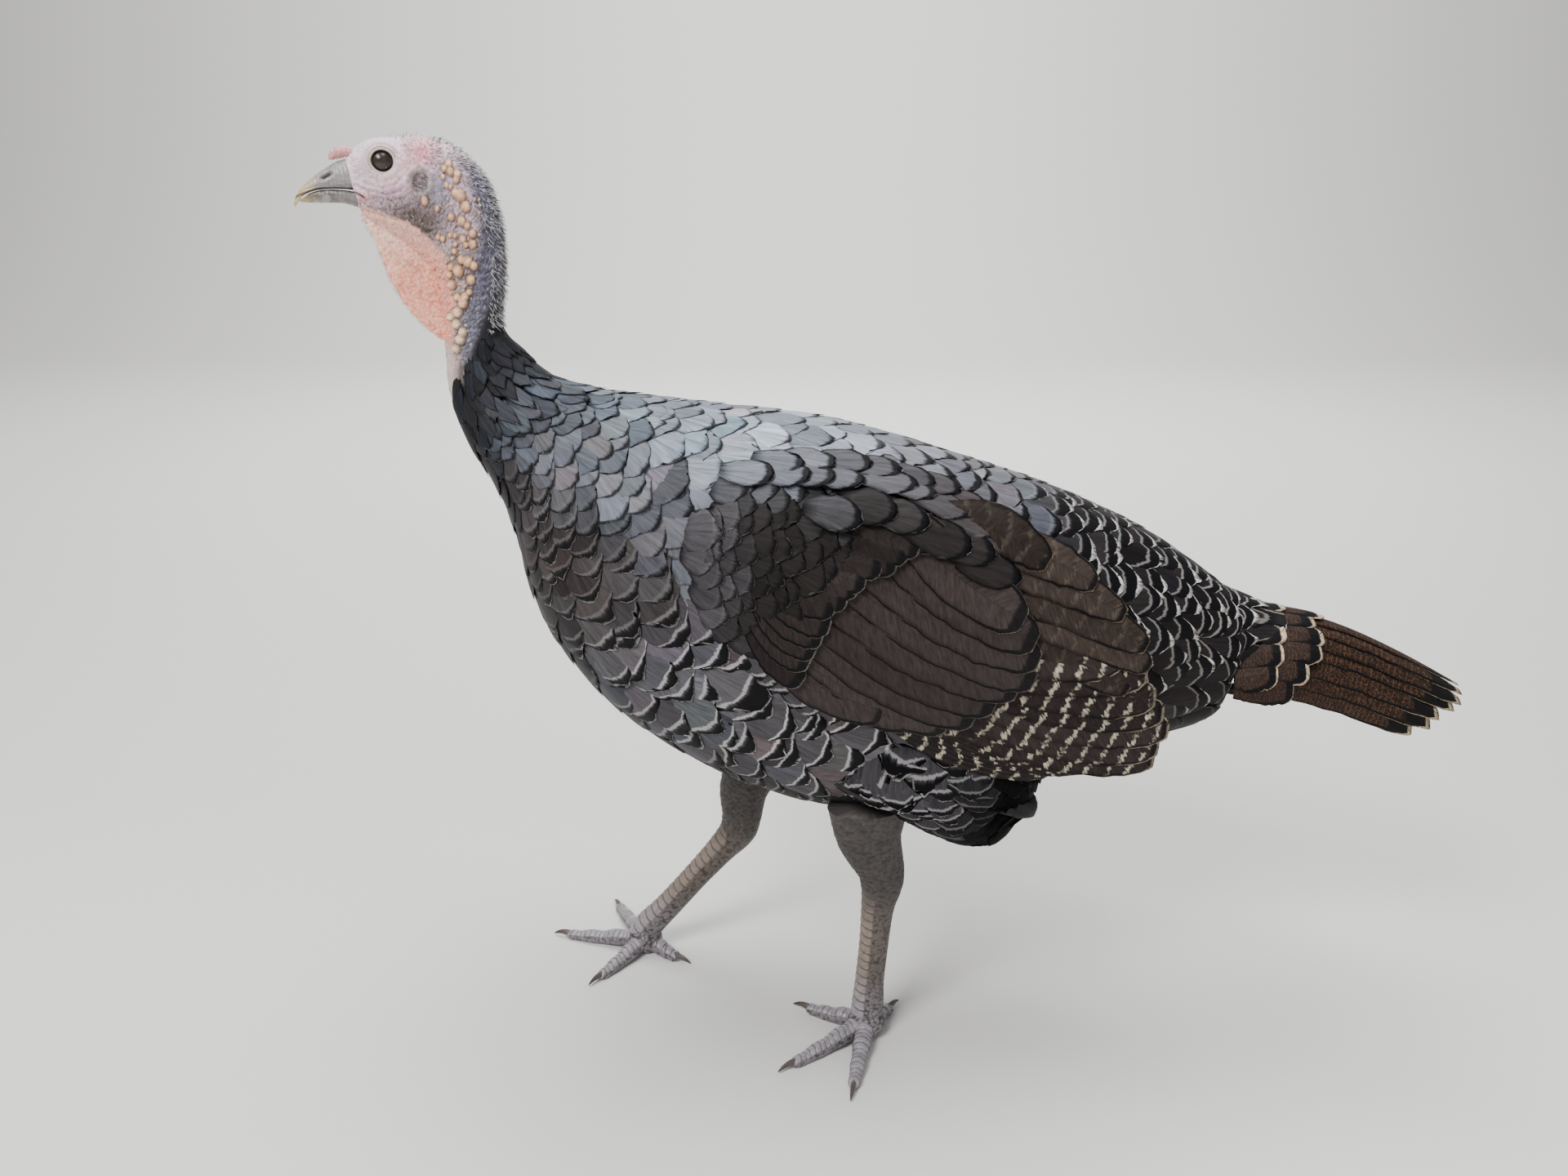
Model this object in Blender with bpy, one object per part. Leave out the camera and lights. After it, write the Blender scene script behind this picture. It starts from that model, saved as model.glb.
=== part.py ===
"""A young bronze domestic turkey in mid step, life size, as a still model of separate solids.

The bird faces -X, its left side is at -Y, and both feet stand on the floor at Z = 0.
Head, neck, torso and tail root are one lofted surface, parted by thin cuts. Wings, thighs, legs
and feet are fitted against it with the same thin gap.
"""

from math import cos, pi, radians, sin, sqrt

import bmesh
import bpy
import numpy as np

MM = 0.001
GAP = 0.3 * MM
NECK_AXIS_X = -285 * MM
BOX_MIDDLE = np.array((9.2 * MM, 16.1 * MM, 0.0))
LEFT, RIGHT = -1.0, 1.0

# The loft's stations. Each row holds the upper and the lower point of one section, as
# (ahead of the neck's upright axis, height), then its half width, all in millimetres, and
# how far the section is turned towards the left, in degrees.
STATIONS = (
    (69.5, 627.0, 65.0, 598.5, 8.2, 18),
    (64.0, 632.5, 61.5, 594.5, 10.6, 18),
    (57.0, 636.8, 57.5, 590.5, 12.9, 18),
    (48.0, 639.0, 52.5, 586.5, 14.6, 18),
    (38.0, 640.2, 47.0, 582.5, 16.4, 18),
    (24.0, 640.4, 41.0, 578.0, 17.8, 18),
    (10.0, 637.0, 35.5, 573.5, 18.3, 18),
    (-3.0, 628.5, 31.0, 568.5, 18.0, 18),
    (-12.0, 617.5, 27.5, 563.5, 17.4, 18),
    (-17.5, 604.5, 25.0, 558.0, 16.8, 18),
    (-20.5, 592.0, 23.0, 551.0, 16.4, 18),
    (-21.3, 577.0, 21.5, 543.0, 16.4, 18),
    (-21.0, 561.0, 20.5, 534.0, 16.6, 17),
    (-19.0, 545.0, 20.0, 525.0, 17.0, 15),
    (-16.5, 531.0, 20.3, 513.0, 18.0, 12),
    (-20.0, 519.0, 21.4, 498.0, 20.0, 8),
    (-33.0, 506.0, 22.5, 485.0, 23.0, 4),
    (-49.0, 492.5, 20.5, 469.5, 29.0, 0),
    (-80.0, 484.0, 9.5, 445.0, 41.0, 0),
    (-105.0, 480.5, -7.0, 418.0, 54.0, 0),
    (-135.0, 477.0, -18.0, 386.0, 66.0, 0),
    (-168.0, 473.0, -26.0, 348.0, 77.0, 0),
    (-201.0, 469.5, -42.0, 311.0, 85.0, 0),
    (-239.0, 463.5, -70.0, 273.0, 90.0, 0),
    (-278.0, 453.0, -106.0, 241.0, 93.0, 0),
    (-333.0, 436.0, -160.0, 209.0, 93.0, 0),
    (-370.0, 424.0, -212.0, 190.0, 91.0, 0),
    (-405.0, 410.5, -270.0, 182.0, 87.0, 0),
    (-431.0, 398.5, -328.0, 186.0, 79.0, 0),
    (-455.0, 386.0, -380.0, 203.0, 68.0, 0),
    (-477.0, 372.0, -428.0, 222.0, 57.0, 0),
    (-497.0, 357.5, -468.0, 236.0, 47.0, 0),
    (-511.0, 347.5, -502.0, 250.0, 41.0, 0),
    (-524.0, 341.5, -507.0, 276.0, 37.0, 0),
    (-549.0, 331.0, -537.0, 289.0, 28.0, 0),
)
HEAD_START, HEAD_END, COLLAR, SHOULDER, RUMP, TAIL_ROOT = 0, 9, 15, 18, 32, 34
# Where each part's rings lie, counted in stations, and how many points a ring has.
HEAD_STEPS = np.linspace(HEAD_START, HEAD_END, 14)
NECK_STEPS = np.linspace(HEAD_END, COLLAR, 10)
COLLAR_STEPS = np.linspace(COLLAR, SHOULDER, 6)
TORSO_STEPS = np.linspace(SHOULDER, RUMP, 19)
TAIL_STEPS = np.linspace(RUMP, TAIL_ROOT, 5)
NECK_SIDES, BODY_SIDES = 16, 20
TURN_DEG = 18.0

EYE_AT = (48.4 * MM, 625.4 * MM)
EYE_SIDE = 7.9 * MM
EYE_RADIUS = 7.6 * MM
EYE_OPENING = 6.5 * MM
LID_THICKNESS = 1.3 * MM
EAR_AT = (27.2 * MM, 614.6 * MM)
EAR_LENGTH, EAR_WIDTH, EAR_DEPTH = 8.5 * MM, 6.5 * MM, 3.0 * MM

# The bill's sections, as (ahead, height) of the ridge and of the cutting edge and a half width.
UPPER_BILL = (
    (70.0, 626.5, 67.1, 608.8, 8.0),
    (76.5, 624.2, 74.0, 609.6, 7.2),
    (83.5, 620.2, 82.0, 609.7, 6.2),
    (90.0, 615.8, 89.5, 608.5, 5.0),
    (95.5, 611.4, 95.5, 605.9, 3.7),
    (99.8, 606.0, 98.9, 602.2, 2.3),
    (102.2, 600.3, 101.2, 599.1, 0.9),
)
LOWER_BILL = (
    (66.9, 608.0, 65.5, 598.8, 7.6),
    (74.0, 608.9, 73.0, 600.9, 6.6),
    (82.0, 609.0, 82.0, 601.3, 5.5),
    (89.5, 607.8, 90.0, 601.3, 4.2),
    (95.0, 605.2, 95.3, 601.5, 2.7),
    (98.2, 602.7, 98.0, 601.7, 1.1),
)
# The fold of skin under the throat: its free edge, the line it hangs from, and a half width.
DEWLAP = (
    (64.3, 594.5, 60.0, 597.0, 1.8),
    (62.0, 588.8, 55.0, 592.0, 3.2),
    (57.8, 580.0, 45.0, 588.0, 4.4),
    (54.4, 568.0, 36.0, 578.0, 5.0),
    (51.3, 557.0, 28.0, 566.0, 5.2),
    (46.5, 546.5, 22.0, 552.0, 5.2),
    (40.0, 535.0, 18.0, 538.0, 4.8),
    (31.5, 525.0, 16.0, 524.0, 4.0),
    (23.5, 517.5, 15.0, 513.0, 2.8),
)
SNOOD = ((64.5, 630.5, 2.4), (69.5, 631.0, 3.0), (75.0, 629.6, 3.0), (79.0, 626.6, 1.7))

# The fold round the corner of the mouth, as (ahead, height, out to the side), and its radius.
LIP = (
    (69.5, 610.6, 8.8),
    (64.5, 608.8, 10.0),
    (60.0, 605.4, 11.6),
    (61.5, 602.8, 11.0),
    (66.0, 602.6, 8.6),
)
LIP_RADIUS = 1.2 * MM

# Caruncles: for each band of them the first and last station, the angle from the nape at both
# ends, the band's half breadth in degrees, how many there are, and the smallest and largest
# radius in millimetres.
HEAD_CARUNCLES = ((6.7, 8.3, 32, 50, 14, 3, 2.2, 3.2),)
NECK_CARUNCLES = (
    (9.8, 12.6, 60, 92, 24, 8, 2.8, 4.5),
    (12.8, 14.4, 98, 118, 22, 4, 3.6, 5.2),
)

# Legs: points down the leg as (x, y, z), then half its depth and half its width, millimetres.
LEFT_LEG = (
    (-26, -55, 205, 28.0, 17.0),
    (-24, -52, 178, 22.5, 14.5),
    (-15, -48, 150, 16.5, 12.0),
    (-14, -46, 135, 14.5, 11.0),
    (-16, -43, 115, 11.4, 8.4),
    (-18, -40, 80, 10.2, 7.4),
    (-20, -37, 48, 10.3, 7.5),
    (-21, -36, 24, 11.5, 8.8),
    (-22, -35, 12, 9.0, 7.0),
)
RIGHT_LEG = (
    (-99, 58, 196, 25.0, 17.0),
    (-115, 61, 160, 19.5, 14.5),
    (-118, 65, 131, 15.5, 12.0),
    (-122, 66, 116, 14.5, 11.0),
    (-136, 67, 98, 11.6, 8.4),
    (-158, 69, 71, 10.4, 7.4),
    (-181, 70, 43, 10.6, 7.5),
    (-198, 71, 24, 11.5, 8.8),
    (-206, 72, 13, 9.0, 7.0),
)
# Toes: name, heading away from straight ahead (outwards positive, degrees), length.
LEFT_TOES = (("inner", -30, 50), ("middle", 34, 67), ("outer", 78, 62), ("hind", -128, 32))
RIGHT_TOES = (("inner", -52, 52), ("middle", 14, 70), ("outer", 63, 66), ("hind", -150, 32))
LEFT_FOOT_AT = (-21.5 * MM, -35.5 * MM)
RIGHT_FOOT_AT = (-201 * MM, 71 * MM)
TOE_ROOT_RADIUS, TOE_TIP_RADIUS = 7.2 * MM, 4.0 * MM
SOLE_SINK = 1.1 * MM
CLAW_LENGTH, CLAW_RADIUS = 14 * MM, 3.2 * MM
# Scutes stand proud of the leg at their lower edge and are sunk into it. On the shank they run
# from one of the leg's rows to another, and so many of them.
SCUTE_PROUD, SCUTE_SUNK = 1.0 * MM, 1.2 * MM
SHANK_SCUTES = (3.2, 7.1, 11)
TOE_SCUTES = 3
LEG_SIDES, TOE_SIDES = 10, 8


def make_collection(name):
    made = bpy.data.collections.new(name)
    bpy.context.scene.collection.children.link(made)
    return made


def material(name, colour, roughness, metallic=0.0):
    made = bpy.data.materials.new(name)
    made.use_nodes = True
    shader = made.node_tree.nodes["Principled BSDF"]
    shader.inputs["Base Color"].default_value = (*colour, 1.0)
    shader.inputs["Roughness"].default_value = roughness
    shader.inputs["Metallic"].default_value = metallic
    return made


def mesh_object(name, points, faces, collection):
    """A closed mesh from points in the bird's frame, its faces turned outwards."""
    mesh = bpy.data.meshes.new(name)
    moved = np.asarray(points, float) - BOX_MIDDLE
    mesh.from_pydata([tuple(p) for p in moved], [], [tuple(map(int, f)) for f in faces])
    work = bmesh.new()
    work.from_mesh(mesh)
    bmesh.ops.recalc_face_normals(work, faces=work.faces)
    bmesh.ops.triangulate(work, faces=work.faces)
    work.to_mesh(mesh)
    work.free()
    mesh.shade_smooth()
    made = bpy.data.objects.new(name, mesh)
    collection.objects.link(made)
    return made


def finish(obj, look):
    obj.data.materials.clear()
    obj.data.materials.append(look)
    obj.data.shade_smooth()
    return obj


def applied(obj):
    """The object's mesh with its modifiers applied."""
    graph = bpy.context.evaluated_depsgraph_get()
    mesh = bpy.data.meshes.new_from_object(obj.evaluated_get(graph))
    obj.modifiers.clear()
    old = obj.data
    obj.data = mesh
    bpy.data.meshes.remove(old)
    return obj


def keep_largest(obj):
    """Keeps only the closed surface that holds the most volume."""
    work = bmesh.new()
    work.from_mesh(obj.data)
    bmesh.ops.triangulate(work, faces=work.faces)
    left = set(work.faces)
    groups = []
    while left:
        front = [left.pop()]
        group = []
        while front:
            face = front.pop()
            group.append(face)
            for edge in face.edges:
                for near in edge.link_faces:
                    if near in left:
                        left.remove(near)
                        front.append(near)
        groups.append(group)

    def volume(group):
        corners = [[v.co for v in f.verts] for f in group]
        return abs(sum(a.dot(b.cross(c)) for a, b, c in corners))

    best = max(groups, key=volume)
    spare = [f for group in groups if group is not best for f in group]
    bmesh.ops.delete(work, geom=spare, context="FACES")
    work.to_mesh(obj.data)
    work.free()
    return obj


def fuse(obj, pieces, solver="EXACT"):
    """One Boolean union of the object with the closed meshes of a collection."""
    if len(pieces.objects) == 0:
        return obj
    union = obj.modifiers.new("union", "BOOLEAN")
    union.operation = "UNION"
    union.operand_type = "COLLECTION"
    union.collection = pieces
    union.solver = solver
    applied(obj)
    for piece in list(pieces.objects):
        bpy.data.objects.remove(piece)
    return keep_largest(obj)


def inflated(obj, by=GAP):
    """A cutter: the object's shape, grown along its normals by the gap."""
    graph = bpy.context.evaluated_depsgraph_get()
    mesh = bpy.data.meshes.new_from_object(obj.evaluated_get(graph))
    work = bmesh.new()
    work.from_mesh(mesh)
    work.normal_update()
    normals = [v.normal.copy() for v in work.verts]
    for vertex, normal in zip(work.verts, normals):
        vertex.co += normal * by
    work.to_mesh(mesh)
    work.free()
    made = bpy.data.objects.new(obj.name + "_room", mesh)
    CUTTERS.objects.link(made)
    made.hide_render = True
    made.display_type = "WIRE"
    return made


def cut(obj, cutter, solver="EXACT"):
    """Cuts the cutter's shape out of the object and removes the cutter."""
    away = obj.modifiers.new("cut", "BOOLEAN")
    away.operation = "DIFFERENCE"
    away.object = cutter
    away.solver = solver
    applied(obj)
    bpy.data.objects.remove(cutter)
    return keep_largest(obj)


def fit_against(obj, others, by=GAP):
    for other in others:
        cut(obj, inflated(other, by))
    return obj


def spline(rows, where):
    """Catmull-Rom through the rows, read at positions counted in rows."""
    rows = np.asarray(rows, float)
    last = len(rows) - 1
    padded = np.vstack([2 * rows[0] - rows[1], rows, 2 * rows[-1] - rows[-2]])
    where = np.clip(np.atleast_1d(where), 0, last)
    start = np.minimum(where.astype(int), last - 1)
    t = (where - start)[:, None]
    p0, p1, p2, p3 = (padded[start + k] for k in range(4))
    return 0.5 * (
        2 * p1
        + (p2 - p0) * t
        + (2 * p0 - 5 * p1 + 4 * p2 - p3) * t**2
        + (3 * p1 - p0 - 3 * p2 + p3) * t**3
    )


def plane_point(ahead, height, turn_deg=TURN_DEG):
    """A point of the head's middle plane, which is turned to the left about the neck's axis."""
    turn = np.radians(turn_deg)
    ahead = np.asarray(ahead, float)
    x = NECK_AXIS_X - ahead * np.cos(turn)
    y = -ahead * np.sin(turn)
    return np.stack(np.broadcast_arrays(x, y, height), axis=-1)


def plane_side(turn_deg=TURN_DEG):
    """The unit vector out of the middle plane, towards the bird's left."""
    turn = np.radians(turn_deg)
    flat = np.zeros_like(np.asarray(turn, float))
    return np.stack([np.sin(turn), -np.cos(turn), flat], axis=-1)


def section(top, bottom, half_width, side, count, squareness=1.0, widest=0.5):
    """One closed ring: an oval from top to bottom, widest at a given share of the way down."""
    angle = np.linspace(0, 2 * pi, count, endpoint=False)
    up = np.cos(angle)[:, None]
    across = np.sin(angle)[:, None]
    middle = top + widest * (bottom - top)
    rise = np.where(up > 0, up * (top - middle), -up * (bottom - middle))
    spread = np.sign(across) * np.abs(across) ** squareness
    return middle + rise + spread * half_width * side


def body_rings(positions, count):
    rows = spline(STATIONS, positions)
    top = plane_point(rows[:, 0] * MM, rows[:, 1] * MM, rows[:, 5])
    bottom = plane_point(rows[:, 2] * MM, rows[:, 3] * MM, rows[:, 5])
    side = plane_side(rows[:, 5])
    rings = []
    for at, t, b, s, w in zip(positions, top, bottom, side, rows[:, 4] * MM):
        share = min(max((at - COLLAR) / (SHOULDER + 3 - COLLAR), 0.0), 1.0)
        rings.append(section(t, b, w, s, count, 1.0 - 0.14 * share))
    return np.array(rings)


def ring_normal(ring):
    centre = ring.mean(axis=0)
    quarter = len(ring) // 4
    normal = np.cross(ring[0] - centre, ring[quarter] - centre)
    return normal / np.linalg.norm(normal)


def part_rings(rings, start=True, end=True):
    """Draws the end rings in by half the gap, so that neighbours meet face to face."""
    rings = rings.copy()
    for index, near, wanted in ((0, 1, start), (-1, -2, end)):
        if wanted:
            normal = ring_normal(rings[index])
            inwards = rings[near].mean(axis=0) - rings[index].mean(axis=0)
            rings[index] += normal * np.sign(normal @ inwards) * GAP / 2
    return rings


def loft_mesh(rings):
    """Points and faces of a closed loft through rings of equal count, capped by fans."""
    rings = np.asarray(rings)
    steps, count = rings.shape[:2]
    points = list(rings.reshape(-1, 3))
    faces = []
    for i in range(steps - 1):
        for j in range(count):
            k = (j + 1) % count
            faces.append((i * count + j, i * count + k, (i + 1) * count + k, (i + 1) * count + j))
    for i in (0, steps - 1):
        points.append(rings[i].mean(axis=0))
        centre = len(points) - 1
        for j in range(count):
            faces.append((i * count + j, i * count + (j + 1) % count, centre))
    return np.array(points), faces


def loft(name, rings, collection):
    return mesh_object(name, *loft_mesh(rings), collection)


def plane_loft(name, rows, count, collection, widest=0.5):
    """A loft through sections that stand on the head's middle plane."""
    rows = np.asarray(rows, float) * MM
    side = plane_side()
    top, bottom = plane_point(rows[:, 0], rows[:, 1]), plane_point(rows[:, 2], rows[:, 3])
    rings = [section(t, b, w, side, count, widest=widest) for t, b, w in zip(top, bottom, rows[:, 4])]
    return loft(name, np.array(rings), collection)


def tube_rings(path, deep, wide, count, across):
    """Rings square to a path. `across` is the direction that the half width is measured along."""
    path = np.asarray(path, float)
    along = np.gradient(path, axis=0)
    along /= np.linalg.norm(along, axis=1)[:, None]
    side = across - (along @ across)[:, None] * along
    side /= np.linalg.norm(side, axis=1)[:, None]
    front = np.cross(side, along)
    angle = np.linspace(0, 2 * pi, count, endpoint=False)
    return (
        path[:, None]
        + np.asarray(deep)[:, None, None] * np.cos(angle)[None, :, None] * front[:, None]
        + np.asarray(wide)[:, None, None] * np.sin(angle)[None, :, None] * side[:, None]
    )


def ellipsoid(name, centre, axes, radii, collection, segments=16, rings=10):
    """A UV sphere stretched along three given unit axes."""
    work = bmesh.new()
    bmesh.ops.create_uvsphere(work, u_segments=segments, v_segments=rings, radius=1.0)
    frame = np.asarray(axes, float).T * np.asarray(radii)
    points = np.array([v.co for v in work.verts]) @ frame.T + centre
    faces = [[v.index for v in f.verts] for f in work.faces]
    work.free()
    return mesh_object(name, points, faces, collection)


def head_axes():
    """Ahead, left and up, as the turned head has them."""
    turn = radians(TURN_DEG)
    return np.array([(-cos(turn), -sin(turn), 0), plane_side(), (0, 0, 1)])


def tilted(axes, turn):
    """The axes turned about the one to the left, so that the one ahead rises."""
    ahead, left, up = axes
    return np.array([ahead * cos(turn) + up * sin(turn), left, up * cos(turn) - ahead * sin(turn)])


def ring_round(name, centre, normal, up, major, minor, collection, stretch=1.0):
    """A torus lying square to a normal, stretched along `up`."""
    normal = normal / np.linalg.norm(normal)
    up = up - (up @ normal) * normal
    up /= np.linalg.norm(up)
    third = np.cross(normal, up)
    turns, sides = 12, 5
    a, b = np.meshgrid(
        np.linspace(0, 2 * pi, turns, endpoint=False),
        np.linspace(0, 2 * pi, sides, endpoint=False),
        indexing="ij",
    )
    reach = major + minor * np.cos(b)
    points = (
        centre
        + (reach * np.cos(a))[..., None] * third
        + (reach * np.sin(a) * stretch)[..., None] * up
        + (minor * np.sin(b))[..., None] * normal
    ).reshape(-1, 3)
    faces = []
    for i in range(turns):
        for j in range(sides):
            k, m = (i + 1) % turns, (j + 1) % sides
            faces.append((i * sides + j, k * sides + j, k * sides + m, i * sides + m))
    return mesh_object(name, points, faces, collection)


def make_caruncles(bands, seed):
    """Fleshy bulbs in bands down both sides of the nape, half sunk, to be fused afterwards."""
    draw = np.random.default_rng(seed)
    for side in (1, -1):
        for first, last, start_turn, end_turn, breadth, count, small, large in bands:
            for i in range(count):
                share = (i + draw.uniform(-0.3, 0.3)) / (count - 1)
                station = first + (last - first) * min(max(share, 0), 1)
                turn = start_turn + (end_turn - start_turn) * share + draw.uniform(-1, 1) * breadth
                ring = body_rings([station], 360)[0]
                at = ring[int(side * turn) % 360]
                radius = draw.uniform(small, large) * MM
                radii = (radius, radius * 0.8, radius * draw.uniform(0.9, 1.2))
                ellipsoid("bulb", at, np.eye(3), radii, FUSED, 6, 4)


def eye_centre(side):
    return plane_point(*EYE_AT) + plane_side() * EYE_SIDE * -side


def make_head():
    rings = part_rings(body_rings(HEAD_STEPS, NECK_SIDES))
    head = loft("head", rings, PARTS)
    axes = head_axes()
    for side in (LEFT, RIGHT):
        out = axes[1] * -side
        lid_at = eye_centre(side) + out * sqrt(EYE_RADIUS**2 - EYE_OPENING**2)
        ring_round("lids", lid_at, out, axes[2], EYE_OPENING + 1.0 * MM, LID_THICKNESS, FUSED)
        ear_at = plane_point(*EAR_AT) + out * 16.6 * MM
        ring_round("ear_rim", ear_at, out, axes[2], EAR_WIDTH, 1.4 * MM, FUSED, EAR_LENGTH / EAR_WIDTH)
        lip = spline(np.array(LIP) * MM, np.linspace(0, len(LIP) - 1, 7))
        path = plane_point(lip[:, 0], lip[:, 1]) + out * lip[:, [2]]
        thick = np.full(len(path), LIP_RADIUS)
        loft("lip", tube_rings(path, thick, thick, 5, out), FUSED)
    make_caruncles(HEAD_CARUNCLES, 21)
    fuse(head, FUSED)
    mouth_at = plane_point(64 * MM, 606.0 * MM)
    mouth = tilted(axes, radians(24))
    cut(head, ellipsoid("mouth", mouth_at, mouth, (6.5 * MM, 16 * MM, 0.8 * MM), CUTTERS, 10, 6))
    for side in (LEFT, RIGHT):
        out = axes[1] * -side
        socket = ellipsoid("socket", eye_centre(side), axes, [EYE_RADIUS + GAP] * 3, CUTTERS, 12, 8)
        cut(head, socket)
        cup_at = plane_point(*EAR_AT) + out * 19.0 * MM
        radii = (EAR_WIDTH - 1.6 * MM, EAR_DEPTH, EAR_LENGTH - 1.6 * MM)
        cut(head, ellipsoid("cup", cup_at, axes, radii, CUTTERS, 8, 6))
    return finish(head, SKIN)


def make_eyes():
    for side, name in ((LEFT, "eye_left"), (RIGHT, "eye_right")):
        ball = ellipsoid(name, eye_centre(side), head_axes(), [EYE_RADIUS] * 3, PARTS, 12, 8)
        finish(ball, EYE)


def make_bill(head):
    upper = plane_loft("beak_upper", UPPER_BILL, 14, PARTS, widest=0.8)
    lower = plane_loft("beak_lower", LOWER_BILL, 12, PARTS, widest=0.22)
    fit_against(upper, [head])
    fit_against(lower, [head, upper])
    axes = head_axes()
    slant = radians(-30)
    slit = tilted(axes, slant)
    for side in (LEFT, RIGHT):
        at = plane_point(81.8 * MM, 616.6 * MM) + axes[1] * -side * 6.3 * MM
        nostril = ellipsoid("nostril", at, slit, (3.8 * MM, 2.4 * MM, 1.2 * MM), CUTTERS, 10, 6)
        cut(upper, nostril)
    finish(upper, HORN)
    finish(lower, HORN)
    return upper, lower


def make_snood(near):
    rows = np.array(SNOOD) * MM
    rows = spline(rows, np.linspace(0, len(rows) - 1, 8))
    path = plane_point(rows[:, 0], rows[:, 1])
    rings = tube_rings(path, rows[:, 2], rows[:, 2], 10, plane_side())
    snood = loft("snood", rings, PARTS)
    fit_against(snood, near)
    return finish(snood, WATTLE)


def make_dewlap(near):
    rows = spline(DEWLAP, np.linspace(0, len(DEWLAP) - 1, 12))
    dewlap = plane_loft("dewlap", rows, 8, PARTS, widest=0.62)
    steps = np.concatenate([HEAD_STEPS, NECK_STEPS[1:], COLLAR_STEPS[1:]])
    rings = body_rings(steps, NECK_SIDES)
    body = loft("head_and_neck", rings, CUTTERS)
    cut(dewlap, inflated(body))
    bpy.data.objects.remove(body)
    fit_against(dewlap, near)
    return finish(dewlap, WATTLE)


def make_body():
    neck = loft("neck_upper", part_rings(body_rings(NECK_STEPS, NECK_SIDES)), PARTS)
    make_caruncles(NECK_CARUNCLES, 22)
    fuse(neck, FUSED)
    collar = loft("neck_lower", part_rings(body_rings(COLLAR_STEPS, NECK_SIDES)), PARTS)
    torso = loft("torso", part_rings(body_rings(TORSO_STEPS, BODY_SIDES)), PARTS)
    finish(neck, SKIN)
    finish(collar, PLUMAGE)
    finish(torso, PLUMAGE)
    return neck, collar, torso


def side_table():
    """The left half of the body's surface as a dense grid of points with their normals."""
    steps = np.linspace(SHOULDER, RUMP, 90)
    count = 160
    rings = body_rings(steps, count)[:, : count // 2 + 1]
    along = np.gradient(rings, axis=0)
    around = np.gradient(rings, axis=1)
    normals = np.cross(along, around)
    normals /= np.linalg.norm(normals, axis=2)[..., None]
    outwards = np.sign((normals * (rings - rings.mean(axis=(0, 1)))).sum())
    return rings.reshape(-1, 3), (normals * outwards).reshape(-1, 3)


def on_side(x, z, lift, side):
    """Points over the body's side at given (x, z), lifted off its surface along the normal.

    Each is the average of the nearest points of the surface's grid, weighted by nearness.
    """
    points, normals = SIDE_TABLE
    wanted = np.stack([np.ravel(x), np.ravel(z)], axis=1)
    lift = np.broadcast_to(lift, np.shape(x)).ravel()
    apart = np.linalg.norm(points[None, :, [0, 2]] - wanted[:, None], axis=2)
    nearest = np.argpartition(apart, 6, axis=1)[:, :6]
    near = np.take_along_axis(apart, nearest, axis=1)
    weight = 1 / (near + 0.4 * MM) ** 2
    weight /= weight.sum(axis=1)[:, None]
    y = (points[nearest, 1] * weight).sum(axis=1)
    normal = (normals[nearest] * weight[..., None]).sum(axis=1)
    normal /= np.linalg.norm(normal, axis=1)[:, None]
    base = np.stack([wanted[:, 0], y, wanted[:, 1]], axis=1)
    found = base + normal * lift[:, None]
    found[:, 1] *= -side
    return found.reshape(*np.shape(x), 3)


def on_wing(x, z, lift, side):
    """Points of the folded wing's surface, which follows the body but bends round it less."""
    x, z = np.broadcast_arrays(x, z)
    back = np.maximum(x - WING_FREE_FROM[0], 0)
    down = np.maximum(WING_FREE_FROM[1] - z, 0)
    shift = np.stack([back * (1 - WING_FOLLOWS), np.zeros(x.shape), -down * (1 - WING_FOLLOWS)], axis=-1)
    return on_side(x - shift[..., 0], z - shift[..., 2], lift, side) + shift


def sheet_mesh(upper, lower):
    """Points and faces of a closed slab between two grids of one size, split alike on both."""
    rows, columns = upper.shape[:2]
    size = rows * columns
    points = np.concatenate([upper.reshape(-1, 3), lower.reshape(-1, 3)])
    faces = []
    for i in range(rows - 1):
        for j in range(columns - 1):
            a, b = i * columns + j, i * columns + j + 1
            c, d = a + columns, b + columns
            faces += [(a, b, d), (a, d, c)]
            faces += [(a + size, d + size, b + size), (a + size, c + size, d + size)]
    rim = list(range(columns))
    rim += [i * columns + columns - 1 for i in range(1, rows)]
    rim += [(rows - 1) * columns + j for j in range(columns - 2, -1, -1)]
    rim += [i * columns for i in range(rows - 2, 0, -1)]
    for a, b in zip(rim, rim[1:] + rim[:1]):
        faces += [(a, a + size, b), (b, a + size, b + size)]
    return points, faces


def vane_outline(steps):
    """Shares along a vane and its half width there, as a share of the widest."""
    share = np.linspace(0, 1, steps)
    share = 1 - (1 - share) ** 1.35
    width = np.clip(0.55 + 1.1 * share, 0, 1) * np.sqrt(np.clip(1 - (share * 0.97) ** 7, 0, 1))
    return share, width


def curve_between(root, tip, bend, share):
    """Points from root to tip in a plane, bowed sideways by `bend`, and their unit normals."""
    root, tip = np.asarray(root, float), np.asarray(tip, float)
    along = tip - root
    flat = np.array((-along[1], along[0])) / np.linalg.norm(along)
    centre = root + along * share[:, None] + flat * (4 * bend * share * (1 - share))[:, None]
    slope = along + flat * (4 * bend * (1 - 2 * share))[:, None]
    normal = np.stack([-slope[:, 1], slope[:, 0]], axis=1)
    return centre, normal / np.linalg.norm(normal, axis=1)[:, None]


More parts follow.
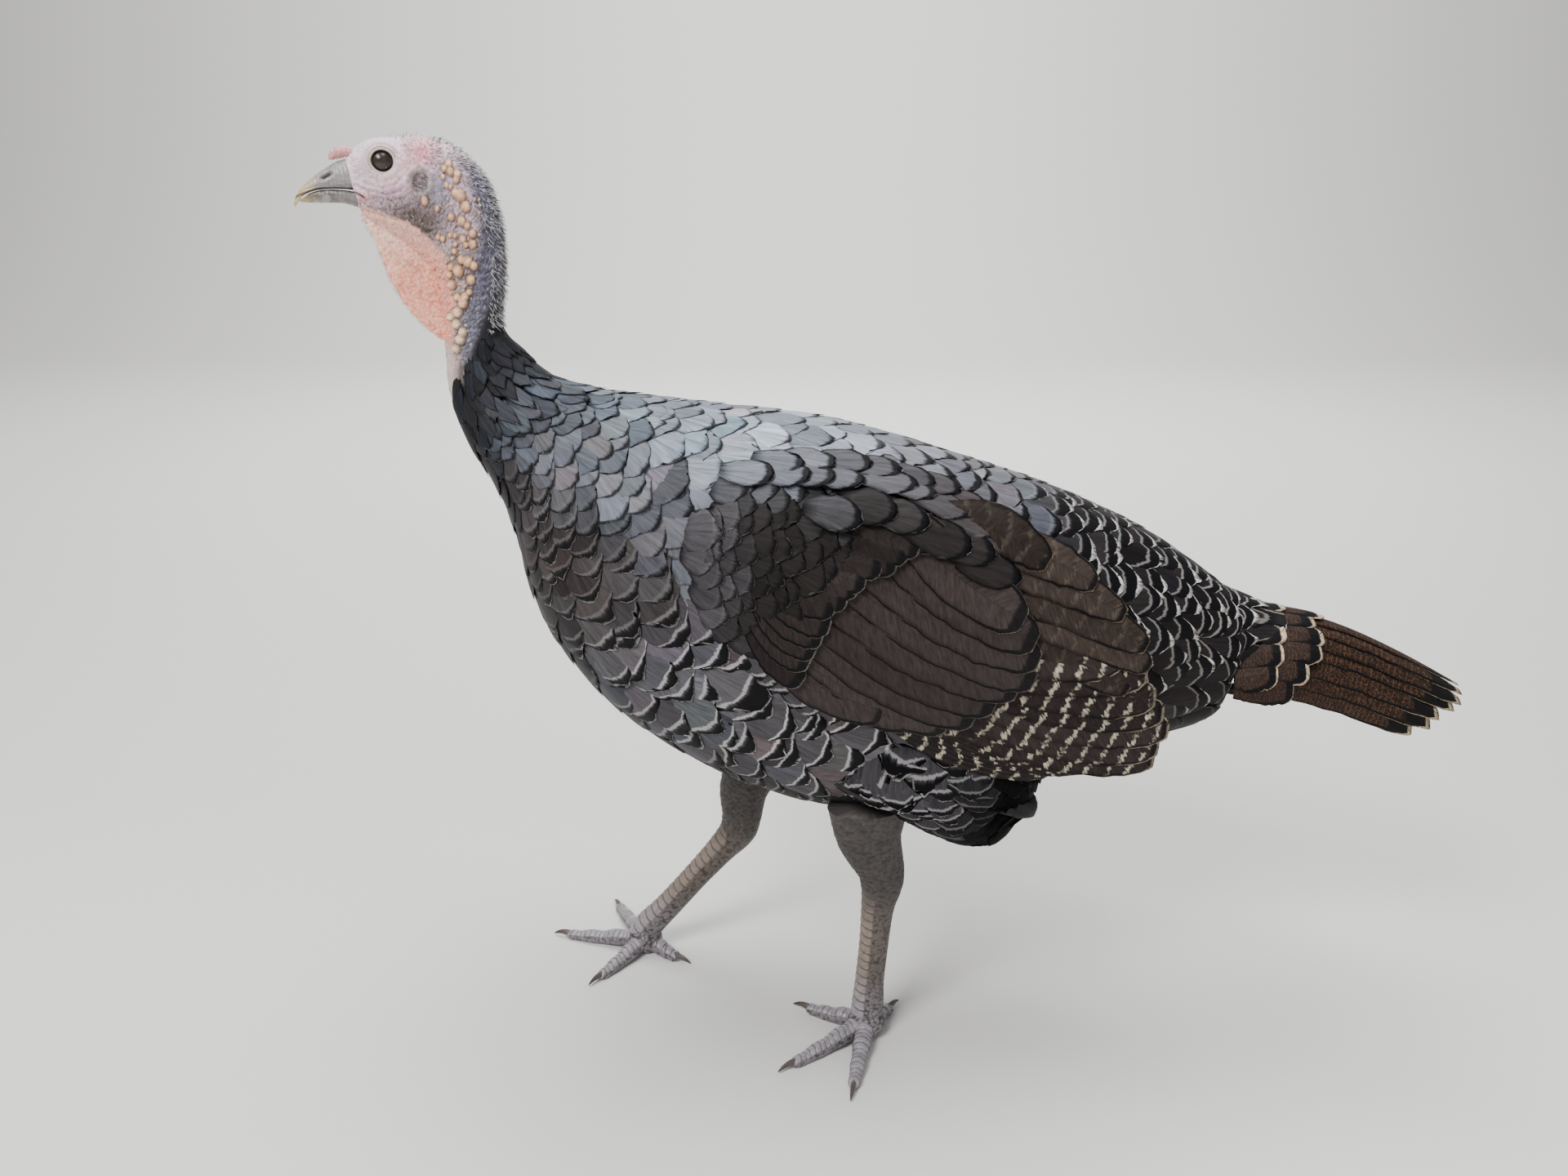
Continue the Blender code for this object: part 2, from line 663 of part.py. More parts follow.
def side_vane(root, tip, bend, half_width, lifts, tilt, side):
    """A flight feather lying over the body's side, fused later with the wing.

    Root and tip are (x, z) in side view. It lies at `lifts` above the body, from root to tip,
    and tilts across its width, so that each feather passes under its neighbour.
    """
    share, width = vane_outline(VANE_STEPS)
    centre, normal = curve_between(root, tip, bend, share)
    offset = np.array((-1.0, 0.0, 1.0)) * half_width * width[:, None]
    x = centre[:, [0]] + normal[:, [0]] * offset
    z = centre[:, [1]] + normal[:, [1]] * offset
    rise = lifts[0] + (lifts[1] - lifts[0]) * share[:, None] ** 0.6 + tilt * offset
    upper = on_wing(x, z, rise + VANE_THICKNESS / 2, side)
    lower = on_wing(x, z, rise - VANE_THICKNESS / 2, side)
    mesh_object("vane", *sheet_mesh(upper, lower), FUSED)


# The wing's fleshy part in side view, front to back: upper edge and lower edge as (x, z).
WING_EDGES = (
    (-137, 405, -138, 388),
    (-116, 432, -120, 353),
    (-78, 447, -82, 318),
    (-30, 444, -30, 296),
    (8, 432, 8, 290),
    (38, 415, 38, 300),
    (60, 392, 60, 328),
)
WING_RISE = 13 * MM
# Behind and below this point the wing follows the body's shape only by this share.
WING_FREE_FROM = (40 * MM, 315 * MM)
WING_FOLLOWS = 0.5
VANE_STEPS = 5
VANE_THICKNESS = 0.9 * MM
# Tiers of flight feathers, lowest feather first: how many, the first and last root and tip
# as (x, z), their bow, half width, lifts at root and tip, and how lifts and tilt change.
WING_TIERS = (
    {
        "count": 3,
        "roots": ((-16, 292), (-6, 299)),
        "tips": ((96, 249), (134, 251)),
        "bow": 9,
        "half_width": 10,
        "lifts": (2.4, 2.6),
        "step": 1.5,
        "tilt": 0.0,
    },
    {
        "count": 7,
        "roots": ((-4, 304), (26, 374)),
        "tips": ((162, 258), (120, 354)),
        "bow": 7,
        "half_width": 15.5,
        "lifts": (7.0, 9.6),
        "step": 0.1,
        "tilt": 0.16,
    },
    {
        "count": 3,
        "roots": ((-6, 386), (-16, 408)),
        "tips": ((124, 366), (94, 392)),
        "bow": 5,
        "half_width": 13,
        "lifts": (9.0, 14.4),
        "step": 1.4,
        "tilt": 0.0,
    },
    {
        "count": 7,
        "roots": ((-70, 340), (-30, 404)),
        "tips": ((2, 296), (50, 374)),
        "bow": 4,
        "half_width": 15,
        "lifts": (9.0, 17.2),
        "step": 0.3,
        "tilt": 0.15,
    },
)


def make_wing(name, side, near, seed):
    rows = spline(np.array(WING_EDGES) * MM, np.linspace(0, len(WING_EDGES) - 1, 9))
    down = np.linspace(0, 1, 6)
    x = rows[:, [0]] + (rows[:, [2]] - rows[:, [0]]) * down
    z = rows[:, [1]] + (rows[:, [3]] - rows[:, [1]]) * down
    along = np.linspace(0, 1, len(rows))[:, None]
    swell = np.sin(pi * down) ** 0.45 * np.sin(pi * (along * 0.75 + 0.12)) ** 0.6
    outer = on_wing(x, z, 2.4 * MM + WING_RISE * swell, side)
    inner = on_side(x, z, -3.0 * MM, side)
    wing = mesh_object(name, *sheet_mesh(outer, inner), PARTS)
    draw = np.random.default_rng(seed)
    for tier in WING_TIERS:
        roots, tips = np.array(tier["roots"]) * MM, np.array(tier["tips"]) * MM
        for i in range(tier["count"]):
            share = i / (tier["count"] - 1)
            bulge = np.array((sin(pi * share) * 6 * MM, 0.0))
            tip = tips[0] + (tips[1] - tips[0]) * share + bulge + draw.normal(0, 1.0 * MM, 2)
            root = roots[0] + (roots[1] - roots[0]) * share
            lifts = [(lift + tier["step"] * i) * MM for lift in tier["lifts"]]
            half_width = tier["half_width"] * MM * draw.uniform(0.95, 1.05)
            side_vane(root, tip, tier["bow"] * -MM, half_width, lifts, tier["tilt"], side)
    fuse(wing, FUSED)
    fit_against(wing, near)
    return finish(wing, FLIGHT)


# The ridge that the folded tail hangs from, as (x, z), and how far round it the feathers lie.
TAIL_RIDGE = ((224, 322), (246, 329), (275, 328), (309, 319), (352, 300), (401, 274))
TAIL_HALF_COUNT = 6
TAIL_PITCH = radians(12)
TAIL_ROUND = (50 * MM, 60 * MM)
TAIL_NARROW = 0.82
TAIL_LEVEL = 1.6 * MM
TAIL_HALF_WIDTH = 15 * MM
# How many levels below the ridge the feathers over the tail's root lie, middle one first.
UPPER_COVERT_LEVELS = (-1.75, -0.75, -0.05)


def tail_vane(start, end, angle, half_width, inwards):
    """A feather along the tail's ridge between two shares of it, bent round the ridge's axis.

    Every feather keeps its own distance inwards from the ridge, so that none crosses another.
    """
    share, width = vane_outline(VANE_STEPS)
    at = start + (end - start) * share
    ridge = spline(np.array(TAIL_RIDGE) * MM, at * (len(TAIL_RIDGE) - 1))
    radius = (TAIL_ROUND[1] + (TAIL_ROUND[0] - TAIL_ROUND[1]) * np.clip(1 - at, 0, 1) ** 3)[:, None]
    turn = angle + np.array((-1.0, 0.0, 1.0)) * half_width * width[:, None] / radius
    sheets = []
    for face in (0.5, -0.5):
        reach = radius - inwards + VANE_THICKNESS * face
        y = reach * np.sin(turn) * TAIL_NARROW
        z = ridge[:, [1]] - radius + reach * np.cos(turn)
        x = np.broadcast_to(ridge[:, [0]], y.shape)
        sheets.append(np.stack([x, y, z], axis=-1))
    mesh_object("vane", *sheet_mesh(*sheets), FUSED)


def make_tail():
    core = loft("tail", part_rings(body_rings(TAIL_STEPS, BODY_SIDES), end=False), PARTS)
    draw = np.random.default_rng(31)
    for k in range(-TAIL_HALF_COUNT, TAIL_HALF_COUNT + 1):
        level = abs(k) + 1 if abs(k) > 1 else (0, 1, 2)[k]
        end = 1 - 0.19 * (abs(k) / TAIL_HALF_COUNT) ** 1.5 + draw.normal(0, 0.006)
        start = 0.03 + draw.uniform(-0.01, 0.01)
        angle = k * TAIL_PITCH + draw.normal(0, radians(0.5))
        tail_vane(start, end, angle, TAIL_HALF_WIDTH, (level + 1) * TAIL_LEVEL)
    for k in (-2, -1, 0, 1, 2):
        level = UPPER_COVERT_LEVELS[abs(k)] + (0.5 if k == -1 else 0)
        end = 0.52 - 0.05 * abs(k) + draw.normal(0, 0.01)
        tail_vane(0.0, end, k * radians(24) + 0.01, TAIL_HALF_WIDTH, level * TAIL_LEVEL)
    for k in (-1, 0, 1):
        level = TAIL_HALF_COUNT + 6 + abs(k) * 1.2
        tail_vane(0.02, 0.36, k * radians(38), 12 * MM, level * TAIL_LEVEL)
    fuse(core, FUSED)
    return finish(core, FLIGHT)


# Feathered thighs: points down the thigh as (x, y, z), half length along the body, half width.
LEFT_THIGH = (
    (30, -40, 290, 30, 20),
    (30, -51, 256, 66, 36),
    (18, -57, 228, 70, 37),
    (14, -57, 208, 64, 30),
    (6, -56, 192, 42, 18),
)
RIGHT_THIGH = (
    (-60, 40, 285, 30, 20),
    (-66, 52, 250, 55, 34),
    (-80, 58, 218, 56, 34),
    (-90, 60, 195, 43, 27),
    (-98, 60, 180, 28, 18),
)


def make_leg(word, side, thigh_rows, leg_rows, toes, foot_at, torso):
    across = np.array((0.0, 1.0, 0.0))
    rows = spline(np.array(leg_rows) * MM, np.linspace(0, len(leg_rows) - 1, 13))
    rings = tube_rings(rows[:, :3], rows[:, 3], rows[:, 4], LEG_SIDES, across)
    shank = loft("shank_" + word, rings, PARTS)
    fit_against(shank, [torso])
    rows = spline(np.array(thigh_rows) * MM, np.linspace(0, len(thigh_rows) - 1, 10))
    ends = np.sqrt(np.clip(1 - np.abs(np.linspace(-1, 1, 10)) ** 6, 0.05, 1))
    rings = tube_rings(rows[:, :3], rows[:, 3] * ends, rows[:, 4] * ends, 14, across)
    thigh = loft("thigh_" + word, rings, PARTS)
    fit_against(thigh, [torso, shank])
    foot = make_foot(word, side, toes, foot_at, shank)
    make_shank_scutes(leg_rows)
    fuse(shank, FUSED)
    finish(thigh, PLUMAGE)
    finish(shank, SCALE)
    finish(foot, SCALE)


def plates(path, deep, wide, across, count, sides, overlap):
    """Raised scutes down the front of a tube, each proud at its lower edge over the next one.

    The plates are slabs bent round the tube like its own sides, sunk into it, to be fused later.
    """
    ends = np.linspace(0, len(path) - 1, count + 1)
    rows = np.column_stack([path, deep, wide])
    angle = np.array((-1.0, 0.0, 1.0)) * 2 * pi / sides
    for i in range(count):
        where = np.array([ends[i], ends[i + 1] + overlap * (ends[1] - ends[0])])
        where = np.minimum(where, len(path) - 1.1)
        here = spline(rows, np.concatenate([where, where + 0.05]))
        along = here[2:, :3] - here[:2, :3]
        along /= np.linalg.norm(along, axis=1)[:, None]
        side = across - (along @ across)[:, None] * along
        side /= np.linalg.norm(side, axis=1)[:, None]
        front = np.cross(side, along)
        sheets = []
        for proud in ((SCUTE_PROUD * 0.25, SCUTE_PROUD), (-SCUTE_SUNK, -SCUTE_SUNK)):
            proud = np.array(proud)[:, None] * (1 - 0.4 * np.abs(angle / angle[-1]))
            sheet = (
                here[:2, None, :3]
                + ((here[:2, [3]] + proud) * np.cos(angle))[..., None] * front[:, None]
                + ((here[:2, [4]] + proud) * np.sin(angle))[..., None] * side[:, None]
            )
            sheets.append(sheet)
        mesh_object("scute", *sheet_mesh(*sheets), FUSED)


def make_shank_scutes(leg_rows):
    rows = spline(np.array(leg_rows) * MM, np.linspace(SHANK_SCUTES[0], SHANK_SCUTES[1], 30))
    across = np.array((0.0, 1.0, 0.0))
    plates(rows[:, :3], rows[:, 3], rows[:, 4], across, SHANK_SCUTES[2], LEG_SIDES, 0.12)


def toe_direction(heading, side):
    turn = radians(heading)
    return np.array((-cos(turn), sin(turn) * side, 0.0))


def toe_path(heading, length, foot_at, side):
    """Points along a toe, and its radius there: three pads, tapering, lying on the floor."""
    share = np.linspace(0, 1, 7)
    radius = TOE_ROOT_RADIUS + (TOE_TIP_RADIUS - TOE_ROOT_RADIUS) * share
    radius = radius * (1 + 0.06 * np.cos(share * 3 * 2 * pi))
    start = 6 * MM
    reach = start + (length - start) * share
    path = np.array((*foot_at, 0.0)) + toe_direction(heading, side) * reach[:, None]
    height = radius - SOLE_SINK
    arch = 5 * MM * (1 - share) ** 2
    path[:, 2] = height + arch
    return path, radius


def make_foot(word, side, toes, foot_at, shank):
    hub_at = np.array((*foot_at, 11.5 * MM))
    world = np.eye(3)
    foot = ellipsoid("foot_" + word, hub_at, world, (14 * MM, 12.5 * MM, 12.6 * MM), PARTS, 10, 7)
    for name, heading, length in toes:
        path, radius = toe_path(heading, length * MM, foot_at, side)
        across = np.cross(toe_direction(heading, side), (0.0, 0.0, 1.0))
        rings = tube_rings(path, radius * 0.95, radius, TOE_SIDES, across)
        loft("toe", rings, FUSED)
        if name != "hind":
            plates(path[1:], radius[1:] * 0.95, radius[1:], across, TOE_SCUTES, TOE_SIDES, 0.1)
        make_claw("claw_" + word + "_" + name, path, radius, heading, side)
    fuse(foot, FUSED)
    fit_against(foot, [shank])
    floor_cut(foot)
    return foot


def floor_cut(obj):
    """Cuts the sole off flat on the floor."""
    corner = np.array([(x, y, z) for x in (-1, 1) for y in (-1, 1) for z in (-0.2, 0)], float)
    faces = [(0, 1, 3, 2), (4, 6, 7, 5), (0, 4, 5, 1), (2, 3, 7, 6), (0, 2, 6, 4), (1, 5, 7, 3)]
    cutter = mesh_object("floor_room", corner, faces, CUTTERS)
    cut(obj, cutter)


def make_claw(name, path, radius, heading, side):
    direction = toe_direction(heading, side)
    start = path[-1] + direction * GAP
    share = np.linspace(0, 1, 6)
    thick = CLAW_RADIUS * (1 - share) ** 0.8 + 0.35 * MM
    points = start + direction * (CLAW_LENGTH * share)[:, None]
    arch = 2.2 * MM * np.sin(pi * share * 0.8)
    lowest = thick + 0.5 * MM
    points[:, 2] = np.maximum(start[2] + arch - (start[2] - 0.6 * MM) * share**1.6, lowest)
    points[0, 2] = start[2]
    across = np.cross(direction, (0.0, 0.0, 1.0))
    rings = tube_rings(points, thick, thick * 0.85, 7, across)
    rings[0] = rings[0] - (rings[0] - start) @ direction[:, None] * direction
    finish(loft(name, rings, PARTS), CLAW)


for existing in list(bpy.data.objects):
    bpy.data.objects.remove(existing)
PARTS = make_collection("turkey")
CUTTERS = make_collection("cutters")
FUSED = make_collection("pieces_to_fuse")
SKIN = material("bare_skin", (0.52, 0.45, 0.46), 0.6)
WATTLE = material("wattle_skin", (0.78, 0.42, 0.38), 0.55)
HORN = material("beak_horn", (0.45, 0.40, 0.35), 0.4)
EYE = material("eye", (0.03, 0.02, 0.015), 0.08)
PLUMAGE = material("body_plumage", (0.07, 0.06, 0.055), 0.5)
FLIGHT = material("flight_feathers", (0.09, 0.07, 0.055), 0.5)
SCALE = material("leg_scales", (0.20, 0.16, 0.15), 0.5)
CLAW = material("claws", (0.10, 0.08, 0.07), 0.4)
SIDE_TABLE = side_table()

head = make_head()
make_eyes()
upper_bill, lower_bill = make_bill(head)
make_snood([head, upper_bill])
neck_upper, neck_lower, torso = make_body()
make_dewlap([lower_bill])
make_leg("left", LEFT, LEFT_THIGH, LEFT_LEG, LEFT_TOES, LEFT_FOOT_AT, torso)
make_leg("right", RIGHT, RIGHT_THIGH, RIGHT_LEG, RIGHT_TOES, RIGHT_FOOT_AT, torso)
make_wing("wing_left", LEFT, [torso, bpy.data.objects["thigh_left"]], 11)
make_wing("wing_right", RIGHT, [torso, bpy.data.objects["thigh_right"]], 12)
make_tail()
bpy.data.collections.remove(FUSED)
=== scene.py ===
"""Looks of a young bronze domestic turkey in mid step: bare head, feather coat, scaly legs.

Every piece is a surface worked out as whole arrays. The bird faces -X and its left side is at -Y.
Tables are in millimetres, in the bird's own frame, whose middle is moved to the box's middle.
"""

from math import pi, radians

import bpy
import numpy as np
from bpy.props import FloatProperty, FloatVectorProperty, IntProperty, PointerProperty
from bpy.types import Operator, Panel, PropertyGroup
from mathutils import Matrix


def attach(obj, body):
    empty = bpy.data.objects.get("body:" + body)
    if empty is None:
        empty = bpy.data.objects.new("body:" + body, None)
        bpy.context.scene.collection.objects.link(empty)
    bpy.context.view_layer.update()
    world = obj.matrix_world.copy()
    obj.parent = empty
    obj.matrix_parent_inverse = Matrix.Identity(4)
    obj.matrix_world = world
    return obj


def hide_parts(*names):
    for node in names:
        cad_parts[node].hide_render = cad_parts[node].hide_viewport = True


bl_info = {
    "name": "Bronze turkey",
    "version": (1, 0, 0),
    "blender": (4, 5, 0),
    "location": "View3D > Sidebar > Turkey",
    "description": "Makes the skin, feathers, scales and stage of a young bronze turkey",
    "category": "Object",
}

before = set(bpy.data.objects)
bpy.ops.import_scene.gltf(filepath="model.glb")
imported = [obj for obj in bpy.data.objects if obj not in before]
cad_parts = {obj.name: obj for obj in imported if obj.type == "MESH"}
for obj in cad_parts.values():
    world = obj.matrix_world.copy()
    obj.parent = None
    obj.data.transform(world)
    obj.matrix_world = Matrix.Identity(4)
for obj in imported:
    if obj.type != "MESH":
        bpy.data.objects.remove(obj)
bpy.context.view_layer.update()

MM = 0.001
BOX_MIDDLE = np.array((9.2, 16.1, 0.0)) * MM
NECK_AXIS_X = -285 * MM
TURN_DEG = 18.0
LEFT, RIGHT = -1.0, 1.0

# The body's stations: upper and lower point of each section as (ahead of the neck's axis,
# height), its half width, and how far it is turned to the left in degrees.
STATIONS = (
    (69.5, 627.0, 65.0, 598.5, 8.2, 18),
    (64.0, 632.5, 61.5, 594.5, 10.6, 18),
    (57.0, 636.8, 57.5, 590.5, 12.9, 18),
    (48.0, 639.0, 52.5, 586.5, 14.6, 18),
    (38.0, 640.2, 47.0, 582.5, 16.4, 18),
    (24.0, 640.4, 41.0, 578.0, 17.8, 18),
    (10.0, 637.0, 35.5, 573.5, 18.3, 18),
    (-3.0, 628.5, 31.0, 568.5, 18.0, 18),
    (-12.0, 617.5, 27.5, 563.5, 17.4, 18),
    (-17.5, 604.5, 25.0, 558.0, 16.8, 18),
    (-20.5, 592.0, 23.0, 551.0, 16.4, 18),
    (-21.3, 577.0, 21.5, 543.0, 16.4, 18),
    (-21.0, 561.0, 20.5, 534.0, 16.6, 17),
    (-19.0, 545.0, 20.0, 525.0, 17.0, 15),
    (-16.5, 531.0, 20.3, 513.0, 18.0, 12),
    (-20.0, 519.0, 21.4, 498.0, 20.0, 8),
    (-33.0, 506.0, 22.5, 485.0, 23.0, 4),
    (-49.0, 492.5, 20.5, 469.5, 29.0, 0),
    (-80.0, 484.0, 9.5, 445.0, 41.0, 0),
    (-105.0, 480.5, -7.0, 418.0, 54.0, 0),
    (-135.0, 477.0, -18.0, 386.0, 66.0, 0),
    (-168.0, 473.0, -26.0, 348.0, 77.0, 0),
    (-201.0, 469.5, -42.0, 311.0, 85.0, 0),
    (-239.0, 463.5, -70.0, 273.0, 90.0, 0),
    (-278.0, 453.0, -106.0, 241.0, 93.0, 0),
    (-333.0, 436.0, -160.0, 209.0, 93.0, 0),
    (-370.0, 424.0, -212.0, 190.0, 91.0, 0),
    (-405.0, 410.5, -270.0, 182.0, 87.0, 0),
    (-431.0, 398.5, -328.0, 186.0, 79.0, 0),
    (-455.0, 386.0, -380.0, 203.0, 68.0, 0),
    (-477.0, 372.0, -428.0, 222.0, 57.0, 0),
    (-497.0, 357.5, -468.0, 236.0, 47.0, 0),
    (-511.0, 347.5, -502.0, 250.0, 41.0, 0),
    (-524.0, 341.5, -507.0, 276.0, 37.0, 0),
    (-549.0, 331.0, -537.0, 289.0, 28.0, 0),
)
# Rows of that table where the parts of the body begin.
NECK_BASE, COLLAR, SHOULDER, RUMP, TAIL_ROOT = 9, 15, 18, 32, 34

EYE_AT = (48.4, 625.4)
EYE_SIDE, EYE_RADIUS = 7.9 * MM, 7.6 * MM

# The bill and the dewlap: upper and lower point of each section, then its half width. The
# snood: points along its middle, then its radius.
UPPER_BILL = (
    (66.0, 627.2, 64.0, 607.6, 8.4),
    (70.0, 626.3, 67.1, 608.8, 8.0),
    (76.5, 624.2, 74.0, 609.4, 7.2),
    (83.5, 620.2, 82.0, 609.3, 6.2),
    (90.0, 615.8, 89.5, 608.2, 5.0),
    (95.5, 611.4, 95.5, 605.7, 3.7),
    (99.8, 606.0, 98.9, 602.1, 2.3),
    (102.2, 600.3, 101.2, 599.1, 0.9),
)
LOWER_BILL = (
    (64.0, 607.2, 62.5, 598.4, 8.0),
    (66.9, 608.0, 65.5, 598.8, 7.6),
    (74.0, 608.9, 73.0, 600.9, 6.6),
    (82.0, 609.0, 82.0, 601.3, 5.5),
    (89.5, 607.8, 90.0, 601.3, 4.2),
    (95.0, 605.2, 95.3, 601.5, 2.7),
    (98.2, 602.7, 98.0, 601.7, 1.1),
)
DEWLAP = (
    (64.3, 594.5, 60.0, 597.0, 1.8),
    (62.0, 588.8, 55.0, 592.0, 3.2),
    (57.8, 580.0, 45.0, 588.0, 4.4),
    (54.4, 568.0, 36.0, 578.0, 5.0),
    (51.3, 557.0, 28.0, 566.0, 5.2),
    (46.5, 546.5, 22.0, 552.0, 5.2),
    (40.0, 535.0, 18.0, 538.0, 4.8),
    (31.5, 525.0, 16.0, 524.0, 4.0),
    (23.5, 517.5, 15.0, 513.0, 2.8),
)
SNOOD = (
    (62.5, 629.5, 2.0),
    (64.5, 630.5, 2.4),
    (69.5, 631.0, 3.0),
    (75.0, 629.6, 3.0),
    (79.0, 626.6, 1.7),
)

# Legs: points down the leg as (x, y, z), then half its depth and half its width.
LEGS = {
    "left": (
        (-26, -55, 205, 28.0, 17.0),
        (-24, -52, 178, 22.5, 14.5),
        (-15, -48, 150, 16.5, 12.0),
        (-14, -46, 135, 14.5, 11.0),
        (-16, -43, 115, 11.4, 8.4),
        (-18, -40, 80, 10.2, 7.4),
        (-20, -37, 48, 10.3, 7.5),
        (-21, -36, 24, 11.5, 8.8),
        (-22, -35, 12, 9.0, 7.0),
    ),
    "right": (
        (-99, 58, 196, 25.0, 17.0),
        (-115, 61, 160, 19.5, 14.5),
        (-118, 65, 131, 15.5, 12.0),
        (-122, 66, 116, 14.5, 11.0),
        (-136, 67, 98, 11.6, 8.4),
        (-158, 69, 71, 10.4, 7.4),
        (-181, 70, 43, 10.6, 7.5),
        (-198, 71, 24, 11.5, 8.8),
        (-206, 72, 13, 9.0, 7.0),
    ),
}
THIGHS = {
    "left": (
        (30, -40, 290, 30, 20),
        (30, -51, 256, 66, 36),
        (18, -57, 228, 70, 37),
        (14, -57, 208, 64, 30),
        (6, -56, 192, 42, 18),
    ),
    "right": (
        (-60, 40, 285, 30, 20),
        (-66, 52, 250, 55, 34),
        (-80, 58, 218, 56, 34),
        (-90, 60, 195, 43, 27),
        (-98, 60, 180, 28, 18),
    ),
}
# Toes: name, heading away from straight ahead (outwards positive, degrees), length.
TOES = {
    "left": (("inner", -30, 50), ("middle", 34, 67), ("outer", 78, 62), ("hind", -128, 32)),
    "right": (("inner", -52, 52), ("middle", 14, 70), ("outer", 63, 66), ("hind", -150, 32)),
}
FOOT_AT = {"left": (-21.5, -35.5), "right": (-201.0, 71.0)}
SIDE_OF = {"left": LEFT, "right": RIGHT}

# The wing's fleshy part in side view, front to back: upper and lower edge as (x, z).
WING_EDGES = (
    (-137, 405, -138, 388),
    (-116, 432, -120, 353),
    (-78, 447, -82, 318),
    (-30, 444, -30, 296),
    (8, 432, 8, 290),
    (38, 415, 38, 300),
    (60, 392, 60, 328),
)
# How far the wing swells over the body, where it comes free of it as (x, z), and how much of
# the body's shape it still follows from there.
WING_RISE = 13 * MM
WING_FREE_FROM = (40 * MM, 315 * MM)
WING_FOLLOWS = 0.5

# The tail's ridge as (x, z), its radius at the root and at the tips, and its width as a share.
TAIL_RIDGE = ((224, 322), (246, 329), (275, 328), (309, 319), (352, 300), (401, 274))
TAIL_ROUND = (50 * MM, 60 * MM)
TAIL_NARROW = 0.82


def paint(red, green, blue):
    """A colour of everyday 0 to 255 values as linear light: ((c + 0.055) / 1.055) to the 2.4."""
    shade = np.array((red, green, blue)) / 255
    return tuple(np.where(shade < 0.04, shade / 12.92, ((shade + 0.055) / 1.055) ** 2.4))


# Plumage zones, centred at (station, degrees from the back) and reaching (stations, degrees).
# Then ground and fringe colour, breadth of fringe and of the dark band inside it in
# millimetres, the band's strength, and how strong inner arcs, flecks and gloss are.
ZONES = (
    (15.0, 60, 1.3, 80, paint(38, 39, 44), paint(112, 116, 124), 0.5, 1.6, 0.7, 0, 0, 0.4),
    (15.5, 150, 1.5, 60, paint(38, 37, 40), paint(150, 150, 155), 0.6, 1.2, 0.6, 0, 0, 0.3),
    (17.2, 50, 1.1, 60, paint(68, 72, 80), paint(122, 126, 132), 0.4, 2.6, 0.95, 0, 0, 0.7),
    # The silvery blue-grey grounds of this row, the next, and the two mantle rows at stations 19 and 21
    # further down are partly the feathers' own colour and partly painted sheen.
    (19.2, 22, 1.7, 42, paint(117, 125, 135), paint(160, 164, 172), 0.5, 2.4, 0.8, 0, 0.05, 0.9),
    (21.8, 18, 2.0, 42, paint(143, 150, 160), paint(186, 188, 194), 0.5, 2.6, 0.8, 0, 0.05, 1.0),
    (24.0, 8, 1.3, 26, paint(122, 124, 132), paint(214, 214, 216), 0.9, 5.4, 1.0, 0, 0.1, 0.9),
    (24.4, 45, 1.8, 24, paint(100, 101, 108), paint(104, 104, 108), 0.3, 6.4, 1.0, 0, 0.1, 0.9),
    (27.0, 20, 1.7, 52, paint(34, 31, 33), paint(246, 244, 240), 3.6, 8.6, 1.0, 0.3, 0.1, 0.7),
    (30.0, 25, 1.8, 58, paint(30, 27, 29), paint(246, 242, 236), 4.8, 10.0, 1.0, 0.4, 0.1, 0.5),
    (33.5, 30, 1.4, 70, paint(40, 36, 35), paint(236, 220, 200), 7.0, 9.0, 1.0, 0.3, 0.2, 0.3),
    # Mantle rows: their pale blue-grey grounds are partly the feathers' own colour and partly painted
    # sheen.
    (19.0, 80, 1.6, 26, paint(100, 103, 110), paint(136, 138, 142), 0.5, 2.4, 0.85, 0, 0.1, 0.7),
    (21.0, 72, 1.6, 20, paint(94, 95, 102), paint(136, 137, 142), 0.5, 3.0, 0.85, 0, 0.1, 0.8),
    (20.5, 115, 1.8, 30, paint(57, 53, 53), paint(170, 166, 164), 0.7, 3.8, 0.95, 0.25, 0.25, 0.6),
    (18.5, 165, 1.8, 32, paint(34, 33, 36), paint(132, 130, 132), 0.5, 2.2, 0.8, 0, 0.1, 0.8),
    (22.0, 165, 1.6, 26, paint(28, 27, 28), paint(165, 161, 157), 0.8, 3.2, 0.9, 0.1, 0.1, 0.7),
    (23.0, 125, 1.5, 26, paint(79, 78, 83), paint(194, 192, 190), 0.9, 6.2, 1.0, 1.0, 0.1, 0.6),
    (25.5, 125, 2.0, 30, paint(72, 70, 73), paint(212, 210, 208), 1.2, 6.8, 1.0, 1.0, 0.1, 0.6),
    (26.0, 165, 2.0, 26, paint(34, 32, 32), paint(150, 146, 140), 1.3, 5.0, 0.9, 0.3, 0.1, 0.3),
    (29.0, 150, 2.2, 36, paint(24, 22, 22), paint(96, 92, 86), 0.8, 4.0, 0.6, 0.1, 0.05, 0.1),
    (29.5, 80, 2.0, 30, paint(36, 33, 34), paint(230, 224, 216), 2.4, 8.6, 1.0, 0.3, 0.1, 0.5),
    (31.5, 110, 1.6, 40, paint(26, 24, 25), paint(214, 208, 198), 2.2, 7.0, 1.0, 0.2, 0.1, 0.3),
)


# curves and noise


def spline(rows, where):
    """A curve through the rows: each value is a cubic of its place between two rows,
    weighted over the two rows on either side. `where` counts in rows and may have any shape."""
    rows = np.asarray(rows, float)
    last = len(rows) - 1
    padded = np.vstack([2 * rows[0] - rows[1], rows, 2 * rows[-1] - rows[-2]])
    where = np.clip(np.asarray(where, float), 0, last)
    start = np.minimum(where.astype(int), last - 1)
    t = (where - start)[..., None]
    p0, p1, p2, p3 = (padded[start + k] for k in range(4))
    return 0.5 * (
        2 * p1
        + (p2 - p0) * t
        + (2 * p0 - 5 * p1 + 4 * p2 - p3) * t**2
        + (3 * p1 - p0 - 3 * p2 + p3) * t**3
    )


